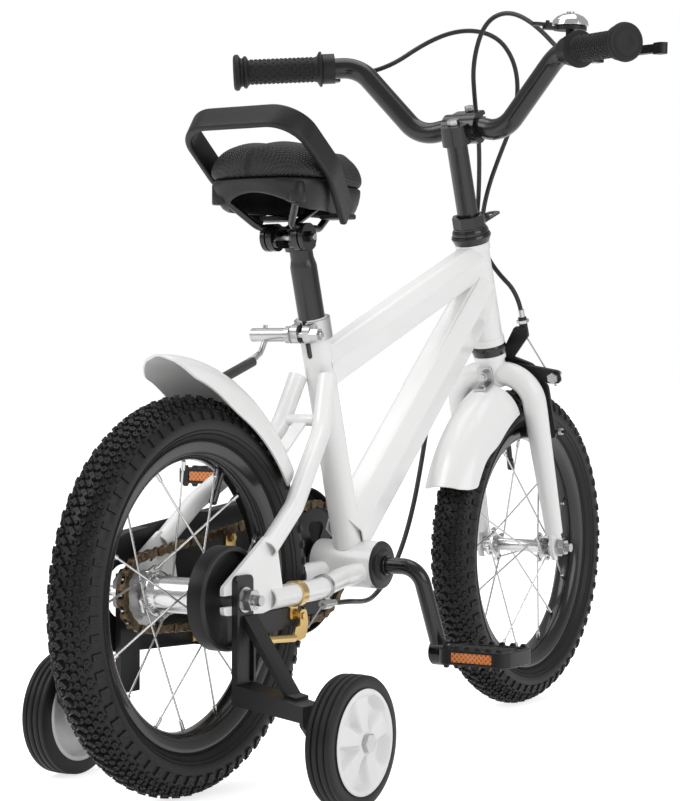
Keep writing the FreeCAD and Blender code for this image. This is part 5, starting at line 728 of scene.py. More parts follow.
# %% The stud shapes
def stud(name, length, width, height, sides=6, inset=0.72, dimple=0.5):
    """A prism stud: a base ring, a smaller top ring, and a dimple in its top."""
    rings = []
    for share, lift in ((1.0, -0.8), (0.96, height * 0.75), (inset + 0.08, height),
                        (inset * 0.55, height - dimple * 0.2),
                        (inset * 0.4, height - dimple)):
        rings.append([(share * length / 2 * math.cos(2 * math.pi * (k + 0.5) / sides),
                       share * width / 2 * math.sin(2 * math.pi * (k + 0.5) / sides),
                       lift) for k in range(sides)])
    points, faces = skin(rings)
    found = mould(name, points, faces)
    moulds.append(found)
    return found


middle_block = stud("middle_block", 10.4, 6.2, 3.6, 4, 0.8, 0.5)
round_stud = stud("round_stud", 6.2, 5.6, 3.0, 6, 0.78, 0.8)
small_stud = stud("small_stud", 4.2, 4.0, 2.0, 6, 0.74, 0.5)
shoulder_block = stud("shoulder_block", 8.6, 12.5, 3.0, 4, 0.86, 0.4)

# %% One tree for a row of studs
row_board, row = recipe("stud_row", [
    ("Stud", "NodeSocketObject", None), ("Count", "NodeSocketInt", 64),
    ("Crown radius", "NodeSocketFloat", 0.15),
    ("Crown curve", "NodeSocketFloat", 0.024), ("Tilt", "NodeSocketFloat", 0.0),
    ("Offset", "NodeSocketFloat", 0.0),
    ("Twist", "NodeSocketFloat", 0.0), ("Sink", "NodeSocketFloat", 0.0), ("Seed", "NodeSocketInt", 3)])
slots_in_row = row_board.add("GeometryNodeMeshLine", {"mode": "OFFSET"}, {"Count": row["Count"]})
number = row_board.add("GeometryNodeInputIndex")
angle = (number + row["Offset"]) * (2 * math.pi) / row["Count"]
cos_a = row_board.math("COSINE", angle)
sin_a = row_board.math("SINE", angle)
cos_t = row_board.math("COSINE", row["Tilt"])
sin_t = row_board.math("SINE", row["Tilt"])
outward = row_board.add("ShaderNodeCombineXYZ", {}, {"X": cos_a * cos_t, "Y": sin_t, "Z": sin_a * cos_t})
round_way = row_board.add("ShaderNodeCombineXYZ", {}, {"X": sin_a * -1, "Y": 0.0, "Z": cos_a})
reach = row["Crown radius"] + (row["Crown curve"] - row["Sink"]) * cos_t
seat = row_board.add("ShaderNodeCombineXYZ", {},
                     {"X": cos_a * reach, "Y": (row["Crown curve"] - row["Sink"]) * sin_t,
                                                  "Z": sin_a * reach})
placed = row_board.add("GeometryNodeSetPosition", {}, {"Geometry": slots_in_row, "Position": seat})
facing = row_board.add("FunctionNodeAxesToRotation", {"primary_axis": "Z", "secondary_axis": "X"},
                       {"Primary Axis": outward, "Secondary Axis": round_way})
jitter = row_board.add("FunctionNodeRandomValue", {"data_type": "FLOAT"}, {"Seed": row["Seed"]}, 1)
for name, value in (("Min", -0.03), ("Max", 0.03)):
    [s for s in jitter.socket.node.inputs if s.name == name and s.type == "VALUE"][0].default_value = value
spin = row_board.add("FunctionNodeAxisAngleToRotation", {},
                     {"Axis": (0.0, 0.0, 1.0), "Angle": row["Twist"] + jitter})
faced = row_board.add("FunctionNodeRotateRotation", {"rotation_space": "LOCAL"},
                      {"Rotation": facing, "Rotate By": spin})
shape_in = row_board.add("GeometryNodeObjectInfo", {"transform_space": "ORIGINAL"}, {"Object": row["Stud"]},
                         "Geometry")
studs = row_board.add("GeometryNodeInstanceOnPoints", {},
                      {"Points": placed, "Instance": shape_in, "Rotation": faced})
serve(row_board, studs, tread_rubber)
print("stud row tree has", len(row_board.tree.nodes), "nodes")

# %% Stand the rows round a tyre
CROWN_RADIUS = 147.4
CROWN_CURVE = 24.0
TREAD_ROWS = [  # stud, tilt in degrees, offset in steps, twist in degrees, sink in mm
    (middle_block, -6.5, 0.0, 45, 0.0), (middle_block, 6.5, 0.5, 45, 0.0),
    (small_stud, 7, 0.0, 0, 0.6), (small_stud, -7, 0.5, 0, 0.6),
    (round_stud, 21, 0.0, 30, 0.1), (round_stud, -21, 0.5, -30, 0.1),
    (round_stud, 18.5, 0.5, 30, 0.3), (round_stud, -18.5, 0.0, -30, 0.3),
    (round_stud, 32, 0.24, 30, 0.2), (round_stud, -32, 0.74, -30, 0.2),
    (small_stud, 31, 0.75, 0, 0.1), (small_stud, -31, 0.25, 0, 0.1),
    (round_stud, 44, -0.06, 30, 0.2), (round_stud, -44, 0.44, -30, 0.2),
    (small_stud, 43, 0.45, 0, 0.1), (small_stud, -43, 0.95, 0, 0.1),
    (small_stud, 53, 0.24, 0, 0.1), (small_stud, -53, 0.74, 0, 0.1),
    (shoulder_block, 66, -0.2, 0, 0.3), (shoulder_block, -66, 0.3, 0, 0.3)]


def run_tree(tree, values):
    """The plain mesh of one run of a tree."""
    holder = bpy.data.objects.new("run", bpy.data.meshes.new("run"))
    bpy.context.scene.collection.objects.link(holder)
    step = holder.modifiers.new("recipe", "NODES")
    step.node_group = tree
    for item in tree.interface.items_tree:
        if item.in_out == "INPUT" and item.name in values:
            step[item.identifier] = values[item.name]
    graph = bpy.context.evaluated_depsgraph_get()
    mesh = bpy.data.meshes.new_from_object(holder.evaluated_get(graph))
    bpy.data.objects.remove(holder)
    return mesh


def mesh_part(mesh, centre=Vector((0, 0, 0))):
    return [v.co + centre for v in mesh.vertices], [tuple(p.vertices) for p in mesh.polygons]


TYRE_PROFILE = [
    (127.0, 12.2), (134.2, 12.2), (135.0, 14.6), (137.5, 17.0), (140.5, 20.4), (144, 22.6), (148, 23.9),
    (153, 24.2),
    (158, 22.9), (163, 19.2), (167, 14.0), (169.8, 8.0), (171.2, 0)]
side = TYRE_PROFILE
tyre_section = side + [(r, -y) for r, y in reversed(side[:-1])]
inner = [(129, 8.5), (136, 11), (141, 17.5), (150, 20.4), (160, 17), (166, 8), (167.4, 0)]
tyre_section += [(r, -y) for r, y in inner] + [(r, y) for r, y in reversed(inner[:-1])]


def tyre(name, centre, body, node):
    parts = [turned(tyre_section, centre, (0, 1, 0), 160)]
    for ring_r, ring_y, w in ((141.2, 21.2, 0.9), (144.5, 23.0, 0.5), (136.4, 16.2, 0.6)):
        for s in (1, -1):
            parts.append(turned([(ring_r - w, s * (ring_y - 1.2)), (ring_r, s * (ring_y + 0.55)),
                                 (ring_r + w, s * (ring_y - 0.4))],
                                centre, (0, 1, 0), 160))
    for k, (shape, tilt, offset, twist, sink) in enumerate(TREAD_ROWS):
        mesh = run_tree(row_board.tree, {
            "Stud": shape, "Count": 64, "Crown radius": CROWN_RADIUS * MM, "Crown curve": CROWN_CURVE * MM,
            "Tilt": math.radians(tilt), "Offset": offset, "Twist": math.radians(twist), "Sink": sink * MM,
            "Seed": k})
        parts.append(mesh_part(mesh, centre))
    return piece(name, parts, body, tread_rubber, [node], "tyre_rubber", sharp=28)


front_tread = tyre("front_tyre_knobbly", front_axle, "front_wheel", "front_tyre")
tyre("rear_tyre_knobbly", rear_axle, "rear_wheel", "rear_tyre")
print("tyre", len(front_tread.data.polygons), "faces")

# %% [markdown]
# ## Rims and spokes
# The rims are rolled in steel and painted gloss black. Their section is a deep U with a rounded
# hook at each edge. Sixteen spokes cross from the four ears of each flange to brass-headed
# nipples in the rim. The four ears repeat every quarter turn, so a tree makes four copies of
# one ear's four spokes.

# %% Roll the rims
RIM = [(134.4, 13.2), (135.2, 13.9), (134.6, 14.6), (132.6, 14.7), (130.5, 14.0), (127, 13.9), (124, 12.6),
       (120.5, 9.6),
       (118.7, 5.5), (118.4, 0)]
RIM_INSIDE = [(133.0, 12.5), (127.5, 12.1), (124.5, 10.6), (121.8, 8.0), (120.1, 4.6), (119.9, 0)]


def rim(name, centre, body, node, valve_angle):
    half = RIM + [(r, -y) for r, y in reversed(RIM[:-1])]
    back = [(r, -y) for r, y in RIM_INSIDE] + [(r, y) for r, y in reversed(RIM_INSIDE[:-1])]
    parts = [turned(half + back, centre, (0, 1, 0), 160)]
    valve = math.radians(valve_angle)
    at = centre + Vector((math.cos(valve), 0, math.sin(valve))) * 0.119
    way = unit(at - centre)
    parts.append(rod(at, at - way * 0.026, 3.1, 16))
    parts.append(rod(at - way * 0.018, at - way * 0.031, 3.9, 16, 1.0))
    return piece(name, parts, body, paint_black, [node], "black_satin")


rim("front_rim_rolled", front_axle, "front_wheel", "front_rim", 104)
rim("rear_rim_rolled", rear_axle, "rear_wheel", "rear_rim", 62)

# %% A tree that repeats a set about the axle
repeat_board, rep = recipe("repeat_about_axle", [
    ("Set", "NodeSocketObject", None), ("Count", "NodeSocketInt", 4),
    ("Centre", "NodeSocketVector", (0, 0, 0))])
marks = repeat_board.add("GeometryNodeMeshLine", {"mode": "OFFSET"},
                         {"Count": rep["Count"], "Start Location": (0, 0, 0), "Offset": (0, 0, 0)})
about = repeat_board.add("FunctionNodeAxisAngleToRotation", {}, {
    "Axis": (0.0, 1.0, 0.0),
     "Angle": repeat_board.add("GeometryNodeInputIndex") * (2 * math.pi) / rep["Count"]})
copied = repeat_board.add("GeometryNodeInstanceOnPoints", {}, {
    "Points": marks, "Rotation": about,
    "Instance": repeat_board.add("GeometryNodeObjectInfo", {"transform_space": "ORIGINAL"},
                                 {"Object": rep["Set"]}, "Geometry")})
shifted = repeat_board.add("GeometryNodeSetPosition", {}, {
    "Geometry": repeat_board.add("GeometryNodeRealizeInstances", {}, {"Geometry": copied}),
    "Offset": rep["Centre"]})
serve(repeat_board, shifted, nickel)


def mould_of(name, parts):
    points = []
    faces = []
    for more, quads in parts:
        start = len(points)
        points += [p / MM for p in more]
        faces += [tuple(k + start for k in quad) for quad in quads]
    found = mould(name, points, faces)
    moulds.append(found)
    return found


def ear_of_spokes(name, flange_radius, left, right, thick):
    """The four spokes that start at one pair of ears, about an axle at the origin."""
    parts = []
    for k in range(4):
        s = 1 if k % 2 == 0 else -1
        flange = left if s > 0 else right
        rim_angle = 22.5 * k
        lead = 1 if (k // 2) % 2 == 0 else -1
        hole = math.radians(rim_angle - lead * 58.5)
        reach = math.radians(rim_angle)
        face = flange - s * (thick / 2 + 1.35)
        start = mm(flange_radius * math.cos(hole), face, flange_radius * math.sin(hole))
        end = mm(117.8 * math.cos(reach), s * 1.5, 117.8 * math.sin(reach))
        run = unit(end - start)
        elbow = [start + Vector((0, s * (thick + 3.0) * MM, 0)), start, start + run * 0.012]
        parts.append(swept(rounded_path(elbow, [0, 1.6, 0], 20), round_section(1.0, 10)))
        parts.append(rod(start + Vector((0, s * (thick + 2.2) * MM, 0)),
                         start + Vector((0, s * (thick + 3.2) * MM, 0)), 2.0, 10))
        parts.append(rod(start + run * 0.010, end - run * 0.008, 1.0, 10))
        parts.append(rod(end - run * 0.0095, end, 2.0, 10, 0.7))
    return mould_of(name, parts)


def spokes(name, centre, body, node, mould_set):
    mesh = run_tree(repeat_board.tree, {"Set": mould_set, "Count": 4, "Centre": centre})
    return piece(name, [mesh_part(mesh)], body, nickel, [node], "chrome_plate", sharp=40)


front_wires = spokes("front_spokes_wire", front_axle, "front_wheel", "front_spokes",
                     ear_of_spokes("front_ear", 16.6, 30.0, -30.0, 2.4))
spokes("rear_spokes_wire", rear_axle, "rear_wheel", "rear_spokes",
                    ear_of_spokes("rear_ear", 22.6, 29.5, -28.0, 2.6))
print("spokes", len(front_wires.data.polygons), "faces")
# %% [markdown]
# ## Hubs, drum, axles and the band brake
# These are turned and pressed steel, and their CAD shapes are right down to the ears of the
# flanges, so they only need rounded edges and a metal finish.

# %% Dress the hubs and axles
dressed("front_hub", nickel, "chrome_plate", 0.25)
dressed("rear_hub", nickel, "chrome_plate", 0.25)
dressed("rear_axle", zinc, "silver_steel", 0.3)
dressed("freewheel_sprocket", zinc, "silver_steel", 0.2)
dressed("band_brake_lever", gold, "gold_zinc", 0.4)
print("hubs, axles and band brake dressed")

# %% [markdown]
# ## The chain
# A roller chain is two kinds of link in turn: an inner link with two rollers between its plates,
# and an outer link whose pins pass through them. Both are modelled once, a few dozen faces each,
# and a geometry tree sets them along the pins' places, turned from each pin to the next one.

# %% One outer link and one inner link
PITCH = 12.7
LINKS = 66


def link_plate(y, thick, waist, eye):
    """One side plate of a link: two round eyes and a waist, from one pin to the next."""
    outline = []
    for k in range(9):
        t = math.pi / 2 + math.pi * k / 8
        outline.append((eye * math.cos(t), eye * math.sin(t)))
    outline.append((PITCH * 0.5, -waist))
    for k in range(9):
        t = -math.pi / 2 + math.pi * k / 8
        outline.append((PITCH + eye * math.cos(t), eye * math.sin(t)))
    outline.append((PITCH * 0.5, waist))
    rings = []
    for depth, shrink in ((0.0, 0.93), (0.25, 1.0), (thick - 0.25, 1.0), (thick, 0.93)):
        width = 1 - (1 - shrink) * 0.45
        rings.append([(PITCH / 2 + (x - PITCH / 2) * width, y + depth, z * shrink) for x, z in outline])
    return skin(rings)


def drum_part(x, radius, half, sides):
    rings = []
    for y, r in ((-half, radius - 0.3), (-half + 0.3, radius), (half - 0.3, radius), (half, radius - 0.3)):
        rings.append([(x + r * math.cos(2 * math.pi * k / sides), y,
                       r * math.sin(2 * math.pi * k / sides)) for k in range(sides)])
    return skin(rings)


def link_mould(name, parts):
    points = []
    faces = []
    for more, quads in parts:
        start = len(points)
        points += list(more)
        faces += [tuple(k + start for k in quad) for quad in quads]
    found = mould(name, points, faces)
    moulds.append(found)
    return found


outer_link = link_mould("outer_link", [
    link_plate(2.92, 1.1, 2.7, 4.1), link_plate(-4.02, 1.1, 2.7, 4.1),
    drum_part(0, 1.8, 4.25, 10), drum_part(PITCH, 1.8, 4.25, 10)])
inner_link = link_mould("inner_link", [
    link_plate(1.70, 1.1, 2.9, 4.2), link_plate(-2.80, 1.1, 2.9, 4.2),
    drum_part(0, 3.9, 1.72, 14), drum_part(PITCH, 3.9, 1.72, 14)])

# %% Where the pins are
ring_r = PITCH / 2 / math.sin(math.pi / 28)
cog_r = PITCH / 2 / math.sin(math.pi / 16)
between = (bracket - rear_axle).length / MM
tilt = math.atan2((bracket - rear_axle).z, (bracket - rear_axle).x)
lean = math.asin((ring_r - cog_r) / between)
span = math.sqrt(between ** 2 - (ring_r - cog_r) ** 2) / PITCH
front_arc = 28 * (math.pi + 2 * lean) / (2 * math.pi)
rear_arc = 16 * (math.pi - 2 * lean) / (2 * math.pi)


def on_circle(centre, r, angle):
    return centre + mm(r * math.cos(angle), 0, r * math.sin(angle))


def pin_place(count):
    high = tilt + math.pi / 2 + lean
    low = tilt - math.pi / 2 - lean
    count = count % LINKS
    if count < front_arc:
        return on_circle(bracket, ring_r, high - 2 * math.pi * count / 28)
    count -= front_arc
    if count < span:
        return on_circle(bracket, ring_r, low).lerp(on_circle(rear_axle, cog_r, low), count / span)
    count -= span
    if count < rear_arc:
        return on_circle(rear_axle, cog_r, low - 2 * math.pi * count / 16)
    return on_circle(rear_axle, cog_r, high).lerp(on_circle(bracket, ring_r, high), (count - rear_arc) / span)


pins = [pin_place(k) + mm(0, 43, 0) for k in range(LINKS)]
print("chain of", LINKS, "links, pitch", round((pins[1] - pins[0]).length / MM, 2), "mm")

# %% A tree that sets links along the pins
chain_board, run = recipe("roller_chain", [
    ("Pins", "NodeSocketObject", None), ("Outer link", "NodeSocketObject", None),
    ("Inner link", "NodeSocketObject", None),
    ("Links", "NodeSocketInt", LINKS)])
pin_points = chain_board.add("GeometryNodeObjectInfo", {"transform_space": "ORIGINAL"},
                             {"Object": run["Pins"]}, "Geometry")
here = chain_board.add("GeometryNodeInputPosition")
count = chain_board.add("GeometryNodeInputIndex")
following = chain_board.add("GeometryNodeSampleIndex", {"data_type": "FLOAT_VECTOR", "domain": "POINT"},
                            {"Geometry": pin_points, "Value": here, "Index": (count + 1) % run["Links"]})
to_next = chain_board.vector("SUBTRACT", following, here)
face_on = chain_board.add("FunctionNodeAxesToRotation", {"primary_axis": "X", "secondary_axis": "Y"},
                          {"Primary Axis": to_next, "Secondary Axis": (0.0, 1.0, 0.0)})
even = (count % 2) < 0.5
joined = chain_board.add("GeometryNodeJoinGeometry")
for label, chosen in (("Outer link", even), ("Inner link", 1 - even)):
    shape_out = chain_board.add("GeometryNodeObjectInfo", {"transform_space": "ORIGINAL"},
                                {"Object": run[label]}, "Geometry")
    some = chain_board.add("GeometryNodeInstanceOnPoints", {},
                           {"Points": pin_points, "Selection": chosen > 0.5,
                                                                "Instance": shape_out, "Rotation": face_on})
    chain_board.tree.links.new(some.socket, joined.socket.node.inputs[0])
serve(chain_board, joined, bronze)

pin_mesh = bpy.data.meshes.new("pins")
pin_mesh.from_pydata(pins, [], [])
pin_object = bpy.data.objects.new("pins", pin_mesh)
bpy.context.scene.collection.objects.link(pin_object)
pin_object.hide_render = True
moulds.append(pin_object)
links_mesh = run_tree(chain_board.tree, {"Pins": pin_object, "Outer link": outer_link,
                                         "Inner link": inner_link, "Links": LINKS})
drive_chain = piece("drive_chain_links", [mesh_part(links_mesh)], "frame", bronze, ["drive_chain"],
                    "chain_bronze")
print("chain", len(drive_chain.data.polygons), "faces")

# %% [markdown]
# ## Cranks, chainring and pedals
# The crank is one forged bar, bent twice, painted gloss black. The chainring keeps its CAD shape,
# with five windows. The pedals are moulded nylon with rows of teeth, amber reflectors front and
# back, and a steel spindle through them.

# %% Dress the drive
dressed("chainring", satin, "silver_steel", 0.2)
CRANK = 86.0
crank_way = Vector((math.sin(math.radians(15)), 0, -math.cos(math.radians(15))))
tips = {-1: bracket + crank_way * CRANK * MM, 1: bracket - crank_way * CRANK * MM}
arm_route = [tips[-1] + mm(0, -88, 0), bracket + mm(0, -76, 0), bracket + mm(0, 76, 0),
             tips[1] + mm(0, 88, 0)]


crank_parts = [swept(rounded_path(arm_route, [0, 20, 20, 0], 5), round_section(8.0, 24))]
crank_parts.append(rod(bracket + mm(0, -42, 0), bracket + mm(0, 49, 0), 9.5, 32))
crank_parts.append(rod(bracket + mm(0, 44.4, 0), bracket + mm(0, 47.4, 0), 16.0, 48))
for s in (-1, 1):
    crank_parts.append(rod(tips[s] + mm(0, s * 80, 0), tips[s] + mm(0, s * 96, 0), 12.5, 40, 1.6))
piece("crank_forged", crank_parts, "crankset", paint_black, ["crank"], "black_satin")
spindle_parts = [rod(tips[s] + mm(0, s * 78.5, 0), tips[s] + mm(0, s * 170, 0), 5.0, 24, 0.8) for s in (-1,
                                                                                                        1)]
spindle_parts += [nut(tips[s] + mm(0, s * 96.05, 0), (0, s, 0), 15, 2.2) for s in (-1, 1)]
piece("pedal_spindles", spindle_parts, "crankset", zinc, (), "silver_steel")
print("crank arms swept")

# %% Mould the pedals
def box_part(low, high, chamfer=0.6):
    """A block between two corners with its four long edges and both ends chamfered."""
    lo, hi = Vector(low), Vector(high)
    c = chamfer
    rings = []
    for z, inset in ((lo.z, c), (lo.z + c, 0.0), (hi.z - c, 0.0), (hi.z, c)):
        x0, x1, y0, y1 = lo.x + inset, hi.x - inset, lo.y + inset, hi.y - inset
        rings.append([mm(x0 + c, y0, z), mm(x1 - c, y0, z), mm(x1, y0 + c, z), mm(x1, y1 - c, z),
                      mm(x1 - c, y1, z), mm(x0 + c, y1, z), mm(x0, y1 - c, z), mm(x0, y0 + c, z)])
    return skin(rings)


def rounded_outline(half_x, y0, y1, radius, steps=5):
    out = []
    for cx, cy, start in ((half_x - radius, y1 - radius, 0), (-half_x + radius, y1 - radius, 90),
                          (-half_x + radius, y0 + radius, 180), (half_x - radius, y0 + radius, 270)):
        for k in range(steps + 1):
            t = math.radians(start + 90 * k / steps)
            out.append((cx + radius * math.cos(t), cy + radius * math.sin(t)))
    return out


def hoop(outer, inner, z0, z1, chamfer=0.7):
    """A band between two outlines of the same count, with softened rims."""
    def blend(share):
        return [(a[0] + (b[0] - a[0]) * share, a[1] + (b[1] - a[1]) * share) for a, b in zip(outer, inner)]
    rings = []
    for share, z in ((0.0, z0 + chamfer), (0.0, z1 - chamfer), (0.12, z1), (0.88, z1), (1.0, z1 - chamfer),
                     (1.0, z0 + chamfer), (0.88, z0), (0.12, z0)):
        rings.append([mm(x, y, z) for x, y in blend(share)])
    return skin(rings, closed_path=True)


def pedal(side):
    n = 76.0
    parts = [hoop(rounded_outline(28, 0, n, 9), rounded_outline(22, 6, n - 6, 5), -7.5, 7.5)]
    parts.append(turned([(5.1, 0.2), (8.2, 0.2), (9, 1.2), (9, n - 4), (7.6, n - 3), (0.01, n - 3),
                         (0.01, n - 3.6), (5.1, n - 3.6)],
                        Vector((0, 0, 0)), (0, 1, 0), 40))
    for y in (16, 34, 52):
        for x0, x1 in ((-24, -8.6), (8.6, 24)):
            parts.append(box_part((x0, y, -6.5), (x1, y + 5, 6.5)))
    for x in (-27, 23):
        for k in range(6):
            y = 7 + k * 11.2
            for up in (1, -1):
                rings = [[mm(x, y, up * 7.2), mm(x + 4, y, up * 7.2), mm(x + 4, y + 6, up * 7.2),
                          mm(x, y + 6, up * 7.2)],
                         [mm(x + 0.4, y + 1.4, up * 10.5), mm(x + 3.6, y + 1.4, up * 10.5),
                          mm(x + 3.6, y + 4.6, up * 10.5),
                          mm(x + 0.4, y + 4.6, up * 10.5)]]
                parts.append(skin(rings))
    for x in (-28.0, 28.0):
        s = 1 if x > 0 else -1
        for y0, y1, z0, z1 in ((13.5, 62.5, 5.1, 6.4), (13.5, 62.5, -6.4, -5.1), (13.5, 16, -5.2, 5.2),
                               (60, 62.5, -5.2, 5.2)):
            low = min(x - s * 0.8, x + s * 1.0)
            parts.append(box_part((low, y0, z0), (low + 1.8, y1, z1), 0.3))
    out = []
    for points, faces in parts:
        out.append(([tips[side] + Vector((p.x, side * (98.5 * MM + p.y), p.z)) for p in points], faces))
    name = "left" if side > 0 else "right"
    made = piece(name + "_pedal_platform", out, name + "_pedal_body", plastic, [name + "_pedal"],
                 "black_plastic", sharp=28)
    glass = []
    for x in (-28.3, 25.7):
        glass.append(box_part((x, 16.1, -4.9), (x + 2.6, 59.9, 4.9), 0.5))
    lens = [([tips[side] + Vector((p.x, side * (98.5 * MM + p.y), p.z)) for p in points], faces)
            for points, faces in glass]
    piece(name + "_pedal_reflectors", lens, name + "_pedal_body", amber)
    return made


for s in (1, -1):
    pedal(s)
print("pedals moulded")

# %% [markdown]
# ## The painted frame
# Each frame tube is a pressed shape with a soft crease along its side. The CAD has that section
# and the way the tubes are cut to meet, so the tubes keep their CAD shapes with softened edges.
# Where tubes meet, a real frame has a weld bead under its paint: a rope of small overlapping
# scales that follows the joint.

# %% Paint the frame tubes
for node in ("top_tube", "down_tube", "seat_tube", "left_chain_stay", "right_chain_stay",
             "left_seat_stay", "right_seat_stay"):
    dressed(node, paint_white, "white_paint", 0.5, 30)

print("frame tubes painted")
# %% [markdown]
# ## Parts of several metals
# Some CAD parts hold several solids: a bracket with its bolt and nut, or the fork with the front
# axle. On the real bike those have different finishes. The separate islands of the mesh are
# found by walking its edges, and each island goes to the finish that its place or size tells.

# %% Share a CAD part's islands between finishes
def islands(shape):
    left = set(shape.verts)
    found = []
    while left:
        seed = left.pop()
        group = [seed]
        stack = [seed]
        while stack:
            here = stack.pop()
            for edge in here.link_edges:
                other = edge.other_vert(here)
                if other in left:
                    left.discard(other)
                    stack.append(other)
                    group.append(other)
        lo = [min(v.co[i] for v in group) / MM for i in range(3)]
        hi = [max(v.co[i] for v in group) / MM for i in range(3)]
        found.append((group, Vector(lo), Vector(hi)))
    return found


def shared(node, rules, bevel=0.25, sharp=34.0):
    """rules is a list of (suffix, finish, slot, test of an island's low and high corners)."""
    source = nodes[node]
    taken = set()
    made = []
    for suffix, finish, slot, test in rules:
        shape = bmesh.new()
        shape.from_mesh(source.data)
        bmesh.ops.remove_doubles(shape, verts=shape.verts, dist=2e-5)
        keep = set()
        for k, (group, lo, hi) in enumerate(sorted(islands(shape), key=lambda g: tuple(g[1]) + tuple(g[2]))):
            if k not in taken and test(lo, hi):
                taken.add(k)
                keep |= set(group)
        bmesh.ops.delete(shape, geom=[v for v in shape.verts if v not in keep], context="VERTS")
        bmesh.ops.dissolve_limit(shape, angle_limit=math.radians(1.0), verts=shape.verts, edges=shape.edges)
        mesh = bpy.data.meshes.new(node + "_" + suffix)
        shape.to_mesh(mesh)
        shape.free()
        mesh.shade_smooth()
        mesh.set_sharp_from_angle(angle=math.radians(sharp))
        obj = bpy.data.objects.new(mesh.name, mesh)
        bpy.context.scene.collection.objects.link(obj)
        if bevel:
            rounding = obj.modifiers.new("edges", "BEVEL")
            rounding.width = bevel * MM
            rounding.segments = 2
            rounding.limit_method = "ANGLE"
            rounding.angle_limit = math.radians(40)
            rounding.harden_normals = True
        made.append(wear(obj, source["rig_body"], finish, [node], slot))
    return made


def everything(lo, hi):
    return True


def size(lo, hi):
    return hi - lo


shared("head_tube", [("tube", paint_white, "white_paint", lambda lo, hi: size(lo, hi).z > 100),
                     ("cups", paint_black, None, everything)], 0.3)
shared("bottom_bracket_shell", [("tube", paint_white, "white_paint", lambda lo, hi: size(lo, hi).y > 50),
                                ("cups", satin, None, everything)], 0.3)
shared("stay_bridge", [("tube", paint_white, "white_paint", lambda lo, hi: size(lo, hi).y > 20),
                       ("bolt", zinc, None, everything)])
shared("fork", [("blades", paint_white, "white_paint", lambda lo, hi: size(lo, hi).z > 100),
                ("axle", zinc, None, everything)], 0.3)
shared("headset_locknut", [("nut", paint_black, "black_paint", everything)])
shared("stem", [("casting", paint_black, "black_paint", lambda lo, hi: size(lo, hi).y > 30),
                ("bolts", zinc, None, everything)], 0.6)
shared("saddle_clamp", [("bolt", zinc, None, lambda lo, hi: size(lo, hi).y > 50 and size(lo, hi).x < 9),
                        ("steel", paint_black, "black_paint", everything)])
shared("caliper_bolt", [("steel", zinc, "silver_steel", everything)])
for side_name in ("left", "right"):
    shared(side_name + "_caliper_arm", [
        ("arm", satin, "black_satin", lambda lo, hi: size(lo, hi).z > 50),
        ("shoe", grip_rubber, None, lambda lo, hi: size(lo, hi).x > 25 and size(lo, hi).y > 20),
        ("bolts", zinc, None, everything)])
    shared(side_name + "_training_bracket", [
        ("pressing", satin, "black_satin", lambda lo, hi: size(lo, hi).z > 60),
        ("bolts", zinc, None, everything)], 0.4)
    shared(side_name + "_lever_bracket", [
        ("clamp", plastic, "black_plastic", lambda lo, hi: size(lo, hi).x > 15),
        ("pin", zinc, None, everything)], 0.5)
    dressed(side_name + "_brake_lever", plastic, "black_plastic", 1.0)
shared("chain_case", [("pressing", plastic, "black_plastic", lambda lo, hi: size(lo, hi).x > 200),
                      ("brackets", gold, None, everything)])
shared("band_brake_cover", [
    ("clip", gold, None, lambda lo, hi: 30 < hi.z - lo.z < 40 and -240 < lo.x < -205),
    ("spring", gold, None, lambda lo, hi: hi.z < 143),
    ("pin", gold, None, lambda lo, hi: lo.x > -222 and hi.x < -205),
    ("stop", zinc, None, lambda lo, hi: lo.x > -170),
    ("cover", satin, "black_satin", everything)], 0.4)
dressed("seat_post", paint_black, "black_paint", 0.3)
dressed("seat_collar", zinc, "silver_steel", 0.4)
sleeve_top, sleeve_tip = mm(-154.2, 42.2, 378.3), mm(-194.2, 45, 364.3)
dressed("quick_release_lever", zinc, "silver_steel", 0.5, keep=lambda p: p.z / MM > 384 or p.x / MM > -150)
sleeve_way = unit(sleeve_tip - sleeve_top)
piece("quick_release_sleeve", [rod(sleeve_top - sleeve_way * 4 * MM, sleeve_tip + sleeve_way * 3 * MM, 4.7,
                                   28, 1.8)],
      "quick_release", sleeve_grey)
piece("quick_release_rod", [rod(mm(-140.2, 41.0, 387.3), sleeve_top, 2.6, 20, 0.2)], "quick_release", zinc)
dressed("bell_striker", plastic, "black_plastic", 0.4)
print("mixed-metal parts dressed")

# %% [markdown]
# ## Mudguards
# A mudguard is a thin pressed sheet: an arch in section, carried round the wheel. The side
# walls are trimmed to a sweeping line and the tail is rounded. Each station of the arch is made
# with its own width, so the sheet's edge follows the trim exactly, and it has a true thickness.

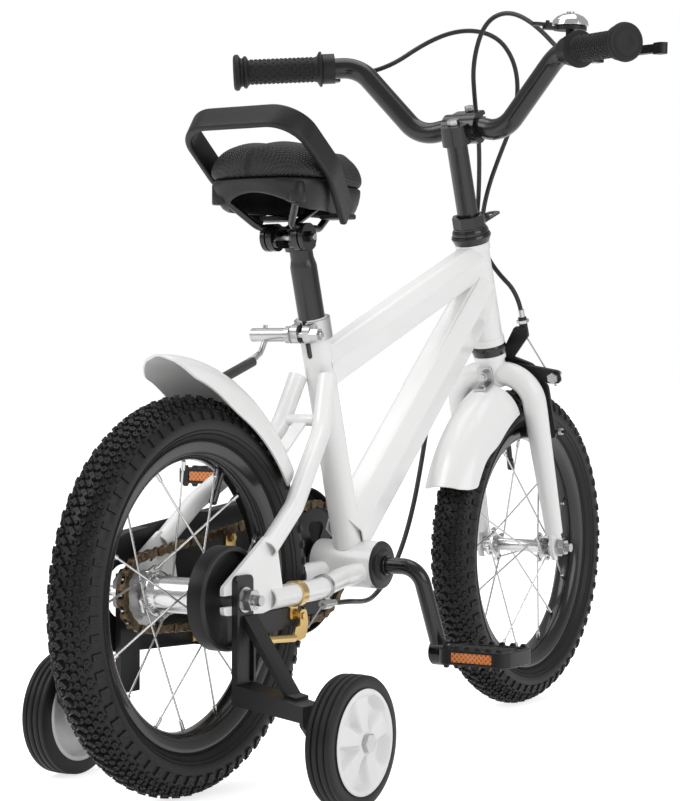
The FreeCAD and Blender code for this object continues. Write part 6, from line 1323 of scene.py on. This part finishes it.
# %% Press the mudguards
def guard_sheet(name, centre, radius, half, depth, start, end, trim, corner, blur, node, body, steps=72):
    """trim is a polygon of (x, z) in mm that the sheet stays out of; corner rounds the tail in plan."""
    def outside(x, z):
        inside = False
        for (x0, z0), (x1, z1) in zip(trim, trim[1:] + trim[:1]):
            if (z0 > z) != (z1 > z) and x < (x1 - x0) * (z - z0) / (z1 - z0) + x0:
                inside = not inside
        return not inside

    stations = [math.radians(start + (end - start) * k / steps) for k in range(steps + 1)]
    trimmed = []
    for angle in stations:
        out = Vector((math.cos(angle), 0, math.sin(angle)))
        low = 0.0
        while low < 86:
            p = centre / MM + out * (radius - depth + depth * math.sin(math.radians(low)))
            if outside(p.x, p.z):
                break
            low += 0.5
        trimmed.append(low)
    soft = []
    for k in range(steps + 1):
        weights = [(math.exp(-((j - k) / blur) ** 2), trimmed[j]) for j in range(steps + 1)]
        soft.append(sum(w * v for w, v in weights) / sum(w for w, v in weights))
    rings = []
    for angle, low in zip(stations, soft):
        out = Vector((math.cos(angle), 0, math.sin(angle)))
        base = centre / MM + out * (radius - depth)
        gone = (stations[-1] - angle) * radius
        if gone < corner:
            round_off = math.sqrt(max(0.0, corner ** 2 - (corner - gone) ** 2))
            widest = half * math.cos(math.radians(low)) - corner + round_off
            low = max(low, math.degrees(math.acos(max(0.02, min(1.0, widest / half)))))
        lines = []
        for wall in (0.0, 2.1):
            line = []
            for j in range(27):
                t = math.radians(low + (180 - 2 * low) * j / 26)
                line.append((base + Vector((0, (half - wall) * math.cos(t),
                                            0)) + out * ((depth - wall) * math.sin(t))) * MM)
            lines.append(line)
        rings.append(lines[0] + list(reversed(lines[1])))
    obj = piece(name, [skin(rings)], body, paint_white, [node], "white_paint", sharp=40)
    soft = obj.modifiers.new("edges", "BEVEL")
    soft.width = 0.6 * MM
    soft.segments = 2
    soft.limit_method = "ANGLE"
    soft.angle_limit = math.radians(50)
    return obj


rear_trim = [(-380, 295), (-268, 295), (-280, 327), (-312, 351), (-344, 367), (-380, 372)]


guard_sheet("rear_mudguard", rear_axle + mm(-36, 0, -11.5), 221.6, 32, 38, 34, 91, rear_trim, 23, 7,
                         "rear_fender", "frame")
front_trim = [(144, 215), (170, 259), (192, 291), (220, 235)]
guard_sheet("front_mudguard", front_axle, 197.0, 33, 36, 113.6, 158, front_trim, 12, 9,
                          "front_fender", "steering")
print("mudguards pressed")

# %% [markdown]
# ## The saddle
# The saddle is a foam cushion under dimpled vinyl, on a glossy moulded tray that is hollow
# underneath. A carrying hoop runs from the tray's sides up behind the rider. The cushion is a
# stack of rings: its outline comes from one smooth curve, pulled in and lifted ring by ring, so
# the sides bulge, the edge tucks under, and two seat pads rise beside a shallow channel.

# %% The saddle's outline
FRONT, REAR = -44.0, -228.0


def smooth_loop(points, per=8):
    """A closed Catmull-Rom curve through the points."""
    n = len(points)
    out = []
    for k in range(n):
        p0, p1, p2, p3 = (Vector(points[(k + j - 1) % n]) for j in range(4))
        for j in range(per):
            t = j / per
            square = (2 * p0 - 5 * p1 + 4 * p2 - p3) * t * t
            cube = (3 * p1 - p0 - 3 * p2 + p3) * t ** 3
            out.append(0.5 * ((2 * p1) + (p2 - p0) * t + square + cube))
    return out


def saddle_loop(inset):
    rear = REAR + inset
    front = FRONT - inset
    w = 57.0 - inset
    n = 23.0 - inset * 0.8
    side = [(rear, 0), (rear + 3, 0.46 * w), (rear + 14, 0.82 * w), (rear + 34, w), (rear + 58, 0.95 * w),
            (rear + 82, 0.72 * w), (rear + 110, 0.5 * w), (front - 42, n + 2), (front - 20, n),
            (front - 5, 0.62 * n), (front, 0)]
    return smooth_loop(side + [(x, -y) for x, y in reversed(side[1:-1])])


def crown_height(x, y):
    """How far the cushion's top stands above its shoulder, in mm."""
    back = max(0.0, min(1.0, (-x - 120) / 70))
    pads = math.exp(-((abs(y) - 24) / 20) ** 2) * back * 2.2
    groove = math.exp(-(y / 7.0) ** 2) * back * 0.8
    dip = math.exp(-((x + 118) / 40) ** 2) * 2.6
    return pads - groove - dip


# %% Build the cushion
cushion_rings = []
for inset, z in ((12.0, 544.9), (7.0, 544.8), (3.2, 545.8), (1.0, 548.4), (0.1, 551.6), (0.4, 555.4),
                 (1.4, 559.4), (3.0, 563.4),
                 (5.4, 567.4), (8.6, 571.2), (12.6, 574.4)):
    cushion_rings.append([Vector((x, y, z)) for x, y in saddle_loop(inset)])
last = cushion_rings[-1]
for share in (0.12, 0.25, 0.4, 0.55, 0.7, 0.85, 0.98):
    ring = []
    for p in last:
        spine = Vector((max(REAR + 52, min(FRONT - 22, p.x)), 0, 0))
        x = p.x + (spine.x - p.x) * share
        y = p.y * (1 - share)
        lift = 574.4 + 5.6 * (1 - (1 - share) ** 2) + crown_height(x, y) * min(1.0, share * 3)
        ring.append(Vector((x, y, min(581.0, lift))))
    cushion_rings.append(ring)
cushion_part = merged(skin([[p * MM for p in ring] for ring in cushion_rings]), 1e-5)


def cushion_uv(co, index):
    drop = max(0.0, 0.577 - co.z)
    return (co.x, co.y + math.copysign(drop, co.y))


cushion = piece("saddle_cushion_vinyl", [cushion_part], "seat", vinyl, ["saddle_cushion"], "cushion_vinyl",
                sharp=80, uv=cushion_uv)
smoother = cushion.modifiers.new("smooth", "SUBSURF")
smoother.levels = 1
smoother.render_levels = 1
print("cushion", len(cushion.data.polygons), "faces")

# %% Mould the tray and its hoop
def arch(x, y):
    """The tray's lower edge rises in an arch across the back, so that its hollow shows."""
    back = max(0.0, min(1.0, (-176 - x) / 34))
    return 15.0 * back * max(0.0, 1 - (y / 45) ** 2)


tray_rings = []
for inset, z in ((6.4, 544.6), (2.2, 544.7), (1.2, 543.0), (1.6, 538.0), (3.0, 531.0), (5.4, 524.5),
                 (8.4, 519.4), (10.8, 517.2),
                 (12.6, 517.4), (13.4, 520.0), (11.0, 527.0), (8.6, 534.0), (7.6, 541.0)):
    down = max(0.0, min(1.0, (544 - z) / 20))
    tray_rings.append([mm(x, y, z + arch(x, y) * down) for x, y in saddle_loop(inset)])
tray_parts = [skin(tray_rings, closed_path=True), skin([[mm(x, y, 541.2) for x, y in saddle_loop(7.4)],
                                                        [mm(x, y, 543.6) for x, y in saddle_loop(6.6)]])]
for s in (1, -1):
    tray_parts.append(rod(mm(REAR + 22, s * 42, 523), mm(REAR + 22, s * 42, 542), 8.0, 24, 1.0))
tray_parts.append(rod(mm(FRONT - 38, 0, 525), mm(FRONT - 38, 0, 542), 15.0, 32, 1.0))
piece("saddle_tray", tray_parts, "seat", plastic, ["saddle_base"], "black_plastic", sharp=50)

hoop_low, hoop_top = mm(-128, 0, 516), mm(-243, 0, 600)
hoop_way = unit(hoop_top - hoop_low)
hoop_normal = Vector((hoop_way.z, 0, -hoop_way.x))
reach = (hoop_top - hoop_low).length / MM


def hoop_point(along, y):
    return hoop_low + hoop_way * along * MM + Vector((0, y * MM, 0))


hoop_route = [hoop_point(a, y) for a, y in ((0, -46.5), (reach * 0.45, -63.5), (reach - 3.5, -61.5),
                                            (reach - 3.5, 61.5),
                                            (reach * 0.45, 63.5), (0, 46.5))]


def strap_section(share):
    out = []
    for cx, cy, start in ((0.9, 9.4, 0), (-0.9, 9.4, 90), (-0.9, -9.4, 180), (0.9, -9.4, 270)):
        for k in range(6):
            t = math.radians(start + 90 * k / 5)
            out.append((cx + 2.6 * math.cos(t), cy + 2.6 * math.sin(t)))
    return out


hoop_parts = [swept(rounded_path(hoop_route, [0, 60, 30, 30, 60, 0], 5), strap_section, up=hoop_normal)]
for s in (1, -1):
    y0, y1 = sorted((s * 22, s * 50))
    hoop_parts.append(box_part((-138, y0, 511.8), (-116, y1, 516.9), 1.0))
piece("saddle_hoop", hoop_parts, "seat", plastic, ["saddle_handle"], "black_plastic", sharp=40)
print("tray and hoop moulded")

# %% [markdown]
# ## Handlebar, grips and bell
# The bar is one steel tube, bent at six places and painted gloss black. The grips are rubber
# sleeves with a round flange at each end, and rows of small scales that a tree repeats round
# and along the sleeve. The bell has a chromed dome on a black base.

# %% Bend the bar
bar_centre = on_head(470.5, 20)


def bar_corner(side, k):
    c = bar_centre
    return [c + mm(-5, side * 50, -6), c + mm(-16.4, side * 120, 71), c + mm(-93, side * 228, 64)][k]


bar_route = [bar_corner(-1, 2), bar_corner(-1, 1), bar_corner(-1, 0), bar_centre + mm(0, -22, 0),
             bar_centre + mm(0, 22, 0),
             bar_corner(1, 0), bar_corner(1, 1), bar_corner(1, 2)]
piece("handlebar_tube", [swept(rounded_path(bar_route, [0, 34, 34, 18, 18, 34, 34, 0], 3),
                               round_section(11.1, 40))],
      "steering", paint_black, ["handlebar"], "black_paint")


def grip_line(side):
    end = bar_corner(side, 2)
    return end, unit(end - bar_corner(side, 1))


# %% Sleeve the grips
scale_mould = stud("grip_scale", 6.2, 3.6, 0.95, 6, 0.7, 0.0)


def grip(side):
    end, out = grip_line(side)
    f, r, n = 19.5, 12.9, 92.0
    profile = [(0.02, 3.4), (5, 3.4), (6, 3.0), (f - 5.5, 3.0), (f - 4.5, 3.5), (f - 2, 3.1), (f - 0.3, 1.4),
               (f, -0.4), (f - 0.4, -2.2),
               (f - 2, -3.4), (r + 2.6, -4.3), (r + 2.2, -6.6), (r + 3.6, -7.6), (r + 4.5, -8.6),
               (r + 4.5, -10.2), (r + 3.4, -11.4), (r, -13),
               (r, -n + 9), (r + 1.2, -n + 5), (f - 1.6, -n + 3.0), (f - 0.5, -n + 2.0), (f - 0.5, -n + 0.6),
               (f - 1.4, -n), (11.2, -n),
               (11.2, 0.02), (0.02, 0.02)]
    parts = [turned(profile, end, out, 72)]
    axis, a, b = square_axes(out)
    turn = Matrix((a, axis, b)).transposed()
    for k in range(15):
        mesh = run_tree(row_board.tree, {
            "Stud": scale_mould, "Count": 12, "Crown radius": (r - 0.35) * MM, "Crown curve": 0.0,
            "Tilt": 0.0,
            "Offset": 0.5 * (k % 2), "Twist": 0.0, "Sink": 0.0, "Seed": 40 + k})
        at = end - out * (16.5 + 4.6 * k) * MM
        points, faces = mesh_part(mesh)
        parts.append(([at + turn @ p for p in points], faces))
    name = "left" if side > 0 else "right"
    return piece(name + "_grip_sleeve", parts, "steering", grip_rubber, [name + "_grip"], "black_rubber",
                 sharp=30)


for s in (1, -1):
    grip(s)
print("grips sleeved")

# %% Chrome the bell
shared("bell", [("screw", zinc, None, lambda lo, hi: size(lo, hi).x < 12),
                ("dome", chrome, "chrome_plate", lambda lo, hi: lo.z > 715),
                ("base", plastic, None, everything)], 0.3)

# %% [markdown]
# ## Brake cables
# Two black cables leave the levers, rise over the stem in loose arches, and drop: one to the
# front caliper and one down behind the head tube and along under the chain stay to the band
# brake. Each is a smooth NURBS curve through a few control points, which bends as a real cable
# does, with no straight runs.

# %% Lever places, then the cables
CABLE_RADIUS = 2.5
FERRULE_RADIUS = 3.1
WIRE_RADIUS = 0.9
CALIPER_UP = 207.0
CALIPER_AHEAD = 30.4


def lever_place(side):
    end, out = grip_line(side)
    centre = end - out * (92 + 0.8 + 6.5) * MM
    ahead = unit(Vector((out.y * side, -out.x * side, 0)))
    if ahead.x < 0:
        ahead = -ahead
    up = unit(out.cross(ahead))
    if up.z < 0:
        up = -up
    return centre, out, ahead, up


def barrel_end(side):
    centre, out, ahead, up = lever_place(side)
    return centre + (ahead * 22 - out * 34.05 - up * 3) * MM, -out


def cable(name, points, radius, node):
    data = bpy.data.curves.new(name, "CURVE")
    data.dimensions = "3D"
    spline = data.splines.new("NURBS")
    spline.points.add(len(points) - 1)
    for point, place in zip(spline.points, points):
        point.co = (*place, 1)
    spline.order_u = 3
    spline.use_endpoint_u = True
    spline.resolution_u = 10
    data.bevel_depth = radius * MM
    data.bevel_resolution = 5
    data.use_fill_caps = True
    source = bpy.data.objects.new(name, data)
    bpy.context.scene.collection.objects.link(source)
    graph = bpy.context.evaluated_depsgraph_get()
    mesh = bpy.data.meshes.new_from_object(source.evaluated_get(graph))
    bpy.data.objects.remove(source)
    mesh.name = name
    mesh.shade_smooth()
    obj = bpy.data.objects.new(name, mesh)
    bpy.context.scene.collection.objects.link(obj)
    obj.data.materials.clear()
    obj.data.materials.append(jacket)
    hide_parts(node)
    return obj


start, way = barrel_end(1)
eye = on_head(CALIPER_UP + 36 + 14.05, CALIPER_AHEAD, -30)
front_route = [start, start + way * 26 * MM] + [mm(*p) for p in (
    (216, 56, 730), (238, 24, 741), (262, 0, 734), (278, -12, 710), (286, -14, 678), (284, -8, 642),
    (276, 4, 606),
    (266, 13, 570), (255, 15, 535), (248, 9, 502), (245, -8, 478))] + [eye + head_up * 26 * MM, eye]
front_cable = cable("front_brake_cable_jacket", front_route, CABLE_RADIUS, "front_brake_cable")
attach(front_cable, "steering")
ferrules = [rod(start - way * 0.5 * MM, start + way * 11 * MM, FERRULE_RADIUS, 20, 0.5),
            rod(eye, eye + head_up * 9 * MM, FERRULE_RADIUS, 20, 0.5)]
low_eye = on_head(CALIPER_UP + 36 - 5.1, CALIPER_AHEAD, -30)
anchor = on_head(CALIPER_UP - 15 - 14, CALIPER_AHEAD, -63 + 4.2)
ferrules.append(rod(low_eye, anchor, WIRE_RADIUS, 10, 0.2))
piece("front_cable_ferrules", ferrules, "steering", zinc)

start, way = barrel_end(-1)
stop = rear_axle + mm(158, -47, -19)
rear_route = [start, start + way * 24 * MM] + [mm(*p) for p in (
    (205, -74, 735), (208, -40, 752), (208, -12, 741), (214, 5, 700), (229, 10, 660), (243, 12, 621),
    (257, 19, 582),
    (267, 26, 543), (265, 32, 502), (253, 34, 462), (226, 37, 420), (194, 36, 374), (166, 30, 324),
    (136, 22, 272),
    (106, 15, 226), (72, 9, 186), (32, 2, 160), (-10, -8, 148), (-54, -26, 148), (-98, -41, 152))]
rear_route += [stop + mm(5.05 + 34, 0.5, -1.0), stop + mm(5.05, 0, 0)]
rear_cable = cable("rear_brake_cable_jacket", rear_route, CABLE_RADIUS, "rear_brake_cable")
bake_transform(rear_cable)
piece("rear_cable_lever_ferrule", [rod(start - way * 0.5 * MM, start + way * 11 * MM, FERRULE_RADIUS, 20,
                                       0.5)], "steering", zinc)
piece("rear_cable_stop_ferrule", [rod(stop + mm(5.05, 0, 0), stop + mm(15, 0, 0), FERRULE_RADIUS, 20, 0.5),
                                  rod(stop + mm(-7.1, 0, 0), rear_axle + mm(115, -54, -36), WIRE_RADIUS, 10,
                                      0.2)], "frame", zinc)
print("cables run")

# %% [markdown]
# ## Training wheels
# Each training wheel is a moulded white disc with a rubber band round it. The disc is dished,
# with five broad raised spokes that fade into the rim and the hub. Its outer face is a height
# map over radius and angle: a formula that says how far the plastic stands out at each place.

# %% Mould a disc from a height formula
def ease(t):
    t = max(0.0, min(1.0, t))
    return t * t * (3 - 2 * t)


def disc_height(r, angle):
    """How far the outer face stands from the wheel's middle plane, in mm."""
    rim_part = ease((r - 37.5) / 4.5)
    hub_part = 1 - ease((r - 9.5) / 6.0)
    turn = (angle - math.pi / 2) % (2 * math.pi / 5)
    off = abs(turn - math.pi / 5)
    half = math.radians(25 - 7 * (r - 12) / 28)
    spoke = ease((off - (math.pi / 5 - half)) / math.radians(9) + 0.5)
    low = 3.2
    high = 12.6 - 2.0 * ease((r - 12) / 26)
    face = low + (high - low) * spoke
    face = face + (14.0 - face) * rim_part
    return face + (15.0 - face) * hub_part


def training_disc(side):
    c = mm(-288, side * 151, 57)
    steps = 180
    radii = [5.1, 5.6, 7.5, 9.5, 10.8, 12, 13.5, 15.5, 18, 21, 24, 27, 30, 33, 35.5, 37.5, 38.6, 39.7, 40.8,
             42, 43.6, 44.9, 45.5]
    rings = []
    for r in radii:
        rings.append([(r, disc_height(r, 2 * math.pi * k / steps) - (0.6 if r > 45.2 or r < 5.3 else 0.0),
                       k) for k in range(steps)])
    back = [(45.5, 13.2), (44.0, 12.9), (44.0, -12.8), (43.4, -13), (40.4, -13), (40.0, -12.4), (40.0, -3.0),
            (13, -3.0), (11.2, -14.2),
            (10.6, -14.5), (5.5, -14.5), (5.1, -14.1)]
    for r, y in back:
        rings.append([(r, y, k) for k in range(steps)])
    shaped = []
    for ring in rings:
        shaped.append([c + mm(r * math.cos(2 * math.pi * k / steps), side * y,
                              r * math.sin(2 * math.pi * k / steps)) for r, y, k in ring])
    name = "left" if side > 0 else "right"
    piece(name + "_training_disc_moulded", [skin(shaped, closed_path=True)], name + "_training_wheel",
          disc_white,
          [name + "_training_disc"], "white_plastic", sharp=50)
    band = [(44.1, -12.9), (52.5, -12.9), (55.2, -12.0)]
    for mid in (-9.2, -3.1, 3.1, 9.2):
        top = 57.0 if abs(mid) < 5 else 56.6
        band += [(top - 1.9, mid - 2.75), (top - 0.5, mid - 2.2), (top, mid - 1.4), (top, mid + 1.4),
                 (top - 0.5, mid + 2.2),
                 (top - 1.9, mid + 2.75)]
    band += [(55.2, 11.8), (52.5, 12.5), (47.2, 12.55), (46.4, 12.1), (44.1, 12.1)]
    piece(name + "_training_band", [turned([(r, side * y) for r, y in band], c, (0, 1, 0), 120)],
          name + "_training_wheel",
          tread_rubber, [name + "_training_tyre"], "tyre_rubber", sharp=50)


for s in (1, -1):
    training_disc(s)
print("training wheels moulded")

# %% [markdown]
# ## Floor, backdrop and light
# The photograph was cut out on white. A floor and the world are white only for what the camera
# and the reflections see; the object itself is lit by three large soft lamps and a dim sky at a
# plain level. The floor still takes the wheels' shadow.

# %% Clear the moulds away
for obj in moulds:
    bpy.data.objects.remove(obj)
moulds.clear()

# %% Lay the floor and the light
floor_mesh = bpy.data.meshes.new("floor")
floor_mesh.from_pydata([(-30, -30, -0.0005), (30, -30, -0.0005), (30, 30, -0.0005), (-30, 30, -0.0005)], [],
                       [(0, 1, 2, 3)])
floor = bpy.data.objects.new("floor", floor_mesh)
bpy.context.scene.collection.objects.link(floor)
floor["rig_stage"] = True
paper = bpy.data.materials.new("white_paper")
paper.use_nodes = True
ground = Board(paper.node_tree)
ground.tree.nodes.clear()
path_node = ground.add("ShaderNodeLightPath").socket.node
seen = ground.math("MAXIMUM", Wire(ground, path_node.outputs["Is Camera Ray"]),
                   ground.math("MAXIMUM", Wire(ground, path_node.outputs["Is Glossy Ray"]),
                               Wire(ground, path_node.outputs["Is Transmission Ray"])))
facing = Wire(ground, path_node.outputs["Is Camera Ray"])
matt = ground.add("ShaderNodeBsdfDiffuse", {}, {"Color": (0.78, 0.78, 0.78)})
glow = ground.add("ShaderNodeEmission", {}, {"Color": (1, 1, 1), "Strength": seen * 0.40 + facing * 0.34})
both = ground.add("ShaderNodeAddShader", {}, {0: matt, 1: glow})
paper_out = ground.tree.nodes.new("ShaderNodeOutputMaterial")
ground.tree.links.new(both.socket, paper_out.inputs["Surface"])
floor_mesh.materials.append(paper)

world = bpy.data.worlds.new("studio")
bpy.context.scene.world = world
world.use_nodes = True
sky = Board(world.node_tree)
sky.tree.nodes.clear()
sky_path = sky.add("ShaderNodeLightPath").socket.node
direct = sky.math("MAXIMUM", Wire(sky, sky_path.outputs["Is Camera Ray"]),
                  Wire(sky, sky_path.outputs["Is Transmission Ray"]))
glossy = Wire(sky, sky_path.outputs["Is Glossy Ray"])
strength = sky.math("MAXIMUM", direct, sky.math("MAXIMUM", glossy * 0.42, 0.62 - glossy))
backdrop = sky.add("ShaderNodeBackground", {}, {"Color": (1, 1, 1), "Strength": strength})
world_out = sky.tree.nodes.new("ShaderNodeOutputWorld")
sky.tree.links.new(backdrop.socket, world_out.inputs["Surface"])


def soft_lamp(name, place, aim, width, height, power):
    data = bpy.data.lights.new(name, "AREA")
    data.shape = "RECTANGLE"
    data.size = width
    data.size_y = height
    data.energy = power
    lamp = bpy.data.objects.new(name, data)
    bpy.context.scene.collection.objects.link(lamp)
    lamp.location = place
    lamp.rotation_mode = "QUATERNION"
    lamp.rotation_quaternion = (Vector(aim) - Vector(place)).to_track_quat("-Z", "Y")
    return lamp


soft_lamp("key_lamp", (-1.9, 1.3, 2.2), (0, 0, 0.35), 1.6, 1.6, 30)
soft_lamp("fill_lamp", (-0.6, -2.4, 1.2), (0, 0, 0.3), 1.8, 1.4, 18)
soft_lamp("top_lamp", (0.2, 0.2, 2.6), (0, 0, 0.3), 2.0, 2.0, 22)
bpy.context.scene.view_settings.view_transform = "Standard"

# %% [markdown]
# ## Check the sizes and finish
# The dressed bike's box is measured and compared with the CAD model's box, and how far each
# corner moved is printed.

# %% Write the sizes, then finish
seen_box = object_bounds()
for label, low, high in (("low", cad_box[0], seen_box[0]), ("high", cad_box[1], seen_box[1])):
    print(label, "corner moved by", [round((b - a) / MM, 1) for a, b in zip(low, high)], "mm")
